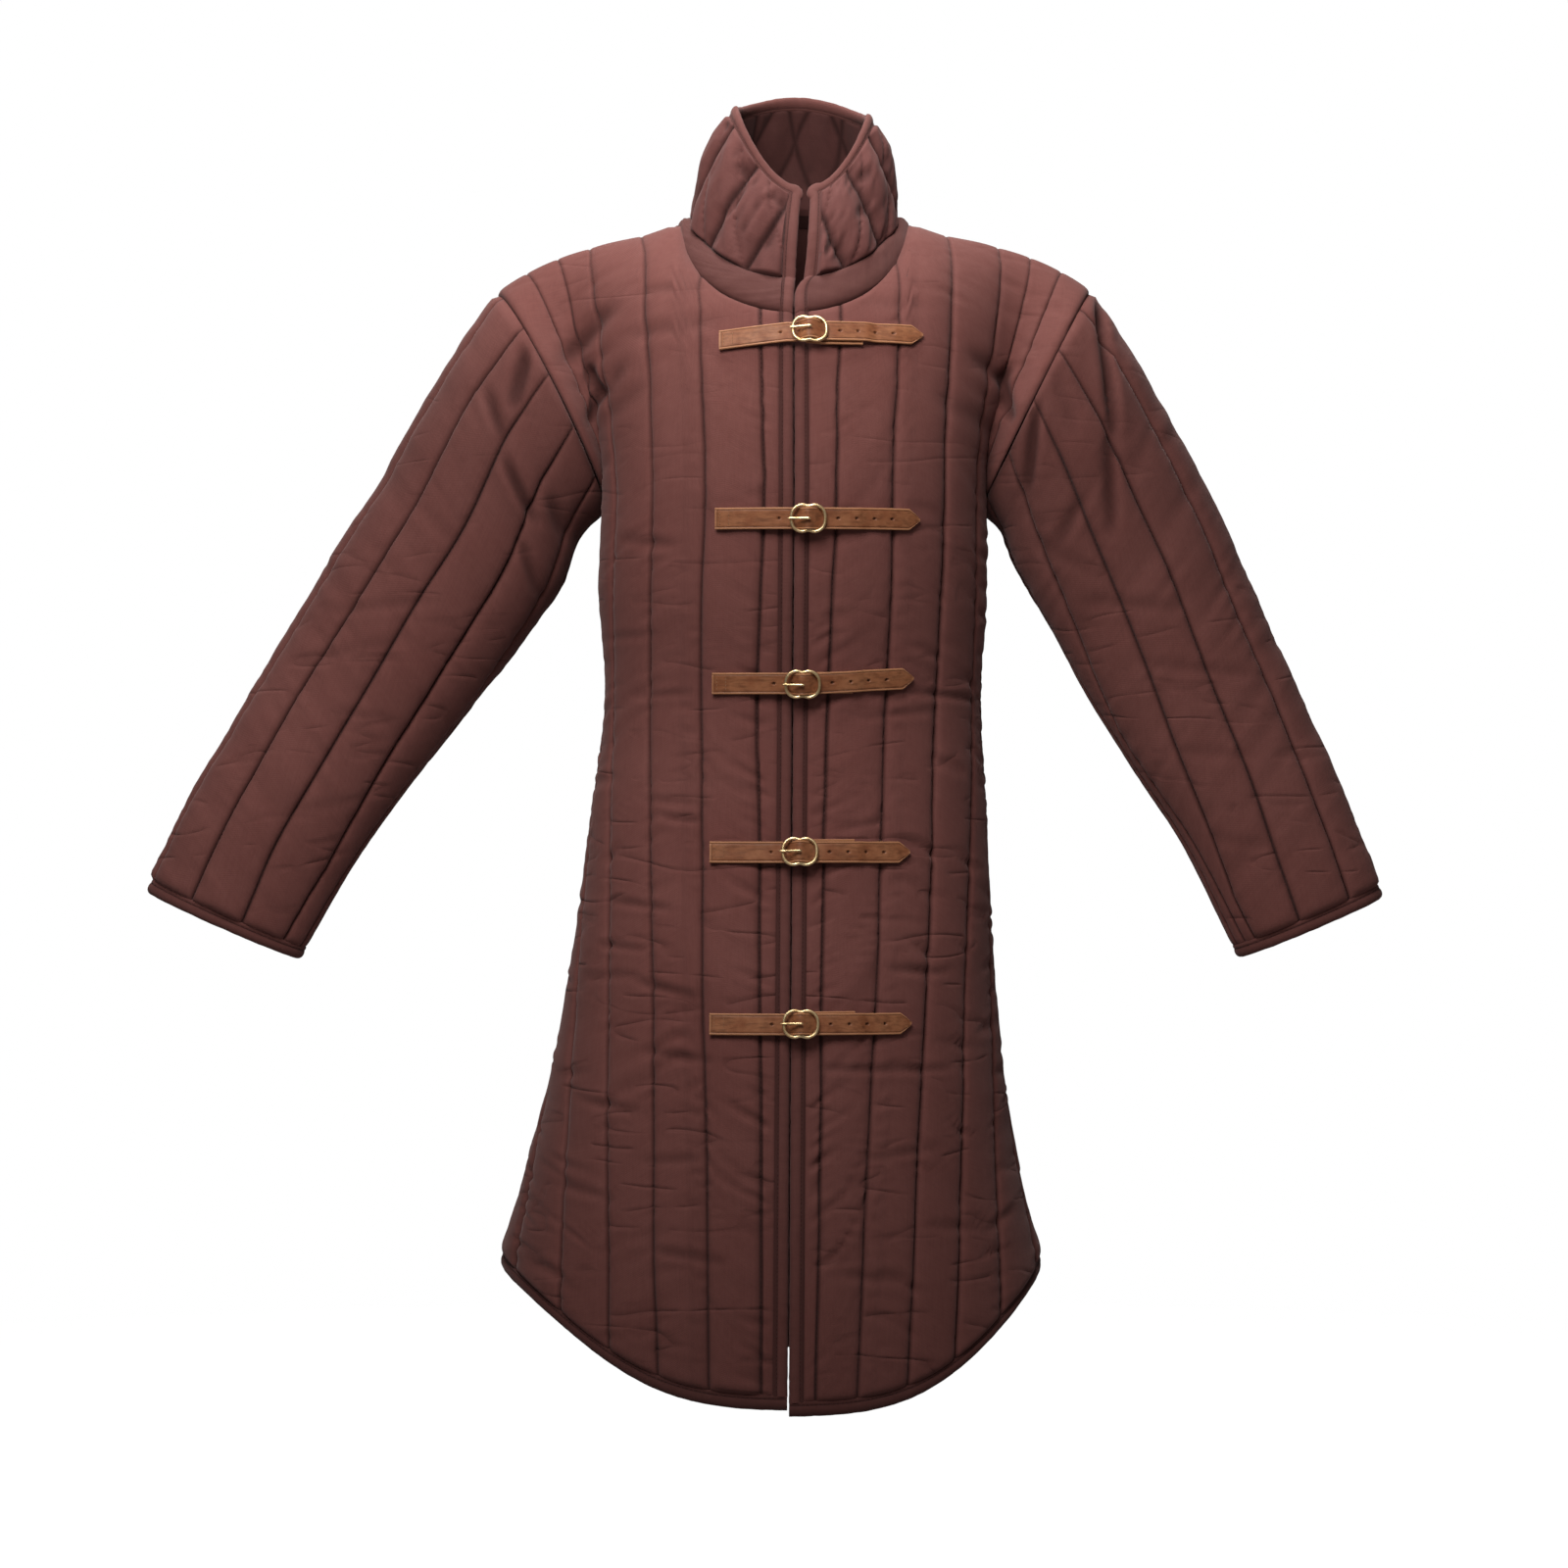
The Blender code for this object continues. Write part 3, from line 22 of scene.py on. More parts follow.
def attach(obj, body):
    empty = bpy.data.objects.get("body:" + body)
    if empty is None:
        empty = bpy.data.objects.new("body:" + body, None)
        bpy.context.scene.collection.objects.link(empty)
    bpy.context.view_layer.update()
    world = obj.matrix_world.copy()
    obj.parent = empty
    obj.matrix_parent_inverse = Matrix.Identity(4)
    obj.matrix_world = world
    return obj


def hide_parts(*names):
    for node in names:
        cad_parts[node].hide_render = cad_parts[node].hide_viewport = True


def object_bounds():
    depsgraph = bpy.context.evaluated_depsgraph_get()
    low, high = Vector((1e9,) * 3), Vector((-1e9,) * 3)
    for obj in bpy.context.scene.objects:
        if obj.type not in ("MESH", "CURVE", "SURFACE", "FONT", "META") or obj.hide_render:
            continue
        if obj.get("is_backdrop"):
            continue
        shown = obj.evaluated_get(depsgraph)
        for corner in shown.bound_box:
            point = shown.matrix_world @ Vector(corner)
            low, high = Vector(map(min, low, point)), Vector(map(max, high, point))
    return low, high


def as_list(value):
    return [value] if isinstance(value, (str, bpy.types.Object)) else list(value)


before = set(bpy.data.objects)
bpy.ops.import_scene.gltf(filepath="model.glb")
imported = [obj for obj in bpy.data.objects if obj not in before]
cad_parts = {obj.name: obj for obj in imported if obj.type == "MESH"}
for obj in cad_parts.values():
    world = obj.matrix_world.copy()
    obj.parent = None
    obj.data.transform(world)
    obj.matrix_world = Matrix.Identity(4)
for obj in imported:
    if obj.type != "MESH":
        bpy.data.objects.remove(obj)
CAD_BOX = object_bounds()

LOG = logging.getLogger("gambeson")
ROOT = "root"

Array = np.ndarray
Mesh, Material, Tree = bpy.types.Mesh, bpy.types.Material, bpy.types.NodeTree
Socket, Outputs = bpy.types.NodeSocket, bpy.types.NodeOutputs


class Side(Enum):
    """The wearer's side that a piece is on; the value is the sign of its x."""

    RIGHT = -1
    LEFT = 1


class Face(Enum):
    """Front or back of the body; the value is the sign of its y."""

    FRONT = -1
    BACK = 1


class Closing(Enum):
    """How a grid of points closes on itself."""

    OPEN = "open"
    COLUMNS = "columns"
    BOTH = "both"


# ---- sizes of the cloth

WALL = 0.004             # wall pressed flat at a stitch line
PUFF = 0.006             # rise of the padding between two lines
CHANNEL = 0.050          # width of the body's channels
FULL_CHANNEL = 0.045     # a narrower channel rises less, in proportion
SLEEVE_PITCH = 0.048
CROWDED = 0.011          # spacing of lines that are pushed in at a seam
SEAM_GAP = 0.0003
SEWN_GAP = 0.00003       # what daylight a long seam shows
BINDING = 0.011
BINDING_BULGE = 0.0042
RIM_ANGLE = math.radians(42.0)
# painted shade: a placed crease darkens the colour by its depth, darkest from this depth on
SUNK = 0.75              # share of a crease in which the whole wall sinks
FOLD_DARK = 0.006        # depth of a crease that is as dark as can be
INNER_LINES = 0.9        # how plain the lines are on the inside
DOUBLES = 2e-6           # points nearer than this are one
FAN = 9                  # stations in which a tape turns a corner
SEWN = 0.16              # distance out of a tape's stitches, as a share of its width
TWO_PI = 2.0 * math.pi
SHARP = math.radians(62.0)  # steeper edges are not smoothed


# ---- arithmetic on grids of points

def curve(keys: Array, values: Array, at: Array) -> Array:
    """Smooth curve through a table of numbers.

    Args:
        keys: Where the values are given, rising.
        values: The values there.
        at: Where the curve is read.

    Returns:
        The curve's values at `at`.
    """
    at = np.clip(np.asarray(at, dtype=float), keys[0], keys[-1])
    slopes = np.gradient(values, keys)
    left = np.clip(np.searchsorted(keys, at, side="right") - 1, 0, len(keys) - 2)
    span = keys[left + 1] - keys[left]
    step = (at - keys[left]) / span
    rise = values[left + 1] - values[left]
    lead = slopes[left] * span
    trail = slopes[left + 1] * span
    return values[left] + step * (lead + step * (3 * rise - 2 * lead - trail
                                                 + step * (lead + trail - 2 * rise)))


def quarter(width: Array, depth: Array, power: float) -> tuple[Array, Array, Array]:
    """Quarter superellipse from (0, depth) to (width, 0).

    Args:
        width: Half width, for each curve.
        depth: Half depth, for each curve.
        power: Squareness; 2 is an ellipse.

    Returns:
        Sampled x, y and run of cloth along the curve.
    """
    angle = np.linspace(0.0, math.pi / 2, 33)
    across = np.asarray(width)[..., None] * np.sin(angle) ** (2 / power)
    deep = np.asarray(depth)[..., None] * np.abs(np.cos(angle)) ** (2 / power)
    steps = np.hypot(np.diff(across, axis=-1), np.diff(deep, axis=-1))
    run = np.concatenate([np.zeros(steps.shape[:-1] + (1,)), np.cumsum(steps, axis=-1)], axis=-1)
    return across, deep, run


def along_quarter(width: Array, depth: Array, power: float, target: Array) -> tuple[Array, Array]:
    """Point of a quarter superellipse at a run of cloth from its deep end.

    Args:
        width: Half width, for each curve.
        depth: Half depth, for each curve.
        power: Squareness.
        target: Run of cloth, for each curve.

    Returns:
        The point's x and y.
    """
    across, deep, run = quarter(width, depth, power)
    target = np.clip(target, 0.0, run[..., -1])
    index = np.clip((run <= target[..., None]).sum(axis=-1) - 1, 0, run.shape[-1] - 2)[..., None]

    def pick(array: Array, shift: int = 0) -> Array:
        """Entry of each curve at its index."""
        return np.take_along_axis(array, index + shift, axis=-1)[..., 0]

    part = (target - pick(run)) / (pick(run, 1) - pick(run))
    return (pick(across) + part * (pick(across, 1) - pick(across)),
            pick(deep) + part * (pick(deep, 1) - pick(deep)))


def spread(lines: Array, shift: Array, start: Array, end: Array, column: Array,
           room: Array = 0.0) -> Array:
    """Run of cloth at a column: 0 is `start`, 1 to n the lines, n + 1 `end`.

    Lines keep their place, and those that reach past an edge are pushed in, close together.

    Args:
        lines: Runs of the n lines.
        shift: How far the lines are moved.
        start: Run of the first edge.
        end: Run of the last edge.
        column: Position between the edges, in channels.
        room: Extra width that the lines leave free before the last edge.

    Returns:
        The run at each column.
    """
    count = len(lines)

    def at(index: Array) -> Array:
        """Run of a whole column."""
        inner = lines[np.clip(index - 1, 0, count - 1)] + shift
        inner = np.maximum(inner, start + CROWDED * index)
        inner = np.minimum(inner, end - room - CROWDED * (count + 1 - index))
        return np.where(index <= 0, start, np.where(index > count, end, inner))

    left = np.clip(np.floor(column).astype(int), 0, count)
    low = at(left)
    return low + (column - left) * (at(left + 1) - low)


def unit(vectors: Array) -> Array:
    """Vectors at length one."""
    return vectors / np.maximum(np.linalg.norm(vectors, axis=-1, keepdims=True), 1e-12)


def squared(vectors: Array, axis: Array) -> Array:
    """Vectors at length one, made square to an axis of length one."""
    return unit(vectors - (vectors * axis).sum(axis=-1, keepdims=True) * axis)


def stack(x: Array, y: Array, z: Array) -> Array:
    """Points from their coordinates, of shapes that match."""
    return np.stack(np.broadcast_arrays(x, y, z), axis=-1)


def soft_step(distance: Array, width: float) -> Array:
    """0 at no distance, 1 from `width` on, smooth between."""
    part = np.clip(distance / width, 0.0, 1.0)
    return part * part * (3.0 - 2.0 * part)


def runs(points: Array, axis: int) -> Array:
    """Distance walked along the rows or columns of a grid.

    Args:
        points: Grid of points.
        axis: 0 walks down the columns, 1 along the rows.

    Returns:
        The distance from the start at each grid point.
    """
    steps = np.linalg.norm(np.diff(points, axis=axis), axis=-1)
    pad = [(0, 0), (0, 0)]
    pad[axis] = (1, 0)
    return np.cumsum(np.pad(steps, pad), axis=axis)


def edge_distance(points: Array, axis: int) -> Array:
    """Distance of each grid point to the nearer end of its row or column."""
    walked = runs(points, axis)
    return np.minimum(walked, walked.take([-1], axis=axis) - walked)


def grid_normals(points: Array, sign: float, closing: Closing = Closing.OPEN) -> Array:
    """Normals of a grid of points.

    Args:
        points: Grid of points [row, column].
        sign: Which side the normals are on.
        closing: Whether the last column repeats the first.

    Returns:
        A unit vector for each point.
    """
    if closing is not Closing.OPEN:
        points = np.concatenate([points[:, -2:-1], points, points[:, 1:2]], axis=1)
    normals = sign * unit(np.cross(np.gradient(points, axis=1), np.gradient(points, axis=0)))
    return normals if closing is Closing.OPEN else normals[:, 1:-1]


def wave_noise(at: Array, pitch: float, seed: int) -> Array:
    """Smooth seeded noise along a line.

    Args:
        at: Distances, in metres.
        pitch: Typical distance between two bumps, in metres.
        seed: Number of the random sequence.

    Returns:
        Values from about -1 to 1.
    """
    table = np.random.default_rng(seed).uniform(-1.0, 1.0, 512)
    place = np.asarray(at) / (0.5 * pitch) + 97.0    # starts well inside the table
    low = np.floor(place).astype(int)
    part = soft_step(place - low, 1.0)
    return table[low % 512] * (1.0 - part) + table[(low + 1) % 512] * part


# ---- the cut: surfaces of the worn coat


@dataclass(frozen=True)
class BodyCut:
    """Stitch-line surface of the body, panel by panel.

    Columns count channels from the centre, 0, to the side seam or armhole, 7. A rise is 0 at the
    hem, 1 at the underarm and 2 at the neckline or shoulder seam.
    """

    # z, centre, half width, depth of the front, depth of the back
    sections: tuple[tuple[float, ...], ...] = (
        (-1.000, -0.0195, 0.2600, 0.198, 0.195),
        (-0.897, -0.0185, 0.2340, 0.183, 0.180),
        (-0.816, -0.0165, 0.2110, 0.172, 0.169),
        (-0.714, -0.0120, 0.1905, 0.158, 0.155),
        (-0.612, -0.0072, 0.1775, 0.145, 0.143),
        (-0.510, -0.0030, 0.1695, 0.130, 0.123),
        (-0.408, 0.0008, 0.1605, 0.122, 0.108),
        (-0.306, 0.0008, 0.1645, 0.140, 0.127),
        (-0.236, 0.0015, 0.1635, 0.145, 0.135),
    )
    # run of each quilting line at the centre of the body, and its reach at the neck or shoulder
    front_lines: tuple[tuple[float, float], ...] = (
        (0.0115, 0.0114), (0.030, 0.034), (0.080, 0.0845), (0.130, 0.131), (0.180, 0.176),
        (0.235, 0.201), (0.285, 0.225))
    back_lines: tuple[tuple[float, float], ...] = (
        (0.0, 0.0), (0.050, 0.050), (0.100, 0.100), (0.150, 0.142), (0.200, 0.182),
        (0.250, 0.206), (0.300, 0.228))
    shoulder: tuple[tuple[float, float], ...] = (
        (0.090, 0.0095), (0.126, -0.0035), (0.1675, -0.0125), (0.198, -0.0220), (0.2560, -0.0530))
    # lowest height of each hem, and how squarely it turns up towards its corners
    hems: dict[str, tuple[float, float]] = field(default_factory=lambda: {
        "right": (-0.989, 0.6), "left": (-0.994, 0.75), "back": (-0.991, 0.6)})
    underarm_z: float = -0.236
    hem_side_z: float = -0.891
    hem_middle_z: float = -0.991
    vent_top_z: float = -0.805
    vent_ease: float = 0.120     # over which the lines make way for the vent's tape
    power: float = 2.3
    last_plain: int = 4
    neck_x: float = 0.0015
    neck_half_width: float = 0.100
    opening: tuple[float, float] = (-0.0034, 0.0015)     # where the fronts meet: hem, chest
    # powers of the profile above the underarm, at two reaches from the centre
    profile_reach: tuple[float, float] = (0.06, 0.12)
    fullness: tuple[float, float] = (1.15, 2.0)
    sweeps: dict[Face, tuple[float, float]] = field(default_factory=lambda: {
        Face.FRONT: (1.9, 2.0), Face.BACK: (2.2, 2.0)})
    tip: tuple[float, float] = (0.2560, -0.0530)
    lean: float = 0.001
    armhole_depth: float = 0.070
    armhole_yaw: dict[Side, float] = field(default_factory=lambda: {Side.RIGHT: 9.0,
                                                                    Side.LEFT: 3.0})

    @property
    def channels(self) -> int:
        """Channels from the centre to the seam."""
        return len(self.front_lines)

    @property
    def vent_rise(self) -> float:
        """Rise of the vent's top at the side seam."""
        bottom = self.hem_side_z + BINDING
        return (self.vent_top_z - bottom) / (self.underarm_z - bottom)

    def moved_column(self, face: Face, column: Array, shift: Array) -> Array:
        """Columns whose surface points lie a distance further from the centre."""
        places = np.append(self.lines(face)[:, 0], 0.350)
        index = np.arange(len(places))
        return np.interp(np.interp(column, index, places) + shift, places, index)

    def lines(self, face: Face) -> Array:
        """Runs and reaches of the quilting lines of one face."""
        return np.array(self.front_lines if face is Face.FRONT else self.back_lines)

    def section(self, z: Array, face: Face) -> tuple[Array, Array, Array]:
        """Centre, half width and depth of the body at a height."""
        table = np.array(self.sections)
        keys = table[:, 0]
        depth = table[:, 3] if face is Face.FRONT else table[:, 4]
        return (curve(keys, table[:, 1], z), curve(keys, table[:, 2], z), curve(keys, depth, z))

    def opening_x(self, z: Array) -> Array:
        """Where the two fronts meet."""
        return np.interp(z, [self.hem_middle_z, self.underarm_z, 0.0],
                         [*self.opening, self.neck_x])

    def girth_point(self, face: Face, run: Array, z: Array) -> Array:
        """Point at a signed run of cloth from the middle of the front or back."""
        centre, half_width, depth = self.section(z, face)
        across, deep = along_quarter(half_width, depth, self.power, np.abs(run))
        return stack(centre + np.sign(run) * across, face.value * deep, z)

    def hem_height(self, piece: str, share: Array) -> Array:
        """Height of a piece's hem, from its middle at 0 to its side seam at 1."""
        middle_z, rounding = self.hems[piece]
        soft = np.sin(0.5 * math.pi * share) ** 2
        swing = soft + rounding * (np.sin(0.5 * math.pi * soft) ** 2 - soft)
        return middle_z + (self.hem_side_z - middle_z) * swing

    def lower_point(self, side: Side, face: Face, column: Array, rise: Array) -> Array:
        """Body below the underarm.

        Args:
            side: Which side of the panel.
            face: Front or back.
            column: Position across the panel, in channels.
            rise: 0 at the hem, 1 at the underarm.

        Returns:
            Points of the surface.
        """
        lines = self.lines(face)[:, 0]
        middle = np.array(0.5 * (self.hem_middle_z + self.hem_side_z))
        end = quarter(*self.section(middle, face)[1:], self.power)[2][..., -1]
        places = np.append(lines, end)
        share = np.clip(np.interp(column, np.arange(len(places)), places) / end, 0.0, 1.0)
        piece = "back" if face is Face.BACK else side.name.lower()
        hem = self.hem_height(piece, share) + BINDING
        z = hem + (self.underarm_z - hem) * rise
        centre, half_width, depth = self.section(z, face)
        seam = quarter(half_width, depth, self.power)[2][..., -1]
        shift = side.value * (self.opening_x(z) - centre) if face is Face.FRONT else 0.0 * z
        inset = np.where(z < self.vent_top_z - SEAM_GAP, BINDING + SEAM_GAP, 0.0)
        room = BINDING * soft_step(self.vent_top_z + self.vent_ease - z, self.vent_ease) - inset
        run = spread(lines[1:], shift, lines[0] + shift, seam - inset, column,
                     np.maximum(room, 0.0))
        return self.girth_point(face, side.value * run, z)

    def top_reach(self, face: Face, column: Array) -> Array:
        """How far from the centre a plain column ends at the top."""
        tops = self.lines(face)[:self.last_plain + 1, 1]
        return np.interp(column, np.arange(len(tops)), tops)

    def top_point(self, side: Side, face: Face, column: Array) -> Array:
        """End of a plain column, on the neckline or on the shoulder seam."""
        reach = self.top_reach(face, column)
        angle = self.neck_angle(side, face, np.clip(reach / self.neck_half_width, 0.0, 1.0))
        part = np.clip((reach - self.neck_half_width) / (self.tip[0] - self.neck_half_width),
                       0.0, 1.0)
        table = np.array(self.shoulder)
        z = curve(table[:, 0], table[:, 1], reach) + side.value * self.lean * part
        on_shoulder = stack(self.neck_x + side.value * reach, 0.0 * z, z)
        at_neck = (reach <= self.neck_half_width + 1e-6)[..., None]
        return np.where(at_neck, NECKLINE.point(angle), on_shoulder)

    def neck_angle(self, side: Side, face: Face, share: Array) -> Array:
        """Angle round the neck at a share of its half width."""
        angle = np.arcsin(share)
        return side.value * (angle if face is Face.FRONT else math.pi - angle)

    def profile_point(self, side: Side, face: Face, column: Array, lift: Array) -> Array:
        """Body above the underarm on the plain columns; lift is 0 at the underarm, 1 on top."""
        base = self.lower_point(side, face, column, np.ones_like(column))
        top = self.top_point(side, face, column)
        reach = self.top_reach(face, column)
        fullness = np.interp(reach, self.profile_reach, self.fullness)
        sweep = np.interp(reach, self.profile_reach, self.sweeps[face])
        fall = np.clip(1.0 - lift ** sweep, 0.0, 1.0) ** (1.0 / fullness)
        ease = lift * lift * (3.0 - 2.0 * lift)
        return stack(base[..., 0] + (top[..., 0] - base[..., 0]) * ease,
                     top[..., 1] + (base[..., 1] - top[..., 1]) * fall,
                     base[..., 2] + (top[..., 2] - base[..., 2]) * lift)

    def armhole_frame(self, side: Side) -> tuple[Array, Array, float, Array, Array]:
        """Plane of an armhole: middle, long axis, half length, forward and outward."""
        centre, half_width, _ = self.section(np.array(self.underarm_z), Face.FRONT)
        low = np.array([float(centre + side.value * half_width), 0.0, self.underarm_z])
        high = np.array([self.neck_x + side.value * self.tip[0], 0.0,
                         self.tip[1] + side.value * self.lean])
        axis = unit(high - low)
        yaw = math.radians(self.armhole_yaw[side])
        forward = np.array([-side.value * math.sin(yaw), -math.cos(yaw), 0.0])
        forward = unit(forward - axis * forward.dot(axis))
        outward = side.value * np.cross(forward, axis)
        if outward[0] * side.value < 0:
            outward = -outward
        return 0.5 * (low + high), axis, 0.5 * float(np.linalg.norm(high - low)), forward, outward

    def armhole_point(self, side: Side, turn: Array) -> Array:
        """Armhole seam; the angle is 0 at the underarm and pi at the shoulder, front first."""
        middle, axis, half_length, forward, _ = self.armhole_frame(side)
        turn = np.asarray(turn, dtype=float)[..., None]
        return (middle - np.cos(turn) * half_length * axis
                + np.sin(turn) * self.armhole_depth * forward)

    def armhole_radial(self, side: Side, turn: Array) -> Array:
        """Direction through the wall at the armhole seam."""
        _, axis, half_length, forward, _ = self.armhole_frame(side)
        turn = np.asarray(turn, dtype=float)[..., None]
        return unit(np.sin(turn) / self.armhole_depth * forward
                    - np.cos(turn) / half_length * axis)

    def upper_point(self, side: Side, face: Face, column: Array, climb: Array) -> Array:
        """Body above the underarm; climb is 0 at the underarm, 1 at the neck or shoulder."""
        lift = np.sin(0.5 * math.pi * climb)
        plain = self.profile_point(side, face, np.minimum(column, self.last_plain), lift)
        ones, zero = np.ones_like(column), np.zeros_like(column)
        part = np.clip((column - self.last_plain) / (self.channels - self.last_plain),
                       0.0, 1.0)[..., None]

        def across(height: Array, seam: Array) -> Array:
            """Surface from the last plain line on to a point of the armhole seam."""
            last = self.profile_point(side, face, ones * self.last_plain, height)
            before = self.profile_point(side, face, ones * (self.last_plain - 1), height)
            lead = unit(last - before) * np.linalg.norm(seam - last, axis=-1, keepdims=True)
            return last + lead * part + (seam - last - lead) * part ** 2

        bent = across(lift, self.armhole_point(side, -face.value * math.pi * climb))
        start = self.lower_point(side, face, column, ones)
        bent = bent + (start - across(zero, self.armhole_point(side, zero))) \
            * (1.0 - climb)[..., None] ** 3
        return np.where((column <= self.last_plain)[..., None], plain, bent)

    def point(self, side: Side, face: Face, column: Array, rise: Array) -> Array:
        """Body surface at a column and a rise."""
        lower = self.lower_point(side, face, column, np.minimum(rise, 1.0))
        upper = self.upper_point(side, face, column, np.clip(rise - 1.0, 0.0, 1.0))
        return np.where((rise > 1.0)[..., None], upper, lower)

    def chest_point(self, run: float, z: float) -> Array:
        """Front surface at a signed distance from the opening and at a height."""
        if z <= self.underarm_z:
            centre = self.section(np.array(z), Face.FRONT)[0]
            return self.girth_point(Face.FRONT, np.array(run + self.opening_x(z) - centre),
                                    np.array(z))
        side = Side.LEFT if run > 0 else Side.RIGHT
        columns = np.linspace(0.0, self.last_plain, 3 * self.last_plain + 1)
        top_z = self.top_point(side, Face.FRONT, columns)[:, 2]
        level = self.profile_point(side, Face.FRONT, columns,
                                   (z - self.underarm_z) / (top_z - self.underarm_z))
        reach = side.value * (level[:, 0] - self.opening_x(z))
        depth = np.interp(abs(run), reach, level[:, 1])
        return np.array([self.opening_x(z) + run, depth, z])

    def chest_frame(self, run: float, z: float) -> tuple[Array, Array, Array]:
        """Point, normal and upward direction of the front."""
        step = 0.006
        up = unit(self.chest_point(run, z + step) - self.chest_point(run, z - step))
        across = self.chest_point(run + step, z) - self.chest_point(run - step, z)
        return self.chest_point(run, z), unit(np.cross(across, up)), up


@dataclass(frozen=True)
class NeckRing:
    """Ring round the neck: the body's neckline, the collar seam or the collar's top."""

    centre: float
    half_width: float
    front: float
    back: float
    side_z: float
    front_z: float
    back_z: float
    dip: float
    slant: float
    edge_left: float
    edge_right: float

    def point(self, angle: Array) -> Array:
        """Point of the ring; the angle is 0 at the front and grows to the left."""
        turn = np.cos(angle)
        reach = np.where(turn > 0, self.front, self.back)
        end_z = np.where(turn > 0, self.front_z, self.back_z)
        x = self.centre + self.half_width * np.sin(angle)
        z = self.side_z + (end_z - self.side_z) * np.abs(turn) ** self.dip
        return stack(x, -reach * turn, z + self.slant * (x - self.centre))

    def outward(self, angle: Array) -> Array:
        """Level direction away from the neck."""
        reach = np.where(np.cos(angle) > 0, self.front, self.back)
        return unit(stack(np.sin(angle) / self.half_width, -np.cos(angle) / reach, 0.0 * angle))

    def rim(self, angle: Array) -> tuple[Array, Array]:
        """Directions of a seam on the ring: through the wall, and up along the collar."""
        out, up = self.outward(angle), np.array([0.0, 0.0, 1.0])
        return (out * math.cos(RIM_ANGLE) + up * math.sin(RIM_ANGLE),
                up * math.cos(RIM_ANGLE) - out * math.sin(RIM_ANGLE))

    def seam(self, angle: Array, way: float) -> Array:
        """Point half a seam's gap above the ring (way 1) or below it (way -1)."""
        return self.point(angle) + way * self.rim(angle)[1] * 0.5 * SEAM_GAP

    def through(self, share: Array) -> Array:
        """Direction through the wall at the seam, at shares round the neck."""
        return self.rim(self.angles(share))[0]

    def angles(self, share: Array) -> Array:
        """Angles round the neck from one front edge, at 0, to the other, at 1."""
        first, last = (math.asin(edge / self.half_width)
                       for edge in (self.edge_left, self.edge_right))
        return first + (TWO_PI - first - last) * share


NECKLINE = NeckRing(0.0015, 0.100, 0.110, 0.076, 0.0075, -0.080, 0.018, 1.0, 0.0, 0.0114,
                    0.0114)
COLLAR_SEAM = NeckRing(0.0015, 0.087, 0.090, 0.065, 0.012, -0.049, 0.028, 1.3, 0.0, 0.0190,
                       0.0096)
COLLAR_TOP = NeckRing(0.0085, 0.0625, 0.060, 0.058, 0.099, 0.025, 0.118, 1.9, -0.06, 0.0158,
                      0.0105)
BODY = BodyCut()


@dataclass(frozen=True)
class SleeveCut:
    """Surface of a sleeve, from its armhole to its cuff."""

    side: Side
    # |x|, z, half width, lean from level in degrees, half depth; armhole to cuff
    rings: tuple[tuple[float, ...], ...]
    lines: tuple[float, ...]
    power: float = 2.0

    @property
    def channels(self) -> int:
        """Channels all round the sleeve."""
        return len(self.lines) + 1

    def table(self) -> tuple[Array, Array]:
        """Share of the length and sizes, ring by ring from the armhole."""
        middle, axis, half_length, _, _ = BODY.armhole_frame(self.side)
        lean = math.degrees(math.atan2(axis[2], self.side.value * axis[0]))
        first = (self.side.value * middle[0], middle[2], half_length, lean, BODY.armhole_depth)
        table = np.array((first,) + self.rings)
        length = np.concatenate([[0.0], np.cumsum(np.hypot(np.diff(table[:, 0]),
                                                           np.diff(table[:, 1])))])
        return length / length[-1], table

    def point(self, column: Array, down: Array) -> Array:
        """Surface; columns run from the back of the underarm seam round to its front.

        Args:
            column: Position round the sleeve, in channels.
            down: 0 at the armhole, 1 at the cuff.

        Returns:
            Points of the surface.
        """
        shares, table = self.table()
        reach, z, half_width, lean, half_depth = (curve(shares, table[:, index], down)
                                                  for index in range(5))
        half = quarter(half_depth, half_width, self.power)[2][..., -1]
        run = spread(np.array(self.lines), 0.0, -2.0 * half, 2.0 * half, column)
        past = np.abs(run) > half
        walked = np.where(past, 2.0 * half - np.abs(run), np.abs(run))
        deep, across = along_quarter(half_depth, half_width, self.power, walked)
        across = np.where(past, -across, across)
        settle = np.clip(down / shares[1], 0.0, 1.0)[..., None]
        forward = BODY.armhole_frame(self.side)[3]
        ahead = unit(forward * (1.0 - settle) + np.array([0.0, -1.0, 0.0]) * settle)
        lean = np.radians(lean)
        spoke = stack(self.side.value * np.cos(lean), 0.0 * z, np.sin(lean))
        return (stack(self.side.value * reach, 0.0 * z, z) + across[..., None] * spoke
                + (np.sign(run) * deep)[..., None] * ahead)


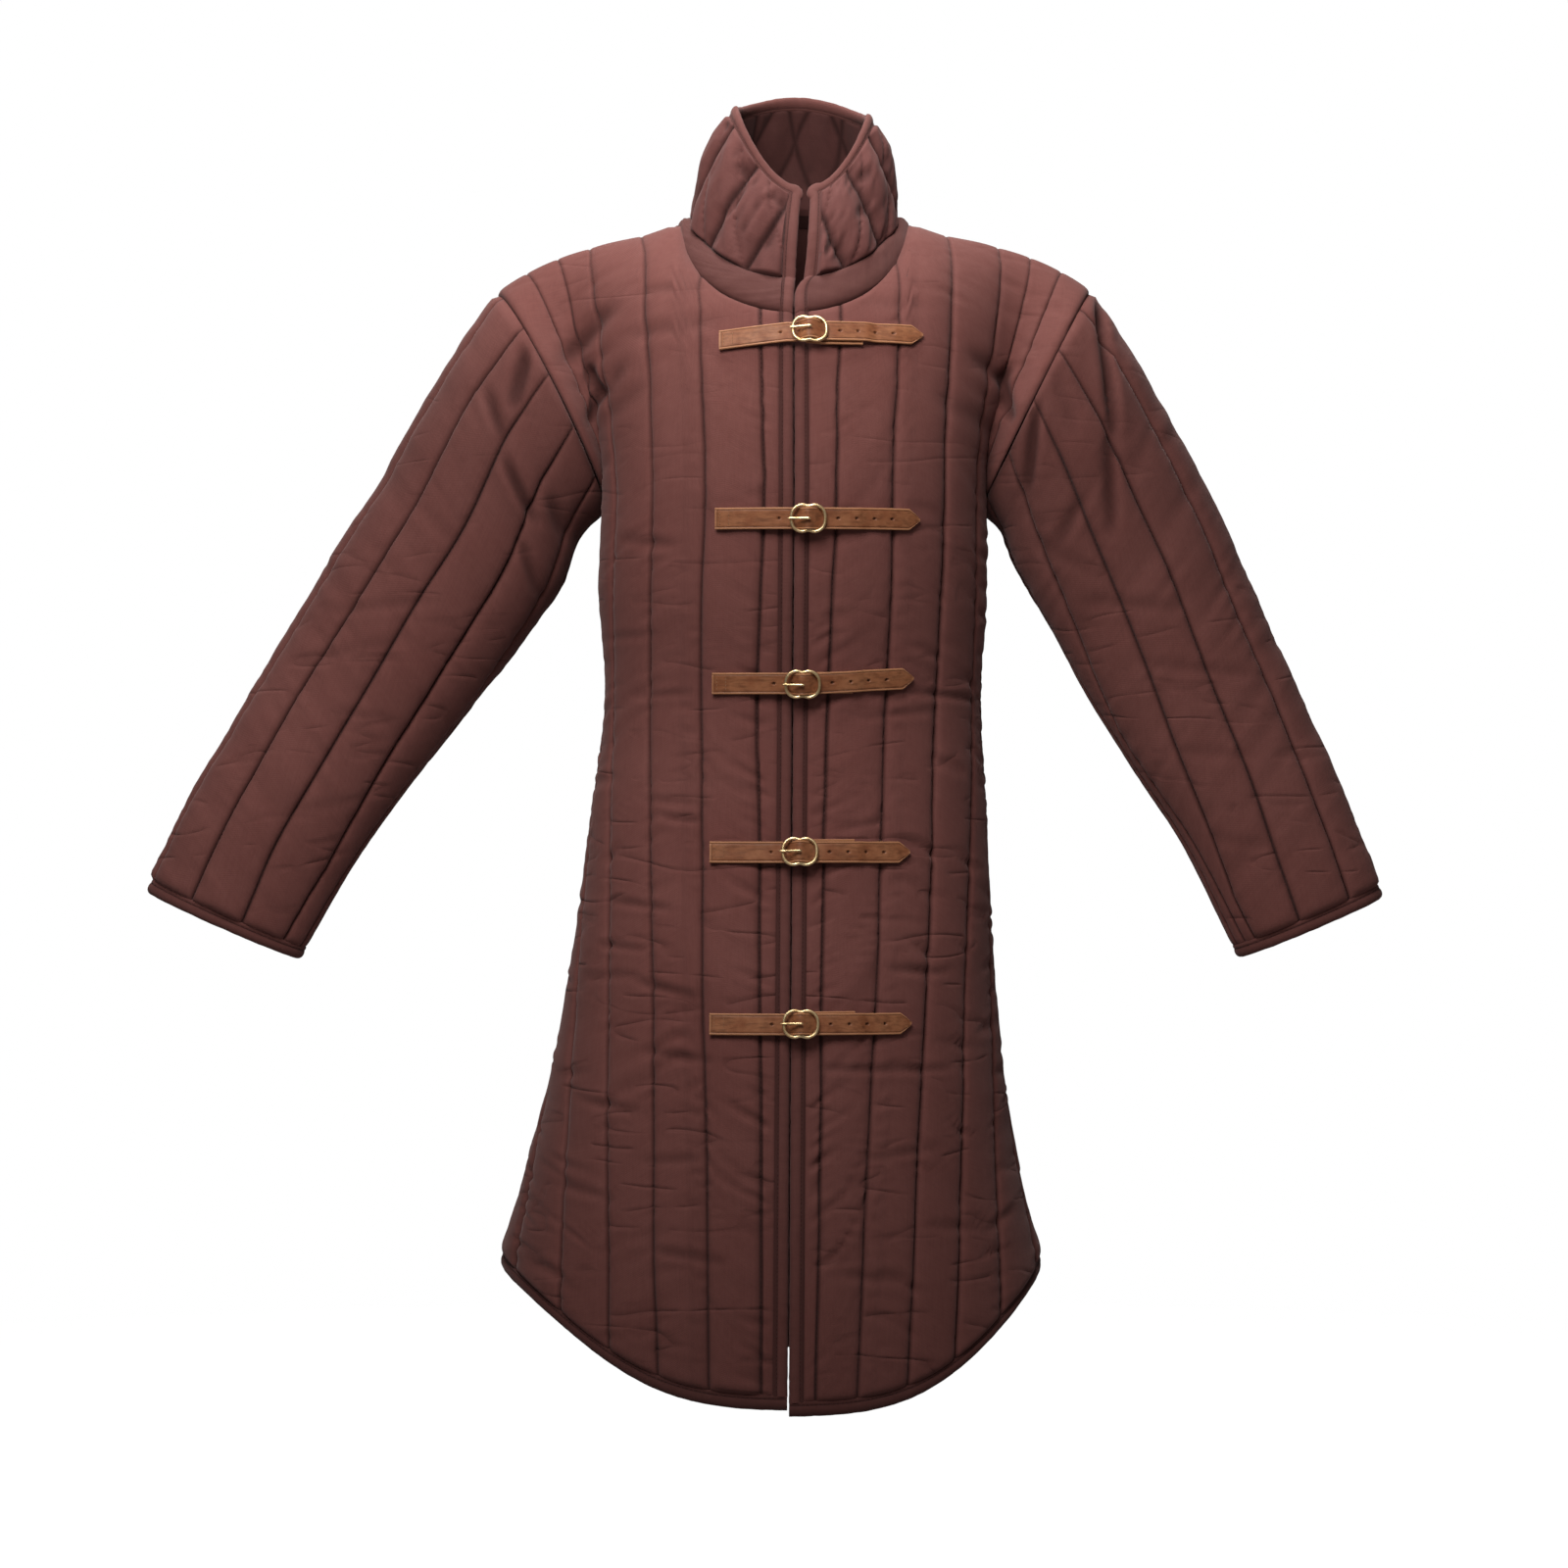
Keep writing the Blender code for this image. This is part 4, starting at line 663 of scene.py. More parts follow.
SLEEVES = {
    Side.RIGHT: SleeveCut(Side.RIGHT, (
        (0.2385, -0.1855, 0.0890, 52.0, 0.073), (0.2745, -0.2540, 0.0870, 38.0, 0.070),
        (0.3175, -0.3196, 0.0850, 33.0, 0.066), (0.3625, -0.3846, 0.0800, 32.0, 0.061),
        (0.4060, -0.4497, 0.0755, 32.0, 0.055), (0.4478, -0.5151, 0.0730, 30.0, 0.048),
        (0.4880, -0.5890, 0.0715, 24.0, 0.040)),
        tuple(0.025 + SLEEVE_PITCH * step for step in range(-5, 5))),
    Side.LEFT: SleeveCut(Side.LEFT, (
        (0.2390, -0.1850, 0.0890, 50.0, 0.073), (0.2680, -0.2410, 0.0860, 36.0, 0.070),
        (0.2967, -0.2945, 0.0840, 30.0, 0.066), (0.3290, -0.3613, 0.0815, 27.0, 0.061),
        (0.3640, -0.4263, 0.0765, 27.0, 0.055), (0.4004, -0.4917, 0.0710, 26.5, 0.048),
        (0.4455, -0.5905, 0.0670, 23.0, 0.040)),
        tuple(SLEEVE_PITCH * step for step in range(-5, 6))),
}


# ---- creases and quilting relief

@dataclass(frozen=True)
class Crease:
    """Soft trough from one point to another of the coat seen from the front, in metres."""

    x0: float
    z0: float
    x1: float
    z1: float
    depth: float
    width: float


def creases(*rows: tuple[float, ...]) -> tuple[Crease, ...]:
    """Creases from rows of millimetres."""
    return tuple(Crease(*(number / 1000.0 for number in row)) for row in rows)


# Both ends, depth and width, in millimetres.
BODY_CREASES = creases(
    # armpits, with the pull towards the shoulders
    (-174, -118, -160, -147, 6.8, 5.2), (-163, -139, -174, -166, 5.8, 5),
    (-140, -122, -158, -148, 3, 6), (-152, -72, -197, -116, 4, 8),
    (-120, -140, -170, -172, 1.6, 8), (187, -118, 180, -130, 4, 5.2),
    (180, -130, 190, -166, 6.2, 5.5), (150, -112, 180, -129, 3, 7.5),
    (120, -150, 176, -178, 1.6, 8),
    # across the chest
    (-135, -98, -60, -86, 1.6, 6), (-128, -60, -70, -55, 1.4, 5),
    (-138, -270, -96, -276, 1.6, 4.5), (60, -70, 112, -74, 1.2, 5),
    # waist
    (-128, -402, -86, -399, 1.5, 3.4), (-160, -352, -112, -349, 1, 3.7),
    (100, -398, 163, -405, 2.2, 3.2), (60, -420, 120, -414, 1.2, 3.7),
    (-104, -505, -77, -507, 2.2, 2.9), (-124, -489, -72, -493, 1, 3.4),
    # skirt, one side and then the other
    (-150, -575, -100, -581, 1.9, 3.4), (-160, -612, -121, -615, 1.5, 3),
    (-126, -642, -78, -654, 2.6, 3.6), (-172, -640, -126, -636, 1.4, 3.4),
    (-118, -700, -64, -706, 1.5, 3.7), (-176, -742, -128, -748, 1.9, 3.6),
    (-120, -790, -78, -786, 1.4, 3.6), (-196, -812, -150, -820, 1.7, 3.7),
    (-110, -862, -58, -870, 1.7, 4.1), (38, -514, 78, -507, 1.4, 3.2),
    (80, -630, 128, -635, 2.4, 3.4), (23, -712, 130, -715, 2.2, 3.2),
    (118, -690, 158, -700, 1.2, 3.6), (60, -786, 116, -780, 1.4, 3.7),
    (110, -842, 170, -850, 1.7, 3.7), (40, -880, 86, -887, 1.5, 4.1),
)
SLEEVE_CREASES = creases(
    # below the armhole's top, at the underarm and at the elbow, on each sleeve
    (-224, -104, -236, -155, 6.6, 6), (-258, -144, -245, -182, 4.2, 4.4),
    (-243, -202, -221, -252, 5.2, 4.6), (-232, -270, -221, -313, 3.4, 4.6),
    (-200, -262, -208, -230, 4, 6), (-300, -318, -395, -330, 1.2, 4.5),
    (-330, -352, -420, -372, 1, 4.5), (-345, -420, -385, -415, 1.1, 4.2),
    (-375, -487, -430, -500, 0.9, 4.5), (261, -57, 264, -100, 6.4, 3.6),
    (264, -100, 272, -180, 7, 4), (268, -186, 271, -262, 5, 5.2),
    (222, -128, 240, -180, 1.4, 5.5), (208, -150, 202, -226, 6.2, 4.8),
    (228, -272, 245, -235, 3, 5.5), (205, -265, 270, -300, 1.2, 5.5),
    (250, -318, 330, -326, 1.3, 5), (300, -372, 400, -384, 1.2, 4.5),
    (330, -446, 392, -452, 1, 4.5), (360, -520, 412, -530, 0.9, 4.5),
)


@dataclass
class Lay:
    """How a quilted piece's grid lies before it is padded; each field is [row, column]."""

    points: Array
    normals: Array
    run: Array               # distance across the channels, and down them
    length: Array
    edges: Array | None = None   # runs of the lines [row, line], seams included


@dataclass(frozen=True)
class Quilting:
    """Relief of cloth that is sewn through in channels."""

    puff: float = PUFF
    squareness: float = 3.3      # how flat the middle of a channel is
    steepness: float = 0.47      # how steeply it rises beside a line
    groove_depth: float = 0.0012
    groove_width: float = 0.00115
    pucker: float = 0.00050      # height of the gathers beside a line
    pucker_pitch: float = 0.0125
    pucker_reach: float = 0.012
    uneven: float = 0.15         # how much a channel's fullness changes along it
    swell_pitch: float = 0.075
    ripple_pitch: float = 0.031
    smooth_height: float = 0.62  # where the lines are drawn flat, as a share of the puff
    seed: int = 1

    def relief(self, lay: Lay, smooth: Array, strength: Array) -> tuple[Array, Array]:
        """Height of the outer skin and closeness to a stitch line.

        Args:
            lay: How the piece lies.
            smooth: How flat the channels are drawn [row, column], from 0 to 1.
            strength: How plainly each line shows [row, line], from 0 to 1.

        Returns:
            The height in metres, and the closeness, from 0 to 1 on a line.
        """
        height, near = np.zeros(lay.run.shape), np.zeros(lay.run.shape)
        for index in range(lay.edges.shape[1] - 1):
            low, high = lay.edges[:, index, None], lay.edges[:, index + 1, None]
            width = np.maximum(high - low, 1e-5)
            part = (lay.run - low) / width
            within = (part >= -1e-6) & (part <= 1.0 + 1e-6)
            part = np.clip(part, 0.0, 1.0)
            crown = (1.0 - np.abs(2.0 * part - 1.0) ** self.squareness) ** self.steepness
            size = np.minimum(width / FULL_CHANNEL, 1.0)
            seed = self.seed * 100 + index
            swell = 1.0 + self.uneven * (wave_noise(lay.length, self.swell_pitch, seed)
                                         + 0.7 * wave_noise(lay.length, self.ripple_pitch,
                                                            seed + 40))
            made = self.puff * size * crown * swell
            for end, line in ((low, index), (high, index + 1)):
                away = np.abs(lay.run - end)
                gather = wave_noise(lay.length + 0.02 * away, self.pucker_pitch,
                                    self.seed * 977 + line)
                reach = np.exp(-((away - 0.004) / self.pucker_reach) ** 2)
                made = made + self.pucker * size * gather * reach * soft_step(away, 0.003)
            height = np.where(within, made, height)
        height = height + smooth * (self.smooth_height * self.puff - height)
        for line, plain in zip(lay.edges.T, strength.T):
            away = np.abs(lay.run - line[:, None])
            near = np.maximum(near, plain[:, None] * np.exp(-(away / self.groove_width) ** 2))
        near = np.minimum(near, 1.0)
        return height - self.groove_depth * near, near


@dataclass(frozen=True)
class Strokes:
    """Small seeded creases that cross a channel, laid over a quilted piece."""

    count: int
    depth: float = 0.0017
    reach: float = 0.023
    width: float = 0.0028
    seed: int = 5

    def depths(self, lay: Lay, weight: Array) -> Array:
        """Depth of the strokes at each grid point; most start at a stitch line.

        Args:
            lay: How the piece lies.
            weight: How much the cloth creases at each point, from 0 to 1.

        Returns:
            Depths in metres; a stroke's flanks stand up a little.
        """
        dice = np.random.default_rng(self.seed)
        depth = np.zeros(lay.run.shape)
        for _ in range(self.count):
            line = lay.edges[:, dice.integers(1, lay.edges.shape[1] - 1), None]
            half = self.reach * dice.uniform(0.45, 1.25)
            middle = line + half * dice.choice([-0.9, 0.9]) * dice.uniform(0.2, 1.0)
            down = dice.uniform(lay.length.min(), lay.length.max())
            tilt = dice.normal(0.0, 0.15)
            size = dice.uniform(0.7, 1.7)
            wide = self.width * size
            deep = self.depth * size ** 0.7 * dice.uniform(0.35, 0.9)
            across = lay.run - middle
            offset = lay.length - down - tilt * across - 4.0 * across ** 2
            ends = np.exp(-(across / half) ** 4)
            trough = np.exp(-(offset / wide) ** 2)
            flank = 0.45 * np.exp(-((np.abs(offset) - 1.9 * wide) / wide) ** 2)
            depth += deep * ends * (trough - flank)
        return depth * weight

    def laid(self, lay: Lay, near: Array, placed: Array, weight: Array) -> tuple[Array, Array]:
        """Depth of placed and small creases together, and the closeness to a dark place, with
        painted shade at the bottom of each placed crease.
        """
        # painted shade at the bottom of each placed crease
        near = np.maximum(near, np.clip(placed / FOLD_DARK, 0.0, 0.75))
        return placed + self.depths(lay, weight), near


def crease_depth(lay: Lay, creased: tuple[Crease, ...]) -> Array:
    """Depth of the listed creases; those on the back mirror those on the front.

    Args:
        lay: How the piece lies.
        creased: The creases.

    Returns:
        Depth at each point, in metres; the flanks of a crease stand up a little.
    """
    depth = np.zeros(lay.run.shape)
    flat = lay.points[..., [0, 2]]
    facing = np.clip(2.0 * np.abs(lay.normals[..., 1]), 0.0, 1.0)
    for crease in creased:
        start = np.array([crease.x0, crease.z0])
        line = np.array([crease.x1, crease.z1]) - start
        along = (flat - start) @ line / line.dot(line)
        held = np.clip(along, 0.0, 1.0)
        away = np.linalg.norm(flat - start - held[..., None] * line, axis=-1)
        ends = 0.30 + 0.70 * np.sin(math.pi * held) ** 0.5
        trough = np.exp(-(away / crease.width) ** 2)
        flank = 0.24 * np.exp(-((away - 2.0 * crease.width) / crease.width) ** 2)
        inside = (along > 0.0) & (along < 1.0)
        depth += crease.depth * ends * (trough - np.where(inside, flank, 0.0))
    return depth * facing


# ---- meshes

@dataclass
class Skin:
    """A wall's two skins on one grid, with what its finish reads."""

    outer: Array
    inner: Array
    lay: Lay
    near: Array


def round_base(base: Array, height: Array, lay: Lay, near: Array) -> Skin:
    """Wall on a base surface, from the height of its padding, which ends at nothing."""
    height[0] = height[-1] = 0.0
    return Skin(base + lay.normals * height[..., None], base - lay.normals * WALL, lay, near)


def rolled(away: Array, roll: float) -> Array:
    """Share of the padding's height beside an edge, where the cloth rolls down to it."""
    return (1.0 - (1.0 - np.clip(away / roll, 0.0, 1.0)) ** 2.2) ** 0.5


def grid_mesh(name: str, layers: list[Array], marks: dict[str, Array],
              chart: Array) -> Mesh:
    """Closed body over grids of points [row, column].

    Args:
        name: Name of the mesh.
        layers: One grid for a tube, or a wall's outer and inner one.
        marks: Values at each point of the layers, by attribute name.
        chart: Place of each grid point on the flat cloth, in metres.

    Returns:
        The mesh, its ends closed, mapped in metres.
    """
    sheet = bmesh.new()
    rows, columns = chart.shape[:2]
    tag = sheet.verts.layers.int.new("tag")
    bmesh.ops.create_grid(sheet, x_segments=columns - 1, y_segments=rows - 1, size=1.0)
    for number, vert in enumerate(sheet.verts):
        vert[tag] = number
    if len(layers) > 1:
        bmesh.ops.extrude_face_region(sheet, geom=sheet.faces[:])
    data = bpy.data.meshes.new(name)
    sheet.to_mesh(data)
    sheet.free()
    count = rows * columns
    tags = np.zeros(len(layers) * count, dtype=np.int32)
    data.attributes["tag"].data.foreach_get("value", tags)
    data.attributes.remove(data.attributes["tag"])
    tags[count:] += count
    places = np.concatenate([layer.reshape(-1, 3) for layer in layers])[tags]
    data.vertices.foreach_set("co", places.ravel())
    for key, values in marks.items():
        mark = data.attributes.new(key, "FLOAT", "POINT")
        mark.data.foreach_set("value", values.ravel()[tags].astype(np.float32))
    corners = np.zeros(len(data.loops), dtype=np.int32)
    data.loops.foreach_get("vertex_index", corners)
    flat = chart.reshape(-1, 2)[tags[corners] % count].astype(np.float32)
    data.uv_layers.new(name="cloth").data.foreach_set("uv", flat.ravel())
    body = bmesh.new()
    body.from_mesh(data)
    bmesh.ops.remove_doubles(body, verts=body.verts[:], dist=DOUBLES)
    ends = [edge for edge in body.edges if edge.is_boundary]
    if ends:
        bmesh.ops.holes_fill(body, edges=ends)
    bmesh.ops.recalc_face_normals(body, faces=body.faces[:])
    body.to_mesh(data)
    body.free()
    return data


def wall_mesh(name: str, skin: Skin) -> Mesh:
    """Closed wall between a piece's two skins, with its closeness to a line and its painted crease
    shade in `near`, and its inner skin marked in `inside` for painted shade.
    """
    near = skin.near.ravel()
    return grid_mesh(name, [skin.outer, skin.inner],
                     {"near": np.concatenate([near, INNER_LINES * near]),
                      "inside": np.repeat([0.0, 1.0], near.size)},
                     np.stack([skin.lay.run, skin.lay.length], axis=-1))


def tube_mesh(name: str, places: Array, marks: dict[str, Array] | None = None,
              closing: Closing = Closing.COLUMNS) -> Mesh:
    """Closed body through rings of points [ring, point], whose last point repeats its first.

    Args:
        name: Name of the mesh.
        places: The rings.
        marks: Values at each point, by attribute name.
        closing: BOTH joins the last ring to the first.

    Returns:
        The mesh, mapped in metres.
    """
    marks = marks or {}
    if closing is Closing.BOTH:
        places = np.concatenate([places, places[:1]])
        marks = {key: np.concatenate([mark, mark[:1]]) for key, mark in marks.items()}
    return grid_mesh(name, [places], marks,
                     np.stack([runs(places, 1), runs(places, 0)], axis=-1))


# ---- dressing

def placed(name: str, data: bpy.types.ID) -> bpy.types.Object:
    """New object in the scene, at the origin."""
    item = bpy.data.objects.new(name, data)
    bpy.context.scene.collection.objects.link(item)
    return item


@dataclass
class Dresser:
    """Turns meshes into pieces that ride on the model, and counts them."""

    finishes: dict[str, Material] = field(default_factory=dict)
    count: int = 0

    def piece(self, data: Mesh, finish: Finish | Brass, slot: str,
              *nodes: str) -> bpy.types.Object:
        """Piece of a mesh, smooth, with its finish and the nodes that it stands for.

        Args:
            data: The mesh, whose name the piece takes.
            finish: Its finish.
            slot: Name of a material slot; not used.
            nodes: CAD nodes that it replaces.

        Returns:
            The new object.
        """
        item = placed(data.name, data)
        data.materials.append(self.finishes[finish.name])
        data.shade_smooth()
        data.set_sharp_from_angle(angle=SHARP)
        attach(item, ROOT)
        if nodes:
            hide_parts(*nodes)
        self.count += 1
        data.calc_loop_triangles()
        LOG.info("%s: %d triangles", item.name, len(data.loop_triangles))
        return item


# ---- quilted panels

def sub_columns(channels: int, parts: int) -> Array:
    """Places across a piece, in channels, closer together beside each line."""
    part = 0.5 - 0.5 * np.cos(math.pi * np.arange(parts) / parts)
    part = 0.65 * part + 0.35 * np.arange(parts) / parts
    return np.append((np.arange(channels)[:, None] + part).ravel(), float(channels))


@dataclass
class Panel:
    """A front, or the back: one or two sides of the body cut."""

    face: Face
    sides: tuple[Side, ...]
    parts: int = 10
    rows_below: int = 292
    rows_above: int = 84
    roll: float = 0.009          # width of the turned edge beside a seam
    calm: float = 0.014          # distance from a seam over which creases fade out
    strokes: int = 220
    smooth_shoulder: float = 0.150
    wobble: float = 0.0011       # how far the lines wander
    drift: float = 0.0048        # how far they are drawn to the left at the chest
    first_line: float = 2.4      # how much plainer the line beside the opening is
    pulled: float = 0.0085       # how far the left side's lines are pulled in at the hem
    gathered: float = 0.150      # how far they are drawn in at the hem, as a share
    drift_from: float = 0.72     # rises from which they drift, and below which they are drawn in
    gathered_below: float = 0.9
    pulled_below: float = 0.5
    flat_top: float = 0.88       # how flat the channels are drawn at the shoulder, and elsewhere
    flat_rest: float = 0.30
    quilting: Quilting = Quilting()

    def rises(self) -> Array:
        """Rises of the grid's rows, with one at the top of the vent."""
        below = np.linspace(0.0, 1.0, self.rows_below + 1)
        below[np.argmin(np.abs(below - BODY.vent_rise))] = BODY.vent_rise
        above = 1.0 + np.linspace(0.0, 1.0, self.rows_above + 1)[1:]
        return np.concatenate([below, above])

    def columns(self, side: Side, places: Array) -> Array:
        """Columns of one side's grid points [row, column], with the lines as they hang."""
        column, rise = np.meshgrid(places, self.rises())
        free = soft_step(column, 1.0) * soft_step(BODY.channels - column, 2.2)
        at_top = soft_step(2.0 - rise, 0.35)
        seed = self.quilting.seed + 11
        wander = self.wobble * at_top * soft_step(rise, 0.12) * (
            wave_noise(rise + 0.31 * column, 0.30, seed)
            + 0.5 * wave_noise(rise + 0.7 * column, 0.11, seed + 1))
        if self.face is Face.FRONT:
            collar_free = np.maximum(at_top, 1.0 - soft_step(column - 2.0, 1.0 / 3.0))
            wander = wander + (side.value * self.drift * collar_free
                               * soft_step(rise - self.drift_from, 0.30))
        wander = wander - self.gathered * CHANNEL * column * np.clip(
            1.0 - rise / self.gathered_below, 0.0, 1.0)
        if side is Side.LEFT:
            wander = wander - self.pulled * soft_step(column - 1.0, 1.0) * np.clip(
                1.0 - rise / self.pulled_below, 0.0, 1.0)
        return BODY.moved_column(self.face, column, free * wander)

    def grid(self, places: Array) -> Array:
        """Surface points of the whole panel; the back runs from right to left."""
        if self.face is Face.BACK:
            return np.concatenate([self.half_grid(Side.RIGHT, places)[:, :0:-1],
                                   self.half_grid(Side.LEFT, places)], axis=1)
        return self.half_grid(self.sides[0], places)

    def half_grid(self, side: Side, places: Array) -> Array:
        """Surface points of one side [row, column]."""
        column = self.columns(side, places)
        return BODY.point(side, self.face, column, np.broadcast_to(self.rises()[:, None],
                                                                   column.shape))

    def sewn_rims(self, points: Array, normals: Array, side: Side, picked: Array,
                  places: Array) -> None:
        """Bring one side's edges to their seams, and turn their rims.

        Args:
            points: The panel's points, changed in place.
            normals: Its normals, changed in place.
            side: Which side of the panel.
            picked: Grid columns of that side, from the centre out.
            places: Their places in channels.
        """
        rises = self.rises()
        face = self.face.value
        seam, under = picked[-1], int(np.argmin(np.abs(rises - 1.0)))
        vent = int(np.argmax(rises >= BODY.vent_rise - 1e-9))
        turn = -face * math.pi * (rises[under:] - 1.0)
        outward = BODY.armhole_frame(side)[4]
        points[vent:under, seam, 1] = face * 0.5 * SEWN_GAP
        normals[vent:under, seam, 1] = 0.0
        normals[under:, seam] = BODY.armhole_radial(side, turn)
        points[under:, seam] -= outward * 0.5 * SEAM_GAP
        places = self.columns(side, places)[-1]
        plain = places <= BODY.last_plain
        reach = np.where(plain, BODY.top_reach(self.face, np.minimum(places, BODY.last_plain)),
                         1.0)
        neck = reach <= BODY.neck_half_width + 1e-6
        through, up = NECKLINE.rim(BODY.neck_angle(side, self.face,
                                                   reach[neck] / BODY.neck_half_width))
        normals[-1, picked[neck]] = through
        points[-1, picked[neck]] -= up * 0.5 * SEAM_GAP
        normals[-1, picked[~neck], 1] = 0.0
        points[-1, picked[~neck], 1] = face * 0.5 * SEAM_GAP
        points[under, seam, 1] = face * 0.5 * SEAM_GAP
        normals[:, seam] = unit(normals[:, seam])
        normals[-1] = unit(normals[-1])

    def skin(self) -> Skin:
        """Both skins of the panel, quilted and creased."""
        places = sub_columns(BODY.channels, self.parts)
        points = self.grid(places)
        sign = -1.0 if self.face is Face.BACK else float(self.sides[0].value)
        normals = grid_normals(points, sign)
        run, length = runs(points, 1), runs(points[::-1], 0)[::-1]
        if self.face is Face.BACK:
            run = run - run[:, [run.shape[1] // 2]]
        edges = run[:, ::self.parts]
        lay = Lay(points, normals, run, length, edges)
        smooth = self.flat_top - (self.flat_top - self.flat_rest) * soft_step(
            length, self.smooth_shoulder)
        strength = 1.0 - 0.45 * smooth[:, ::self.parts]
        outermost = np.arange(edges.shape[1]) % (len(self.sides) * BODY.channels - 2) == (
            1 if self.face is Face.BACK else BODY.channels - 1)
        strength = strength * (1.0 - 0.8 * outermost * soft_step(self.rises() - 1.0, 0.5)[:, None])
        if self.face is Face.FRONT:
            strength[:, 1] *= self.first_line if self.sides[0] is Side.LEFT else (
                1.8 * self.first_line)
        height, near = self.quilting.relief(lay, smooth, strength)
        away = np.minimum(edge_distance(points, 1), edge_distance(points, 0))
        height = self.pressed(points, height * rolled(away, self.roll))
        calm = soft_step(away, self.calm)
        low = np.clip((-points[..., 2] - 0.12) / 0.42, 0.0, 1.0)
        deep, near = Strokes(self.strokes, seed=self.quilting.seed + 60).laid(
            lay, near, crease_depth(lay, BODY_CREASES) * calm, calm * (0.35 + 0.65 * low))
        base = points - normals * (SUNK * deep)[..., None]
        picked = np.arange(len(places))
        halves = ((self.sides[0], picked),)
        if self.face is Face.BACK:
            halves = ((Side.RIGHT, picked[::-1]), (Side.LEFT, picked + picked[-1]))
        for side, picked in halves:
            self.sewn_rims(base, normals, side, picked, places)
        return round_base(base, height - (1.0 - SUNK) * deep, lay, near)

    def pressed(self, points: Array, height: Array) -> Array:
        """The padding's height, held down where a strap lies on it."""
        if self.face is Face.BACK:
            return height
        free = np.full(height.shape, 1.0)
        x, z = points[..., 0], points[..., 2]
        for closure in CLOSURES:
            past = np.maximum(np.maximum(closure.left - x, x - closure.right), 0.0)
            away = np.hypot(past, np.maximum(np.abs(z - closure.z) - 0.010, 0.0))
            free = np.minimum(free, soft_step(away, 0.007))
        return np.where(free < 1.0, np.minimum(height, PUFF * (0.96 + 0.4 * free)), height)


@dataclass
class Sleeve:
    """A sleeve: a tube from its armhole to its cuff, sewn through down its length."""

    cut: SleeveCut
    parts: int = 12
    rows: int = 150
    roll: float = 0.010
    calm: float = 0.016
    seam_calm: float = 0.012
    underarm_ease: float = 0.0022    # it stands this much clearer of the body there
    strokes: int = 90
    wobble: float = 0.030
    turned_out: float = 0.0      # how far the lines shift round to the outside at the cuff
    flat_top: float = 0.7        # how flat the channels are drawn at the armhole
    smooth_shoulder: float = 0.07
    elbow: float = 0.24          # distance down to the elbow's creases, and their reach
    elbow_reach: float = 0.12
    quilting: Quilting = Quilting()

    def skin(self) -> Skin:
        """Both skins of the sleeve, quilted and creased."""
        places = sub_columns(self.cut.channels, self.parts)
        column, down = np.meshgrid(places, np.linspace(0.0, 1.0, self.rows + 1))
        free = soft_step(column, 1.0) * soft_step(self.cut.channels - column, 1.0)
        free = free * soft_step(down, 0.15) * soft_step(1.0 - down, 0.15)
        wander = self.wobble * wave_noise(down + 0.23 * column, 0.32, self.quilting.seed + 11)
        shift = soft_step(column, 2.0) * soft_step(self.cut.channels - column, 2.0) * (
            self.turned_out * soft_step(down - 0.25, 0.75))
        points = self.cut.point(column + free * wander - shift, down)
        side = self.cut.side
        normals = grid_normals(points, float(side.value), Closing.COLUMNS)
        run, length = runs(points, 1), runs(points, 0)
        smooth = self.flat_top * (1.0 - soft_step(length, self.smooth_shoulder))
        lay = Lay(points, normals, run, length, run[:, ::self.parts])
        height, near = self.quilting.relief(lay, smooth, 1.0 - 0.2 * smooth[:, ::self.parts])
        away = edge_distance(points, 0)
        height = height * rolled(away, self.roll)
        calm = soft_step(away, self.calm) * soft_step(edge_distance(points, 1), self.seam_calm)
        elbow = np.exp(-((length - self.elbow) / self.elbow_reach) ** 2)
        strokes = Strokes(self.strokes, 0.0008, width=0.0034, seed=self.quilting.seed + 60)
        deep, near = strokes.laid(lay, near, crease_depth(lay, SLEEVE_CREASES) * calm,
                                  calm * (0.30 + 0.70 * elbow))
        base = points - normals * (SUNK * deep)[..., None]
        middle, axis, half_length, forward, outward = BODY.armhole_frame(side)
        spokes = base[0] - middle
        normals[0] = unit((spokes @ axis / half_length ** 2)[:, None] * axis
                          + (spokes @ forward / BODY.armhole_depth ** 2)[:, None] * forward)
        low = 0.5 - 0.5 * spokes @ axis / half_length
        # painted shade along the lower half of the armhole seam, where the sleeve meets the body
        near = np.maximum(near, 0.95 * soft_step(low - 0.45, 0.45)
                          * np.exp(-(length / 0.0075) ** 2))
        base[0] += (0.5 * SEAM_GAP + self.underarm_ease * low ** 2)[:, None] * outward
        return round_base(base, height - (1.0 - SUNK) * deep, lay, near)


# ---- neck pieces

def grid_shares(rows: int, columns: int) -> list[Array]:
    """Shares along and up a grid, each [row, column]."""
    return np.meshgrid(np.linspace(0.0, 1.0, columns + 1), np.linspace(0.0, 1.0, rows + 1))


def mixed(low: Array, high: Array, share: Array) -> Array:
    """Points between two points, at a share."""
    return low * (1.0 - share[..., None]) + high * share[..., None]


def between_rings(low: NeckRing, high: NeckRing, share: Array, rise: Array) -> Array:
    """Angles round the neck on a piece between two rings."""
    return low.angles(share) * (1.0 - rise) + high.angles(share) * rise


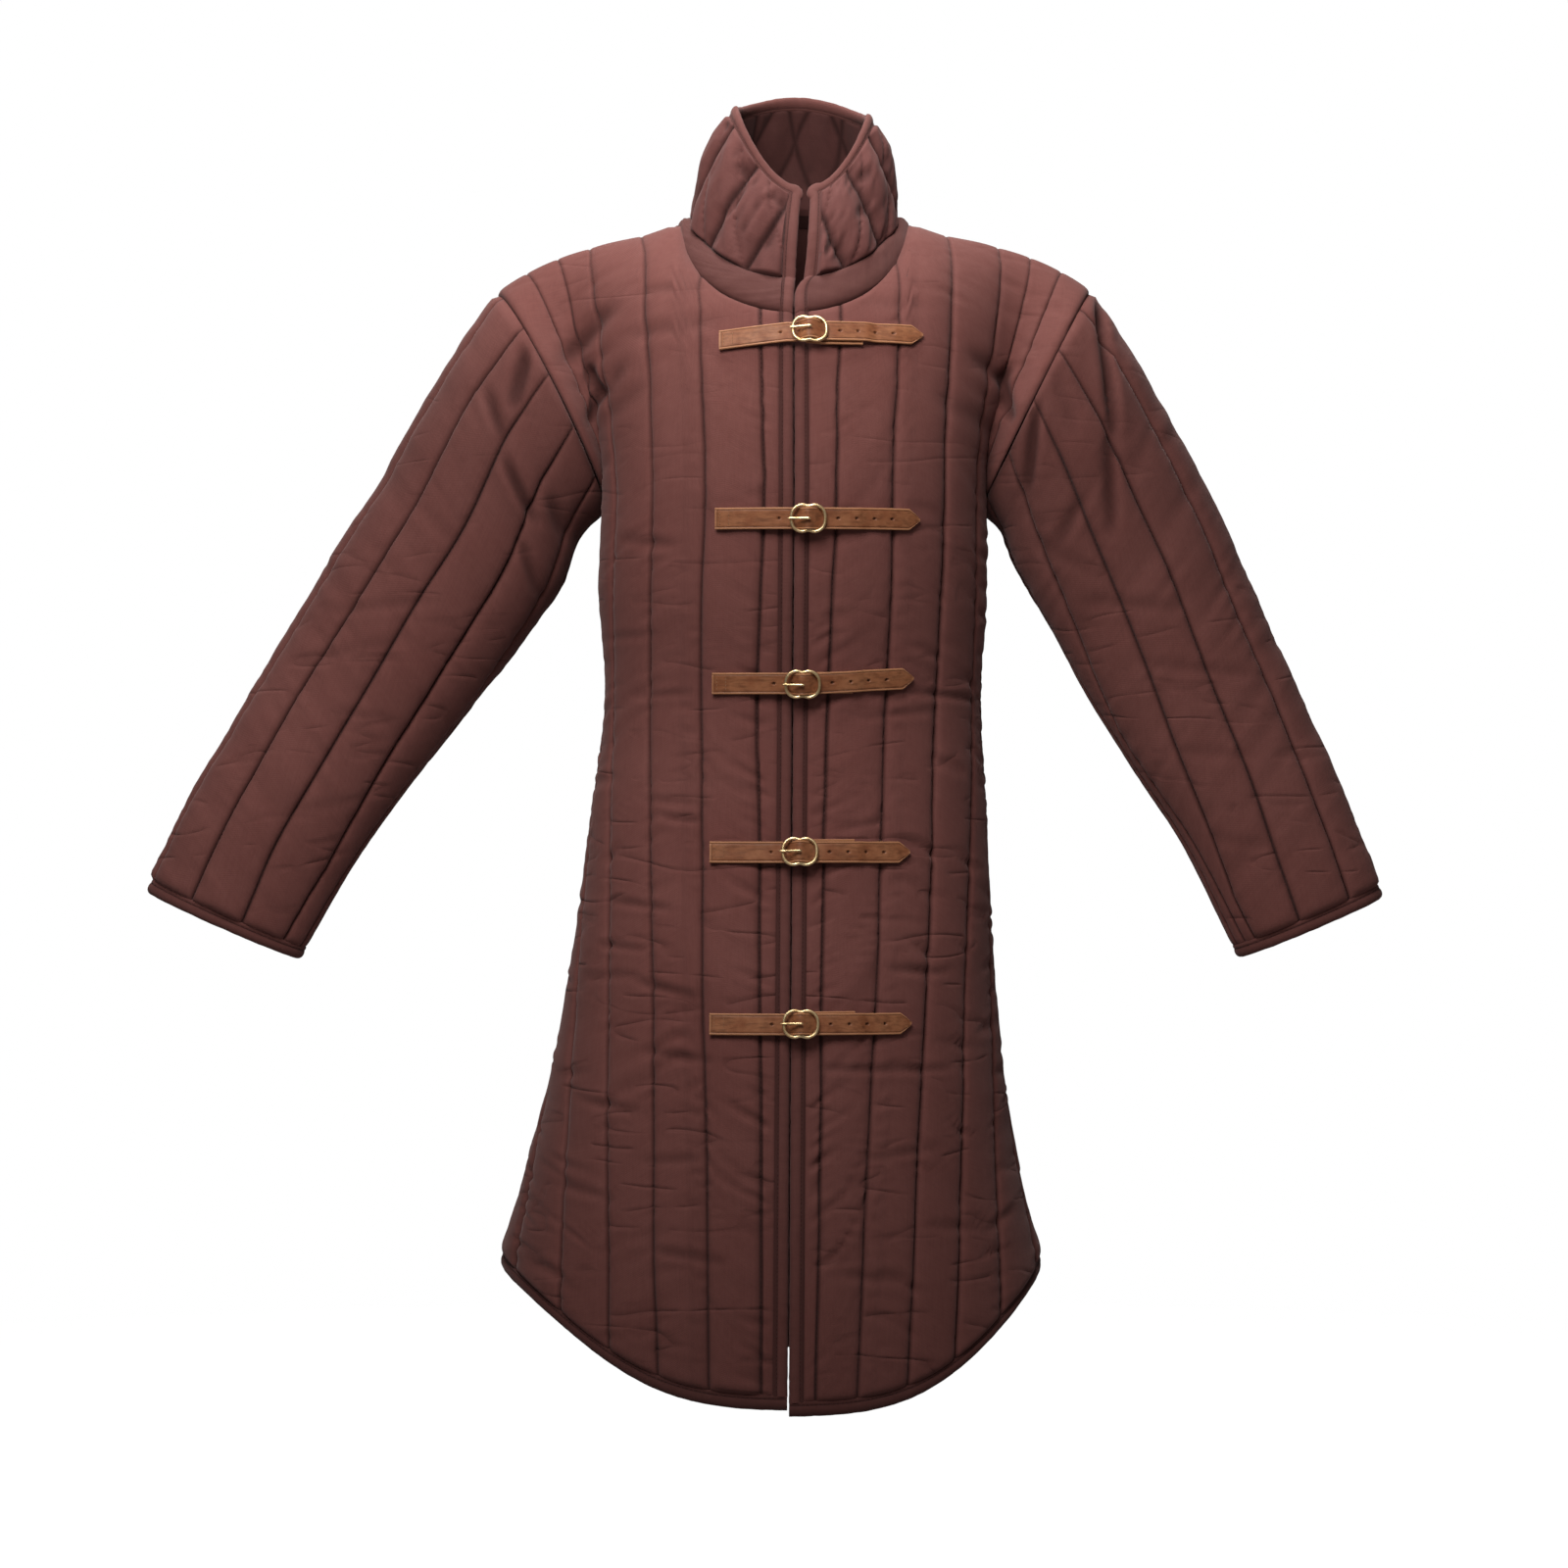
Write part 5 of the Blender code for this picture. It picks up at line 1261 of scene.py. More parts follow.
@dataclass
class NeckBand:
    """Padded band between the body and the collar, drawn darker along each border: painted shade.
    """

    columns: int = 230
    rows: int = 22
    swell: float = 0.0058

    def skin(self) -> Skin:
        """Both skins of the band."""
        share, rise = grid_shares(self.rows, self.columns)
        angle = between_rings(NECKLINE, COLLAR_SEAM, share, rise ** 4)
        points = mixed(NECKLINE.seam(angle, 1.0), COLLAR_SEAM.seam(angle, -1.0), rise)
        normals = grid_normals(points, 1.0)
        normals[0], normals[-1] = NECKLINE.through(share[0]), COLLAR_SEAM.through(share[0])
        run, length = runs(points, 1), runs(points, 0)
        away = edge_distance(points, 0)
        # painted shade along both borders of the band
        near = np.exp(-(away / 0.0012) ** 2)
        full = np.clip(away / 0.014, 0.0, 1.0)
        gather = (0.00030 * wave_noise(run, 0.010, 11)
                  + 0.00035 * wave_noise(run + 2.0 * length, 0.024, 12)) * soft_step(away, 0.004)
        height = self.swell * (1.0 - (1.0 - full) ** 2) ** 0.5 + gather
        return round_base(points, height, Lay(points, normals, run, length), near)


@dataclass
class Collar:
    """Stand collar, quilted in diamonds on both faces."""

    columns: int = 270
    rows: int = 64
    bulge: float = 0.0038
    puff: float = 0.0080
    inner_puff: float = 0.0034
    diamond: float = 0.047
    slant: float = 0.40
    faint: float = 0.22          # what is left of the lines that lean back, at the front
    roll: float = 0.0040
    groove: float = 0.0016
    groove_width: float = 0.0027
    nominal: float = 0.085       # its height, for the slant of its lines
    sink: float = 0.62           # height of its padding at the top edge, as a share
    sink_reach: float = 0.022
    tug_reach: float = 0.016     # how far from a line the gathers reach

    def crossings(self, run: Array, rise: Array) -> tuple[Array, Array]:
        """Phases of the two sets of diagonal lines; a line is where one is whole."""
        climb = self.slant * self.nominal * rise
        wander = [0.10 * wave_noise(run + lean * rise, 0.10, seed)
                  + 0.04 * wave_noise(run - lean * rise, 0.045, seed + 1)
                  for lean, seed in ((0.05, 21), (-0.04, 25))]
        return ((run + climb) / self.diamond + wander[0] + 0.58,
                (run - climb) / self.diamond + wander[1] - 0.44)

    def skin(self) -> Skin:
        """Both skins of the collar."""
        share, rise = grid_shares(self.rows, self.columns)
        angle = between_rings(COLLAR_SEAM, COLLAR_TOP, share, rise)
        points = mixed(COLLAR_SEAM.seam(angle, 1.0), COLLAR_TOP.point(angle), rise)
        points += COLLAR_SEAM.outward(angle) * (self.bulge * np.sin(math.pi * rise))[..., None]
        normals = grid_normals(points, 1.0)
        normals[0] = COLLAR_SEAM.through(share[0])
        run, length = runs(points, 1), runs(points, 0)
        middle = run[self.rows // 2]
        first, second = self.crossings(np.broadcast_to(middle - 0.5 * middle[-1], run.shape),
                                       rise)
        strong = [1.0 - (1.0 - self.faint) * soft_step(turn - 0.64, 0.10)
                  for turn in (share, 1.0 - share)]
        pillow = (np.abs(np.sin(math.pi * first)) ** (0.80 * strong[0])
                  * np.abs(np.sin(math.pi * second)) ** (0.80 * strong[1]))
        off = [np.abs(phase - np.round(phase)) * self.diamond * 0.88 for phase in (first, second)]
        near = np.maximum(*(plain ** 1.5 * np.exp(-(away / self.groove_width) ** 2)
                            for plain, away in zip(strong, off)))
        away = np.minimum(edge_distance(points, 0), edge_distance(points, 1))
        top = length[-1:] - length
        turned = rolled(away, self.roll) * (
            self.sink + (1.0 - self.sink) * soft_step(top, self.sink_reach))
        tug = np.exp(-(np.minimum(*off) / self.tug_reach) ** 2)
        place = np.broadcast_to(middle, run.shape)
        gather = (0.0021 * wave_noise(place - 0.35 * length, 0.012, 31)
                  * wave_noise(length + 0.25 * place, 0.021, 34)
                  + 0.0009 * wave_noise(place + 0.5 * length, 0.017, 32)) * tug
        # painted shade in the troughs of the gathers
        near = np.maximum(near, np.clip(-gather / 0.0030, 0.0, 0.6))
        swell = 1.0 + 0.22 * wave_noise(place + 0.6 * length, 0.07, 33)
        height = (self.puff * swell * pillow + gather * soft_step(away, 0.006)
                  - self.groove * near) * turned
        inner = points - normals * (WALL + self.inner_puff * pillow * turned)[..., None]
        return Skin(points + normals * height[..., None], inner,
                    Lay(points, normals, run, length), near)


# ---- bound edges

@dataclass
class Path:
    """Stations along a bound edge: middle of the wall, its normal, and the way out of it."""

    middle: Array
    normal: Array
    leave: Array

    def joined(self, other: Path, *fan: Array) -> Path:
        """This path and another, with the stations of a fan in place of a shared corner."""
        mine, theirs = ((path.middle, path.normal, path.leave) for path in (self, other))
        if fan:
            return Path(*(np.concatenate([first[:-1], turned, last[1:]])
                          for first, turned, last in zip(mine, fan, theirs)))
        return Path(*(np.concatenate(pair) for pair in zip(mine, theirs)))

    def __add__(self, other: Path) -> Path:
        """This path and another; a shared corner is turned in a soft fan."""
        if np.linalg.norm(other.middle[0] - self.middle[-1]) > 1e-9:
            return self.joined(other)
        turn = np.linspace(0.0, 1.0, FAN)[:, None]
        half = math.sqrt(0.5 + 0.5 * float(np.dot(self.leave[-1], other.leave[0])))
        peak = min(half ** -0.8 - 1.0, 0.10)
        leave = unit(self.leave[-1] * (1.0 - turn) + other.leave[0] * turn)
        leave = leave * (1.0 + peak * np.sin(math.pi * turn) ** 2)
        normal = unit(self.normal[-1] * (1.0 - turn) + other.normal[0] * turn)
        return self.joined(other, np.repeat(self.middle[-1:], FAN, axis=0), normal, leave)


def stretch(skin: Skin, rows: Array | int, columns: Array | int, away: tuple[int, int]) -> Path:
    """Edge of a wall along grid points.

    Args:
        skin: The wall.
        rows: Their rows.
        columns: Their columns.
        away: The step (row, column) that leads back into the wall.

    Returns:
        The path along that edge.
    """
    outer, inner = skin.outer[rows, columns], skin.inner[rows, columns]
    back = (rows + 3 * away[0], columns + 3 * away[1])
    middle, normal = 0.5 * (outer + inner), unit(outer - inner)
    leave = middle - skin.inner[back] - 0.5 * WALL * skin.lay.normals[back]
    return Path(middle, normal, squared(leave, normal))


def three_sides(skin: Skin, rows: Array, inward: int) -> Path:
    """Edge of a wall down its first column, along its last of these rows, and back up.

    Args:
        skin: The wall.
        rows: Rows of the first column, in walking order.
        inward: Step of a row from that border back into the wall.

    Returns:
        The path along those edges.
    """
    columns = skin.outer.shape[1]
    return (stretch(skin, rows, 0, (0, 1))
            + stretch(skin, rows[-1], np.arange(columns), (inward, 0))
            + stretch(skin, rows[::-1], columns - 1, (0, -1)))


@dataclass
class Tape:
    """Cotton tape folded round an edge, plump, with gathers and a stitched border."""

    seed: int = 1
    width: float = BINDING
    bulge: float = BINDING_BULGE
    gather: float = 0.045
    fine_pitch: float = 0.0085
    coarse_pitch: float = 0.021
    # painted shadow: the tape's inner border is drawn dark beside the panel
    border: float = 0.0          # how dark its inner border is
    # distance out, as a share of the width, and thickness, as a share of the bulge
    outline: tuple[tuple[float, float], ...] = (
        (-0.16, 0.58), (-0.12, 0.72), (0.00, 0.80), (0.10, 0.80), (0.16, 0.72), (0.23, 0.84),
        (0.36, 0.96), (0.50, 1.00), (0.66, 0.96), (0.80, 0.82), (0.91, 0.58), (0.98, 0.28),
        (1.00, 0.00))

    def rings(self, path: Path, closed: bool = False) -> tuple[Array, Array]:
        """Rings of points round the tape, and how near each is to its stitches or to its inner
        border, where a painted shadow lies.
        """
        outline = list(self.outline)
        outline += [(out, -thick) for out, thick in reversed(outline[:-1])]
        walked = runs(path.middle[:, None] + path.leave[:, None] * self.width, 0)[:, 0]
        ease = 1.0 if closed else soft_step(np.minimum(walked, walked[-1] - walked), 0.01)
        wave = self.gather * ease * (wave_noise(walked, self.fine_pitch, self.seed)
                                     + 0.6 * wave_noise(walked, self.coarse_pitch, self.seed + 7))
        rows, near = [], []
        for out, thick in outline + outline[:1]:
            reach = SEAM_GAP + out * (self.width * (1.0 + 0.35 * wave) - SEAM_GAP)
            height = thick * self.bulge * (1.0 + wave * min(1.0, 3.0 * out))
            rows.append(path.middle + path.leave * reach[:, None]
                        + path.normal * height[:, None])
            # dark at the stitches, and painted shadow along the inner border
            near.append(np.full(len(walked), max(
                math.exp(-((out - SEWN) / 0.05) ** 2),
                self.border * (1.0 - float(soft_step(max(out - 0.10, 0.0), 0.12))))))
        return np.stack(rows, axis=1), np.stack(near, axis=1)

    def seat(self, path: Path) -> tuple[Array, Array]:
        """Line of the tape's stitches on its outer side, and normals."""
        middle = path.middle + path.leave * (SEWN * self.width)
        return middle + path.normal * (0.74 * self.bulge), path.normal


# ---- stitches

@dataclass
class Stitching:
    """Rows of sewn stitches, joined in one piece."""

    name: str
    pitch: float = 0.0042
    half_length: float = 0.0015
    radius: float = 0.00040
    places: list[Array] = field(default_factory=list)

    def add(self, points: Array, normals: Array, margin: float = 0.004) -> None:
        """Sew along a line.

        Args:
            points: Points of the line.
            normals: Surface normals there.
            margin: Bare length at each end.
        """
        walked = runs(points[:, None], 0)[:, 0]
        count = int((walked[-1] - 2.0 * margin) / self.pitch)
        if count < 1:
            return
        at = margin + self.pitch * (np.arange(count) + 0.5)

        def read(rows: Array, where: Array) -> Array:
            """Rows of the line, read at distances along it."""
            return np.stack([np.interp(where, walked, column) for column in rows.T], axis=-1)

        middle = read(points, at)
        ahead = unit(read(points, at + 0.001) - middle)
        normal = squared(read(normals, at), ahead)
        middle = middle + normal * (0.35 * self.radius)
        self.places.append(np.stack([middle, ahead, normal, np.cross(ahead, normal)], axis=1))

    def template(self) -> Mesh:
        """One stitch, along x."""
        body = bmesh.new()
        bmesh.ops.create_uvsphere(body, u_segments=4, v_segments=3, radius=1.0,
                                  matrix=Matrix.Rotation(math.pi / 2, 4, "Y"))
        bmesh.ops.scale(body, verts=body.verts[:],
                        vec=(self.half_length, self.radius, self.radius))
        data = bpy.data.meshes.new(self.name + "_one")
        body.to_mesh(data)
        body.free()
        return data

    def mesh(self) -> Mesh:
        """All the stitches as one mesh."""
        place = np.concatenate(self.places)
        count = len(place)
        block = self.template()
        size = len(block.vertices)
        shape = np.zeros(size * 3)
        block.vertices.foreach_get("co", shape)
        made = bmesh.new()
        for bit in range(count.bit_length()):
            if count >> bit & 1:
                made.from_mesh(block)
            twice = bmesh.new()
            twice.from_mesh(block)
            twice.from_mesh(block)
            twice.to_mesh(block)
            twice.free()
        data = bpy.data.meshes.new(self.name)
        made.to_mesh(data)
        made.free()
        bpy.data.meshes.remove(block)
        shape = shape.reshape(-1, 3)
        co = place[:, None, 0] + sum(shape[None, :, axis, None] * place[:, None, axis + 1]
                                     for axis in range(3))
        data.vertices.foreach_set("co", co.ravel())
        return data


# ---- leather and brass

@dataclass(frozen=True)
class Closure:
    """Where one strap lies: its height, both ends, its bar and the end of its buckle strap."""

    number: int
    z: float
    left: float
    right: float
    bar: float
    short_end: float
    short_drop: float            # how far the buckle strap shows below (or above) it
    slack: float = 0.0           # how much its sewn end hangs, drop for each metre
    climb: float = 0.0           # how much its free end climbs, rise for each metre


CLOSURES = (
    Closure(1, -0.101, -0.0610, 0.1060, 0.0125, 0.0560, -0.0022, 0.115),
    Closure(2, -0.255, -0.0640, 0.1050, 0.0115, 0.0490, 0.0),
    Closure(3, -0.391, -0.0660, 0.1005, 0.0080, 0.0490, 0.0006, 0.0, 0.055),
    Closure(4, -0.534, -0.0670, 0.0980, 0.0065, 0.0510, 0.0020),
    Closure(5, -0.676, -0.0660, 0.1000, 0.0080, 0.0520, 0.0018),
)


# undersides of the straps above the padding: on it, on a buckle strap, over and under a bar
LAID, ON_SHORT, OVER_BAR, UNDER_BAR = 0.0006, 0.0030, 0.0093, 0.0029


@dataclass
class Strap:
    """Leather strap with rounded edges, a creased border and punched holes."""

    name: str
    z: float
    route: tuple[tuple[float, float], ...]   # run from the opening, and lift above the padding
    tip: bool
    holes: tuple[float, ...] = ()
    seed: int = 1
    slack: float = 0.0
    climb: float = 0.0
    width: float = 0.018
    leather: float = 0.0022
    crease_inset: float = 0.0019
    crease_depth: float = 0.00035
    hole_radius: float = 0.00135
    crease_dark: float = 0.8
    hole_edge: float = 0.0004
    hole_depth: float = 0.0016
    tip_length: float = 0.0095
    tip_width: float = 0.11      # of its end, as a share of the strap's
    sag: float = 0.0003          # how far its borders rise and fall, and how often
    waves: float = 40.0
    bend: float = 0.0024         # how softly it bends
    step: float = 0.0009

    def section(self) -> Array:
        """Outline of the strap: distance from its middle line, and height, both in metres."""
        half, thick, round_off = 0.5 * self.width, self.leather, 0.0007
        inset = half - self.crease_inset
        top = np.array([-inset - 0.0006, -inset - 0.0003, -inset, -inset + 0.0003,
                        -inset + 0.0007, -0.0052, -0.0038, -0.0026, -0.0019, -0.00145, -0.0011,
                        -0.0006, 0.0])
        top = np.concatenate([top, -top[-2::-1]])
        corner = np.linspace(0.0, 0.5 * math.pi, 4)
        right = [(half - round_off + round_off * math.sin(a), thick - round_off
                  + round_off * math.cos(a)) for a in corner]
        under = [(half, 0.35 * thick), (half - 0.0003, 0.0), (0.0, 0.0),
                 (-half + 0.0003, 0.0), (-half, 0.35 * thick)]
        left = [(-u, t) for u, t in reversed(right)]
        outline = [(u, thick) for u in top] + right + under + left
        return np.array(outline + outline[:1])

    def height_at(self, run: float) -> float:
        """Height of the strap's middle line; the sewn end may hang a little."""
        return (self.z + self.slack * min(run + 0.006, 0.0)
                + self.climb * max(run - 0.014, 0.0))

    def rings(self) -> tuple[Array, Array, Array]:
        """Rings of points along the strap, how near each is to a crease or to a hole, whose dark
        is painted shade, and how near each is to an edge.
        """
        route = np.array(self.route)
        count = int((route[-1, 0] - route[0, 0]) / self.step)
        run = np.linspace(route[0, 0], route[-1, 0], count + 1)
        lift = np.mean([np.interp(run + shift, *route.T)
                        for shift in np.linspace(-self.bend, self.bend, 7)], axis=0)
        lift[0], lift[-1] = route[0, 1], route[-1, 1]
        across, height = self.section().T
        on_top = height > self.leather - 1e-6
        inset = 0.5 * self.width - self.crease_inset
        inner = (np.abs(across) < inset) * on_top
        at = run[:, None]
        to_end = run[-1] - at
        start = at - run[0] if self.tip else np.minimum(at - run[0], to_end)
        line = np.exp(-((start - self.crease_inset) / 0.00045) ** 2)
        line = np.where(start < self.crease_inset + 0.0004, line, 0.0) * inner
        border = np.exp(-((np.abs(across) - inset) / 0.00032) ** 2) * on_top
        dent = self.crease_depth * (border + line)
        dark = self.crease_dark * np.maximum(border, line)
        # painted shade: each hole is a dent whose colour is drawn dark
        for hole in self.holes:
            off = np.hypot(at - hole, across)
            deep = np.clip((self.hole_radius - off) / self.hole_edge, 0.0, 1.0) * on_top
            dent = dent + self.hole_depth * deep
            dark = np.maximum(dark, deep)
        narrow = np.ones_like(at)
        if self.tip:
            narrow = self.tip_width + (1.0 - self.tip_width) * np.minimum(
                1.0, to_end / self.tip_length) ** 0.95
        sag = self.sag * np.sin(self.waves * at + self.seed) * np.abs(across) / self.width
        point, normal, up = (np.array(rows) for rows in zip(*(
            BODY.chest_frame(place, self.height_at(place)) for place in run.tolist())))
        foot = point + normal * (PUFF + lift[:, None])
        places = (foot[:, None] + up[:, None] * (across * narrow)[..., None]
                  + normal[:, None] * (height - dent + sag)[..., None])
        rim = soft_step(np.abs(across) - inset - 0.0002, 0.0005)
        ends = np.exp(-(np.minimum(at - run[0], to_end) / 0.0012) ** 2)
        return places, dark, np.maximum(rim, ends)

    def sewn_rows(self, inset: float = 0.0032) -> list[tuple[Array, Array]]:
        """Two lines of stitches across the strap's sewn end, with their normals."""
        rows = []
        for past_end in (0.0040, 0.0115):
            run = self.route[0][0] + past_end
            point, normal, up = BODY.chest_frame(run, self.height_at(run))
            lift = float(np.interp(run, *np.array(self.route).T))
            half = 0.5 * self.width - inset
            foot = point + normal * (PUFF + lift + self.leather)
            line = np.linspace(-half, half, 5)[:, None] * up + foot
            rows.append((line, np.repeat(normal[None], 5, axis=0)))
        return rows


def long_strap(closure: Closure) -> Strap:
    """Strap sewn to the right front, under its buckle's rings and over its bar."""
    bar, end = closure.bar, closure.short_end + 0.003
    route = ((closure.left, LAID), (bar - 0.020, LAID), (bar - 0.0100, LAID),
             (bar - 0.0040, 0.0073), (bar, OVER_BAR), (bar + 0.0040, 0.0073),
             (bar + 0.0100, ON_SHORT), (bar + 0.0240, ON_SHORT), (end, ON_SHORT),
             (end + 0.008, LAID), (closure.right, LAID))
    holes = [bar - 0.0235, bar - 0.0085] + [bar + 0.024 + 0.015 * step for step in range(5)]
    return Strap("leather_strap_%d" % closure.number, closure.z, route, True,
                 tuple(run for run in holes if run < closure.right - 0.012),
                 closure.number, closure.slack, closure.climb)


def buckle_strap(closure: Closure) -> Strap:
    """Short strap sewn to the left front, folded round the bar."""
    bar = closure.bar
    route = ((bar - 0.003, UNDER_BAR), (bar, UNDER_BAR), (bar + 0.004, 0.0022),
             (bar + 0.010, LAID), (closure.short_end, LAID))
    return Strap("leather_buckle_strap_%d" % closure.number, closure.z + closure.short_drop,
                 route, False, (), closure.number + 20)


@dataclass
class Buckle:
    """Cast brass double-loop buckle with its bar and prong, in a frame of its own."""

    closure: Closure
    half_width: float = 0.0141
    half_height: float = 0.0116
    wire: float = 0.0014
    pinch: float = 0.16
    rounding: float = 0.78
    lift: float = 0.0076
    bar_radius: float = 0.0013
    pinch_width: float = 0.0036
    boss: float = 0.22           # how much thicker the wire is at the bar
    boss_width: float = 0.0022
    stations: int = 112
    # the prong, from over the bar to the far ring: along the strap, above the padding, radius
    prong: tuple[tuple[float, float, float], ...] = (
        (0.0016, 0.0129, 0.0006), (0.0004, 0.0131, 0.0011), (-0.0020, 0.0130, 0.00115),
        (-0.0050, 0.0125, 0.0011), (-0.0085, 0.0117, 0.0010), (-0.0116, 0.0108, 0.00092),
        (-0.0141, 0.0103, 0.00085), (-0.0160, 0.0101, 0.0007), (-0.0170, 0.0101, 0.00035))

    def matrix(self) -> Matrix:
        """Place of the buckle on the front."""
        point, normal, up = BODY.chest_frame(self.closure.bar, self.closure.z)
        axes = np.stack([unit(np.cross(-normal, up)), -normal, up], axis=1)
        turned = Matrix([list(row) for row in axes]).to_4x4()
        return Matrix.Translation(Vector(point + normal * (PUFF + self.lift))) @ turned

    def rope(self, centres: Array, first: Array, second: Array, radius: Array,
             sides: int) -> Array:
        """Rings of points round a line.

        Args:
            centres: Points of the line.
            first: First spoke at each point.
            second: Second spoke at each point.
            radius: Radius at each point.
            sides: Corners of a ring.

        Returns:
            The rings [station, corner], whose last corner repeats the first.
        """
        angle = np.linspace(0.0, TWO_PI, sides + 1)
        spin = (np.cos(angle)[None, :, None] * first[:, None]
                + np.sin(angle)[None, :, None] * second[:, None])
        return centres[:, None] + spin * np.asarray(radius)[:, None, None]

    def frame_mesh(self, name: str) -> Mesh:
        """Both loops in one ring, pinched at the bar, with the bar across it."""
        angle = np.linspace(0.0, TWO_PI, self.stations, endpoint=False)
        across, up = (np.sign(way) * np.abs(way) ** self.rounding
                      for way in (np.cos(angle), np.sin(angle)))
        x = self.half_width * across
        narrow = 1.0 - self.pinch * np.exp(-(x / self.pinch_width) ** 2)
        centres = stack(x, 0.0 * x, self.half_height * narrow * up)
        ahead = unit(np.roll(centres, -1, axis=0) - np.roll(centres, 1, axis=0))
        facing = np.broadcast_to(np.array([0.0, -1.0, 0.0]), ahead.shape)
        radius = self.wire * (1.0 + self.boss * np.exp(-(x / self.boss_width) ** 2))
        data = tube_mesh(name, self.rope(centres, np.cross(facing, ahead), facing, radius, 14),
                         closing=Closing.BOTH)
        body = bmesh.new()
        body.from_mesh(data)
        bar = bmesh.ops.create_cone(body, cap_ends=True, segments=18, radius1=self.bar_radius,
                                    radius2=self.bar_radius,
                                    depth=2.0 * self.half_height * (1.0 - self.pinch))
        caps = list({face for vert in bar["verts"] for face in vert.link_faces
                     if len(face.verts) > 4})
        bmesh.ops.inset_region(body, faces=caps, thickness=0.0003, depth=0.0002)
        body.transform(self.matrix())
        body.to_mesh(data)
        body.free()
        return data

    def prong_mesh(self, name: str) -> Mesh:
        """Prong with its eye round the bar and its tip on the far loop."""
        table = np.array(self.prong)
        share, fine = np.linspace(0.0, 1.0, len(table)), np.linspace(0.0, 1.0, 41)
        x, lift, radius = (curve(share, column, fine) for column in table.T)
        centres = stack(x, self.lift - lift, 0.0 * x)
        ahead = unit(np.gradient(centres, axis=0))
        level = np.broadcast_to(np.array([0.0, 0.0, 1.0]), ahead.shape)
        data = tube_mesh(name, self.rope(centres, level, np.cross(ahead, level), radius, 12))
        data.transform(self.matrix())
        return data


# ---- finishes

Colour = tuple[float, float, float]
VALUE, COLOUR = "NodeSocketFloat", "NodeSocketColor"


@dataclass
class Graph:
    """Short hand for a node tree."""

    tree: Tree

    def add(self, kind: str, inputs: dict[str | int, object] | None = None,
            **settings: object) -> bpy.types.Node:
        """New node.

        Args:
            kind: Its type, without the leading ShaderNode.
            inputs: Values or sockets for its inputs.
            settings: Values of its own properties.

        Returns:
            The node.
        """
        node = self.tree.nodes.new("ShaderNode" + kind)
        for name, value in settings.items():
            setattr(node, name, value)
        self.feed(node, inputs or {})
        return node

    def feed(self, node: bpy.types.Node, inputs: dict[str | int, object]) -> None:
        """Set or link a node's inputs."""
        for name, value in inputs.items():
            if isinstance(value, Socket):
                self.tree.links.new(value, node.inputs[name])
            else:
                node.inputs[name].default_value = value

    def math(self, operation: str, first: object, second: object = 0.0) -> Socket:
        """Result of one sum."""
        return self.add("Math", {0: first, 1: second}, operation=operation).outputs[0]

    def times(self, first: object, second: object) -> Socket:
        """Product of two values."""
        return self.math("MULTIPLY", first, second)

    def remap(self, value: Socket, low: float, high: float, to_low: float,
              to_high: float) -> Socket:
        """A value carried from one range to another, and held there."""
        return self.add("MapRange", {"Value": value, "From Min": low, "From Max": high,
                                     "To Min": to_low, "To Max": to_high}).outputs["Result"]

    def blend(self, share: object, first: object, second: object) -> Socket:
        """Mixed colour."""
        return self.add("Mix", {0: share, 6: first, 7: second}, data_type="RGBA").outputs[2]

    def noise(self, where: Socket, scale: object, detail: float, rough: float = 0.55) -> Socket:
        """Noise value at a place."""
        return self.add("TexNoise", {"Vector": where, "Scale": scale, "Detail": detail,
                                     "Roughness": rough}).outputs["Fac"]

    def scaled(self, where: Socket, scale: tuple[float, float, float],
               **more: tuple[float, float, float]) -> Socket:
        """A place stretched by a factor for each axis, and moved or turned."""
        return self.add("Mapping", {"Vector": where, "Scale": scale, **more}).outputs[0]

    def place(self) -> Socket:
        """Place on the object."""
        return self.add("TexCoord").outputs["Object"]

    def mark(self, name: str) -> Socket:
        """Value of one of the mesh's attributes."""
        return self.add("Attribute", attribute_name=name).outputs["Fac"]


def rgba(colour: Colour) -> tuple[float, float, float, float]:
    """Opaque colour."""
    return (*colour, 1.0)


def new_group(name: str, inputs: dict[str, object], outputs: dict[str, str]) \
        -> tuple[Graph, Outputs, bpy.types.Node]:
    """Shader node group.

    Args:
        name: Its name.
        inputs: Start values of its inputs; a tuple makes a colour.
        outputs: Socket types of its outputs.

    Returns:
        Its graph, what comes in, and its output node.
    """
    tree = bpy.data.node_groups.new(name, "ShaderNodeTree")
    for label, value in inputs.items():
        socket = tree.interface.new_socket(name=label, in_out="INPUT", socket_type=(
            COLOUR if isinstance(value, tuple) else VALUE))
        socket.default_value = value
    for label, kind in outputs.items():
        tree.interface.new_socket(name=label, in_out="OUTPUT", socket_type=kind)
    given = tree.nodes.new("NodeGroupInput").outputs
    return Graph(tree), given, tree.nodes.new("NodeGroupOutput")


def weave_group() -> Tree:
    """Plain weave on the cloth's own map, with slubs: a height and a slub mask."""
    graph, given, out = new_group("plain_weave", {"Threads": 1400.0, "Slubs": 0.5},
                                  {"Height": VALUE, "Slub": VALUE})
    chart = graph.add("UVMap", uv_map="cloth").outputs["UV"]
    axes = graph.add("SeparateXYZ", {0: chart}).outputs
    warp, weft = (graph.math("SINE", graph.times(graph.times(axis, given["Threads"]), math.pi))
                  for axis in axes[:2])
    crossing = graph.times(warp, weft)
    thick = [graph.noise(graph.scaled(chart, scale), 1.0, 2.0)
             for scale in ((40.0, 700.0, 1.0), (700.0, 40.0, 1.0))]
    slub = graph.remap(graph.math("ADD", *thick), 0.85, 1.35, 0.0, 1.0)
    height = graph.math("ADD", graph.times(crossing, 0.35), graph.times(slub, given["Slubs"]))
    graph.feed(out, {"Height": height, "Slub": slub})
    return graph.tree


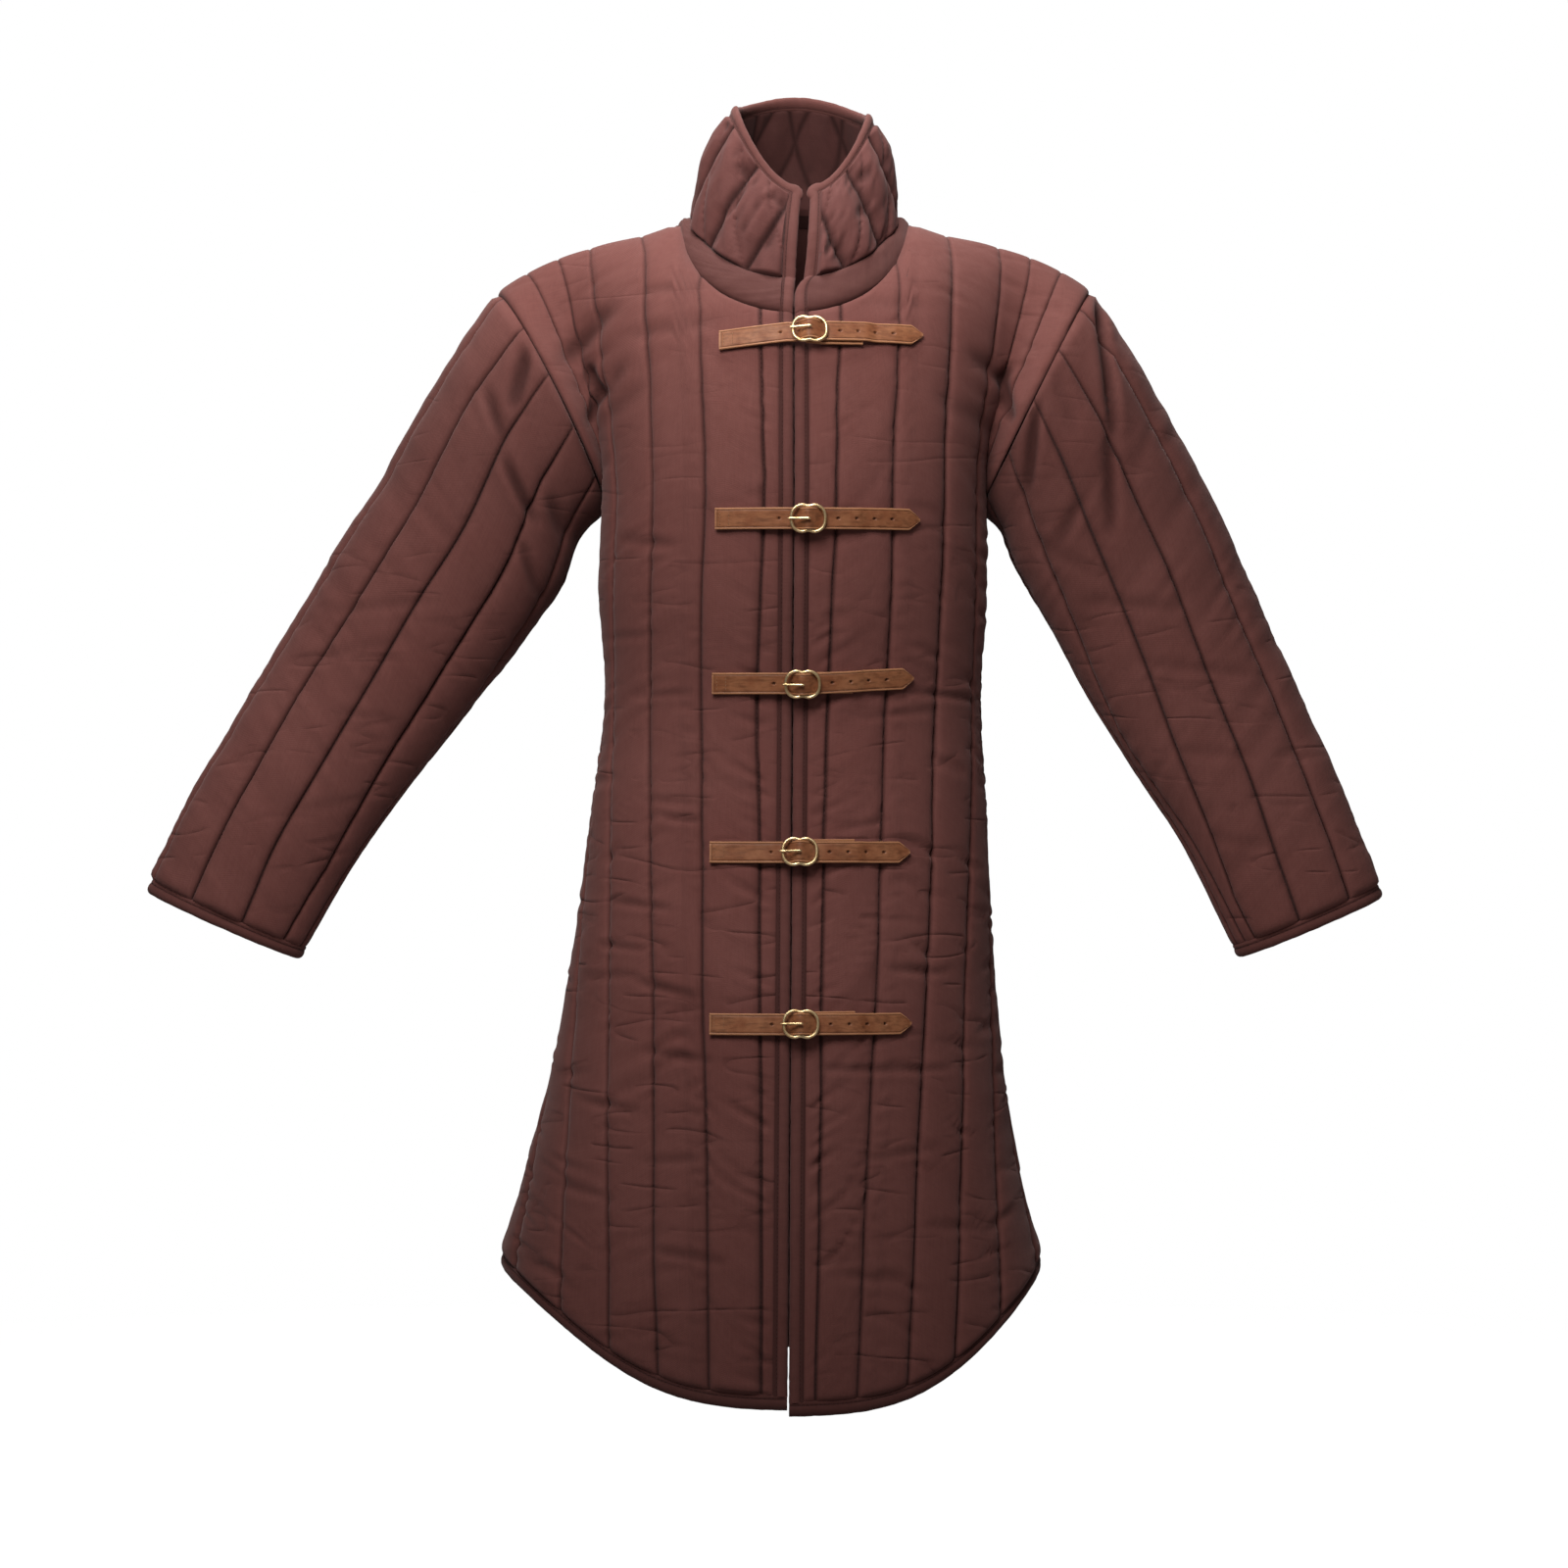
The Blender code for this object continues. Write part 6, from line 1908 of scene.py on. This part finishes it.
def dye_and_shade_group() -> Tree:
    """Uneven dye, worn rises and dark stitch lines, with painted shade in the grooves, creases,
    seams and borders that `near` marks: a colour.
    """
    graph, given, out = new_group(
        "dyed_and_worn",
        {"Colour": (0.15, 0.06, 0.05, 1.0), "Pale": (0.2, 0.09, 0.08, 1.0),
         "Dark": (0.03, 0.01, 0.01, 1.0), "Mottle Scale": 7.0, "Mottle": 0.6, "Line": 0.8},
        {"Colour": COLOUR, "Mottle": VALUE})
    where = graph.place()
    broad = graph.noise(where, given["Mottle Scale"], 5.0, 0.6)
    fine = graph.noise(where, 160.0, 3.0)
    mixed = graph.math("ADD", graph.times(broad, 0.72), graph.times(fine, 0.28))
    mottle = graph.remap(mixed, 0.34, 0.68, 0.0, 1.0)
    dyed = graph.blend(graph.times(mottle, given["Mottle"]), given["Colour"], given["Pale"])
    # darkened where near is high: dark stitches, and painted shade in grooves, creases and seams
    line = graph.times(graph.mark("near"), given["Line"])
    graph.feed(out, {"Colour": graph.blend(line, dyed, given["Dark"]), "Mottle": mottle})
    return graph.tree


def wrinkle_group() -> Tree:
    """Thin wrinkles across the channels, most of them low down: a height and a fold mask."""
    graph, given, out = new_group("thin_wrinkles", {"Amount": 1.0},
                                  {"Height": VALUE, "Fold": VALUE})
    where = graph.place()
    drawn = graph.scaled(where, (8.0, 8.0, 44.0), Rotation=(0.0, 0.06, 0.0))
    wave = graph.math("SUBTRACT", graph.noise(drawn, 1.0, 0.6), 0.5)
    slope = graph.remap(graph.math("ABSOLUTE", wave), 0.0, 0.085, 1.0, 0.0)
    broad = graph.scaled(where, (24.0, 24.0, 36.0), Location=(3.0, 7.0, 0.0))
    patch = graph.remap(graph.noise(broad, 1.0, 1.0), 0.47, 0.58, 0.0, 1.0)
    low = graph.remap(graph.add("SeparateXYZ", {0: where}).outputs["Z"], -0.15, -0.60, 0.30, 1.0)
    fold = graph.times(graph.times(graph.times(slope, slope), patch),
                       graph.times(low, given["Amount"]))
    graph.feed(out, {"Height": graph.times(fold, -1.0), "Fold": fold})
    return graph.tree


def shaded(name: str, constants: dict[str, object]) \
        -> tuple[Material, Graph, bpy.types.Node]:
    """New material with constant inputs of its shader, with its graph and that shader."""
    made = bpy.data.materials.new(name)
    made.use_nodes = True
    shader = made.node_tree.nodes["Principled BSDF"]
    for label, value in constants.items():
        shader.inputs[label].default_value = value
    return made, Graph(made.node_tree), shader


@dataclass(frozen=True)
class Finish:
    """A named finish with its main colour, worn places and dark ones."""

    name: str
    colour: Colour
    pale: Colour
    dark: Colour

    def dyed_and_shaded(self, graph: Graph, tree: Tree, **more: float) -> Outputs:
        """Outputs of the dye-and-shade group with this finish's colours."""
        return graph.add("Group", {"Colour": rgba(self.colour), "Pale": rgba(self.pale),
                                   "Dark": rgba(self.dark), **more}, node_tree=tree).outputs


@dataclass(frozen=True)
class Cotton(Finish):
    """Woven cotton, dyed, drawn darker with painted shade in its lines and creases, on its inside,
    towards the hem and, for the sleeves, below the shoulder.
    """

    threads: float
    # how strongly near darkens it: dark stitches, and painted shade in grooves, creases and seams
    line: float = 0.85
    wrinkles: float = 0.0
    # painted shade: upper_shade darkens the cloth just below the shoulder
    upper_shade: float = 0.0     # how much darker it is below the shoulder
    relief: float = 0.00022
    mottle: float = 0.55
    # how much darker the inner skin and the hem's tape are drawn: painted shade
    inside_shade: float = 0.62

    def material(self, groups: dict[str, Tree]) -> Material:
        """Material of this cotton, from the shared groups."""
        made, graph, shader = shaded(self.name, {
            "Sheen Weight": 0.16, "Sheen Roughness": 0.45, "Specular IOR Level": 0.18,
            "Sheen Tint": (0.62, 0.46, 0.44, 1.0)})
        dark = rgba(self.dark)
        weave = graph.add("Group", {"Threads": self.threads, "Slubs": 0.35},
                          node_tree=groups["weave"]).outputs
        dyed_and_shaded = self.dyed_and_shaded(graph, groups["dye_and_shade"], Mottle=self.mottle, Line=self.line)
        shade = graph.remap(weave["Slub"], 0.0, 1.0, 0.0, 0.13)
        woven = graph.blend(shade, dyed_and_shaded["Colour"], dark)
        height = graph.add("SeparateXYZ", {0: graph.place()}).outputs["Z"]
        # painted shade: the colour darkens towards the hem, by height
        low = graph.remap(height, -0.60, -1.05, 0.0, 0.45)
        wrinkled = graph.add("Group", {"Amount": self.wrinkles},
                             node_tree=groups["wrinkles"]).outputs
        # painted shade in the folds of the thin wrinkles
        folded = graph.times(wrinkled["Fold"], 0.12)
        # painted shade just below the shoulder, fading out further down
        under = graph.remap(height, -0.04, -0.13, 0.0, self.upper_shade)
        above = graph.remap(height, -0.46, -0.20, 0.0, 1.0)
        low = graph.math("ADD", low, graph.times(under, above))
        with_painted_shade = graph.blend(graph.math("ADD", low, folded), woven, dark)
        # painted shade on the inner skin and on the hem's tape
        inside = graph.times(graph.mark("inside"), self.inside_shade)
        creased = graph.add("Bump", {"Height": wrinkled["Height"], "Strength": 0.8,
                                     "Distance": 0.0013}).outputs[0]
        bump = graph.add("Bump", {"Height": weave["Height"], "Strength": 0.55,
                                  "Distance": self.relief, "Normal": creased}).outputs[0]
        graph.feed(shader, {"Base Color": graph.blend(inside, with_painted_shade, dark), "Normal": bump,
                            "Roughness": graph.remap(dyed_and_shaded["Mottle"], 0.0, 1.0, 0.96, 0.82)})
        return made


@dataclass(frozen=True)
class Leather(Finish):
    """Smooth tan leather with a fine grain and paler, worn borders."""

    border: float = 0.75

    def material(self, groups: dict[str, Tree]) -> Material:
        """Material of this leather, from the shared groups."""
        made, graph, shader = shaded(self.name, {
            "Coat Roughness": 0.35, "Coat Weight": 0.03, "Specular IOR Level": 0.20})
        dyed_and_shaded = self.dyed_and_shaded(graph, groups["dye_and_shade"], **{"Mottle Scale": 60.0}, Mottle=0.5, Line=0.8)
        where = graph.place()
        drawn = graph.scaled(where, (60.0, 400.0, 400.0))
        streak = graph.remap(graph.noise(drawn, 1.0, 3.0), 0.45, 0.75, 0.0, 0.55)
        streaked = graph.blend(streak, dyed_and_shaded["Colour"], rgba(self.dark))
        edge = graph.times(graph.mark("edge"), self.border)
        cells = graph.add("TexVoronoi", {"Vector": where, "Scale": 1500.0}).outputs["Distance"]
        grain = graph.math("ADD", graph.times(cells, 0.6), graph.noise(where, 700.0, 3.0))
        bump = graph.add("Bump", {"Height": grain, "Strength": 0.4, "Distance": 0.00018})
        graph.feed(shader, {"Base Color": graph.blend(edge, streaked, rgba(self.pale)),
                            "Roughness": graph.remap(dyed_and_shaded["Mottle"], 0.0, 1.0, 0.58, 0.42),
                            "Normal": bump.outputs[0]})
        return made


@dataclass(frozen=True)
class Brass:
    """Cast brass, softly polished, darker where it is tarnished."""

    name: str
    colour: Colour
    tarnish: Colour

    def material(self, groups: dict[str, Tree]) -> Material:
        """Material of this brass; it needs none of the shared groups."""
        made, graph, shader = shaded(self.name, {"Metallic": 1.0})
        where = graph.place()
        stain = graph.remap(graph.noise(where, 220.0, 4.0), 0.42, 0.72, 0.0, 1.0)
        bump = graph.add("Bump", {"Height": graph.noise(where, 1800.0, 2.0), "Strength": 0.25,
                                  "Distance": 0.0001})
        graph.feed(shader, {
            "Base Color": graph.blend(stain, rgba(self.colour), rgba(self.tarnish)),
            "Roughness": graph.remap(stain, 0.0, 1.0, 0.34, 0.50), "Normal": bump.outputs[0]})
        return made


CLOTH = Cotton("reddish_brown_cotton", (0.141, 0.0472, 0.0395), (0.183, 0.0685, 0.0575),
               (0.020, 0.005, 0.004), 1300.0, line=0.86, wrinkles=1.0)
# the body's cotton drawn brighter for the sleeves, with painted shade below the shoulder: painted
# light and shade
SLEEVE_CLOTH = Cotton("sleeve_cotton", (0.155, 0.0524, 0.0438), (0.200, 0.0753, 0.0633),
                      (0.020, 0.005, 0.004), 1300.0, line=0.86, wrinkles=1.0,
                      upper_shade=0.32)
# the body's cotton drawn darker for the collar: painted shade
COLLAR_CLOTH = Cotton("collar_cotton", (0.110, 0.0365, 0.0315), (0.146, 0.054, 0.047),
                      (0.020, 0.005, 0.004), 1300.0, line=0.95)
# the body's cotton drawn darker for the neck band: painted shade
BAND_CLOTH = Cotton("band_cotton", (0.091, 0.0312, 0.0262), (0.118, 0.0445, 0.0385),
                    (0.020, 0.005, 0.004), 1500.0, line=0.80)
TAPE = Cotton("cotton_tape", (0.115, 0.0390, 0.0328), (0.148, 0.0555, 0.0470),
              (0.020, 0.005, 0.004), 1700.0, line=0.80)
THREAD = Cotton("sewing_thread", (0.075, 0.026, 0.022), (0.110, 0.042, 0.036),
                (0.020, 0.006, 0.006), 4000.0)
TAN = Leather("tan_leather", (0.190, 0.058, 0.022), (0.420, 0.190, 0.090),
              (0.060, 0.018, 0.007))
HIDE_THREAD = Cotton("waxed_thread", (0.250, 0.120, 0.060), (0.330, 0.180, 0.100),
                     (0.060, 0.020, 0.010), 4000.0)
BRASS = Brass("cast_brass", (0.900, 0.680, 0.380), (0.560, 0.360, 0.160))


# ---- the coat

# Cut size of each quilted piece as worn: greatest width and length, and its flat area.
FLAT = {
    "front_right": (0.37, 1.00, 0.27),
    "front_left": (0.37, 1.00, 0.27),
    "back": (0.74, 1.02, 0.55),
    "sleeve_right": (0.56, 0.53, 0.25),
    "sleeve_left": (0.56, 0.53, 0.24),
    "collar": (0.46, 0.12, 0.046),
    "neck_band": (0.52, 0.04, 0.016),
}


@dataclass
class Gambeson:
    """The whole coat, piece by piece."""

    dresser: Dresser = field(default_factory=Dresser)
    skins: dict[str, Skin] = field(default_factory=dict)
    cloth: dict[str, bpy.types.Object] = field(default_factory=dict)
    trims: dict[str, list[bpy.types.Object]] = field(default_factory=dict)
    tape_threads: Stitching = field(default_factory=lambda: Stitching(
        "thread_bindings", pitch=0.0036, half_length=0.0012, radius=0.00032))
    slim: float = 0.72           # thickness of the collar's tape, as a share of the others'
    hem_shade: float = 0.55      # how much darker the hem's tape is drawn: painted shade at its bottom edge
    # how dark the inner border of a tape is drawn: painted shadow
    borders: dict[str, float] = field(default_factory=lambda: {"edge": 0.75, "collar": 0.45})

    def mix_finishes(self) -> None:
        """Build the node groups and the materials."""
        groups = {"weave": weave_group(), "dye_and_shade": dye_and_shade_group(),
                  "wrinkles": wrinkle_group()}
        for finish in (CLOTH, SLEEVE_CLOTH, COLLAR_CLOTH, BAND_CLOTH, TAPE, THREAD, TAN,
                       HIDE_THREAD, BRASS):
            self.dresser.finishes[finish.name] = finish.material(groups)

    def sew(self, key: str, skin: Skin, finish: Cotton, slot: str) -> None:
        """Make one quilted piece from its skins."""
        self.skins[key] = skin
        self.cloth[key] = self.dresser.piece(wall_mesh("cloth_" + key, skin), finish, slot, key)
        self.trims[key] = []

    def bind(self, node: str, owner: str, path: Path, seed: int, closed: bool = False) -> None:
        """Bind one edge with tape, and sew the tape down.

        Args:
            node: The CAD node, whose name the piece takes.
            owner: The quilted piece that carries it.
            path: The edge.
            seed: Number of the gathers' random sequence.
            closed: Whether the edge runs all round.
        """
        tape = Tape(seed, bulge=BINDING_BULGE * (self.slim if owner == "collar" else 1.0),
                    border=self.borders.get(node.split("_")[0], 0.0))
        places, near = tape.rings(path, closed)
        # painted shade on the hem's tape, carried in its inside mark
        shade = np.full(near.shape, self.hem_shade if node.startswith("hem") else 0.0)
        data = tube_mesh("tape_" + node, places, {"near": near, "inside": shade},
                         Closing.BOTH if closed else Closing.COLUMNS)
        self.trims[owner].append(self.dresser.piece(data, TAPE, "cotton_binding", node))
        self.tape_threads.add(*tape.seat(path))

    def make_cloth(self) -> None:
        """Panels, sleeves, neck band and collar, with the thread in their lines."""
        cuts = {
            "front_right": Panel(Face.FRONT, (Side.RIGHT,), quilting=Quilting(seed=3)),
            "front_left": Panel(Face.FRONT, (Side.LEFT,), quilting=Quilting(seed=4)),
            "back": Panel(Face.BACK, (Side.RIGHT, Side.LEFT), parts=9, rows_below=230,
                          rows_above=70, strokes=360, quilting=Quilting(seed=5)),
            "sleeve_right": Sleeve(SLEEVES[Side.RIGHT], turned_out=0.30,
                                   quilting=Quilting(seed=6)),
            "sleeve_left": Sleeve(SLEEVES[Side.LEFT], quilting=Quilting(seed=7)),
        }
        for key, cut in cuts.items():
            finish = SLEEVE_CLOTH if isinstance(cut, Sleeve) else CLOTH
            self.sew(key, cut.skin(), finish, "quilted_cotton")
            threads = Stitching("thread_" + key)
            skin = self.skins[key]
            for column in range(cut.parts, skin.outer.shape[1] - 1, cut.parts):
                threads.add(skin.outer[:, column], skin.lay.normals[:, column], 0.006)
            self.add_threads(key, threads)
        self.sew("neck_band", NeckBand().skin(), BAND_CLOTH, "cotton_binding")
        self.sew("collar", Collar().skin(), COLLAR_CLOTH, "quilted_cotton")

    def add_threads(self, owner: str, threads: Stitching,
                    finish: Cotton = THREAD, slot: str = "cotton_binding") -> None:
        """Make a piece of stitches that goes with another piece."""
        self.trims.setdefault(owner, []).append(
            self.dresser.piece(threads.mesh(), finish, slot))

    def bind_edges(self) -> None:
        """Bindings of the hem, opening, vents, cuffs and collar."""
        band, back, collar = (self.skins[key] for key in ("neck_band", "back", "collar"))
        band_rows = np.arange(1, band.outer.shape[0])
        for side, column in ((Side.LEFT, 0), (Side.RIGHT, band.outer.shape[1] - 1)):
            word = side.name.lower()
            front, sleeve = self.skins["front_" + word], self.skins["sleeve_" + word]
            rows, last = front.outer.shape[0], front.outer.shape[1] - 1
            hem = stretch(front, 0, np.arange(last + 1), (1, 0))
            toward = unit(hem.middle[0] - hem.middle[1]) * (BINDING - SEAM_GAP)
            corner = hem.middle[:1] + toward * np.linspace(1.0, 0.2, 5)[:, None]
            start = Path(corner, np.repeat(hem.normal[:1], 5, axis=0),
                         np.repeat(hem.leave[:1], 5, axis=0))
            vent = stretch(front, np.arange(self.vent_row(front)), last, (0, -1))
            self.bind("hem_binding_front_" + word, "front_" + word, start + hem + vent,
                      40 + side.value)
            edge = (stretch(front, np.arange(rows), 0, (0, 1))
                    + stretch(band, band_rows, column, (0, side.value)))
            self.bind("edge_binding_" + word, "front_" + word, edge, 50 + side.value)
            rows, columns = sleeve.outer.shape[:2]
            cuff = stretch(sleeve, rows - 1, np.arange(columns - 1), (-1, 0))
            self.bind("cuff_binding_" + word, "sleeve_" + word, cuff, 60 + side.value, True)
        vent_rows = np.arange(self.vent_row(back))
        self.bind("hem_binding_back", "back", three_sides(back, vent_rows[::-1], 1), 71)
        self.bind("collar_binding", "collar",
                  three_sides(collar, np.arange(collar.outer.shape[0]), -1), 81)
        self.add_threads("bindings", self.tape_threads)

    def vent_row(self, skin: Skin) -> int:
        """First grid row above the vent, where the side seam begins."""
        return int(np.argmax(np.abs(skin.outer[:, -1, 1]) < 0.001))

    def close_front(self) -> None:
        """Straps, buckle straps, buckles and prongs."""
        threads = Stitching("thread_leather", pitch=0.0028, half_length=0.0010, radius=0.00034)
        for closure in CLOSURES:
            number = closure.number
            for strap, node in ((long_strap(closure), "strap_%d"),
                                (buckle_strap(closure), "buckle_strap_%d")):
                places, near, edge = strap.rings()
                data = tube_mesh(strap.name, places, {"near": near, "edge": edge})
                self.dresser.piece(data, TAN, "tan_leather", node % number)
            for line, normals in long_strap(closure).sewn_rows():
                threads.add(line, normals, 0.0)
            buckle = Buckle(closure)
            for data, node in ((buckle.frame_mesh("brass_buckle_%d" % number), "buckle_%d"),
                               (buckle.prong_mesh("brass_prong_%d" % number), "prong_%d")):
                self.dresser.piece(data, BRASS, "brass", node % number)
        self.add_threads("leather", threads, HIDE_THREAD, "tan_leather")

    def declare(self) -> None:
        """Read each quilted piece's trims as a list; the cut sizes in FLAT are not used."""
        for key, (width, length, area) in FLAT.items():
            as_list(self.trims[key])


# ---- stage

WHITE = (1.0, 1.0, 1.0)

@dataclass(frozen=True)
class Lamp:
    """Soft rectangular light."""

    name: str
    place: tuple[float, float, float]
    aim: tuple[float, float, float]
    size: float
    watts: float

    def hang(self) -> None:
        """Put the light in the scene."""
        data = bpy.data.lights.new(self.name, "AREA")
        data.size = self.size
        data.energy = self.watts
        item = placed(self.name, data)
        item.location = self.place
        item.rotation_mode = "QUATERNION"
        item.rotation_quaternion = (Vector(self.aim) - Vector(self.place)).to_track_quat("-Z", "Y")


LAMPS = (
    Lamp("key_light", (-0.31, -1.25, 0.70), (0.0, 0.0, -0.32), 0.8, 25.5),
    Lamp("top_light", (-0.04, -0.02, 0.78), (0.0, 0.0, -0.3), 0.5, 10.0),
    Lamp("side_light", (2.2, -2.2, 0.9), (0.1, 0.0, -0.4), 1.4, 2.0),
    Lamp("back_light", (-0.4, 2.4, 1.5), (0.0, 0.0, -0.4), 1.6, 22.0),
)


@dataclass(frozen=True)
class Studio:
    """Plain pale floor, soft light and the camera."""

    floor_z: float = -1.32
    floor_size: float = 9.0
    floor_colour: Colour = (0.34, 0.34, 0.34)
    floor_fade: tuple[float, float] = (1.6, 3.4)
    fill: float = 0.11
    floor_glow: tuple[float, float] = (0.04, 0.92)   # for other rays, and for the camera
    camera_place: tuple[float, float, float] = (-0.0068, -3.5, -0.476)
    lens: float = 92.65

    def build(self) -> None:
        """Put the floor, lights, surroundings and camera in the scene."""
        sheet = bmesh.new()
        bmesh.ops.create_grid(sheet, x_segments=1, y_segments=1, size=0.5 * self.floor_size)
        bmesh.ops.translate(sheet, verts=sheet.verts[:], vec=(0.0, 0.0, self.floor_z))
        data = bpy.data.meshes.new("floor")
        sheet.to_mesh(data)
        sheet.free()
        pale, graph, shader = shaded("pale_floor", {
            "Base Color": rgba(self.floor_colour), "Roughness": 0.9,
            "Emission Color": rgba(WHITE)})
        away = graph.add("VectorMath", {0: graph.place()}, operation="LENGTH").outputs["Value"]
        graph.feed(shader, {"Emission Strength": self.seen(graph, self.floor_glow),
                            "Alpha": graph.remap(away, *self.floor_fade, 1.0, 0.0)})
        data.materials.append(pale)
        placed("floor", data)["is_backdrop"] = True
        self.surround()
        for lamp in LAMPS:
            lamp.hang()
        eye = bpy.data.cameras.new("camera")
        eye.lens = self.lens
        eye.sensor_width = 36.0
        camera = placed("camera", eye)
        camera.location = self.camera_place
        camera.rotation_euler = (0.5 * math.pi, 0.0, 0.0)
        bpy.context.scene.camera = camera
        bpy.context.scene.view_settings.view_transform = "Standard"

    def seen(self, graph: Graph, strengths: tuple[float, float]) -> Socket:
        """A strength for the light that it gives, and one for what the camera sees."""
        return graph.remap(graph.add("LightPath").outputs["Is Camera Ray"], 0.0, 1.0, *strengths)

    def surround(self) -> None:
        """White surroundings that light the coat only softly."""
        world = bpy.data.worlds.new("studio")
        world.use_nodes = True
        graph = Graph(world.node_tree)
        back = world.node_tree.nodes["Background"]
        back.inputs["Color"].default_value = rgba(WHITE)
        graph.feed(back, {"Strength": self.seen(graph, (self.fill, 1.0))})
        bpy.context.scene.world = world


def corners(box: tuple[Vector, Vector]) -> list[list[float]]:
    """Both corners of a box as plain lists."""
    return [[float(value) for value in corner] for corner in box]


def main() -> None:
    """Build the coat and its studio."""
    logging.basicConfig(level=logging.INFO, format="%(name)s: %(message)s", stream=sys.stdout)
    coat = Gambeson()
    coat.mix_finishes()
    coat.make_cloth()
    coat.bind_edges()
    coat.close_front()
    coat.declare()
    Studio().build()
    sizes = {"cad": corners(CAD_BOX), "visual": corners(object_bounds())}
    LOG.info("%d pieces", coat.dresser.count)


if __name__ == "__main__":
    main()
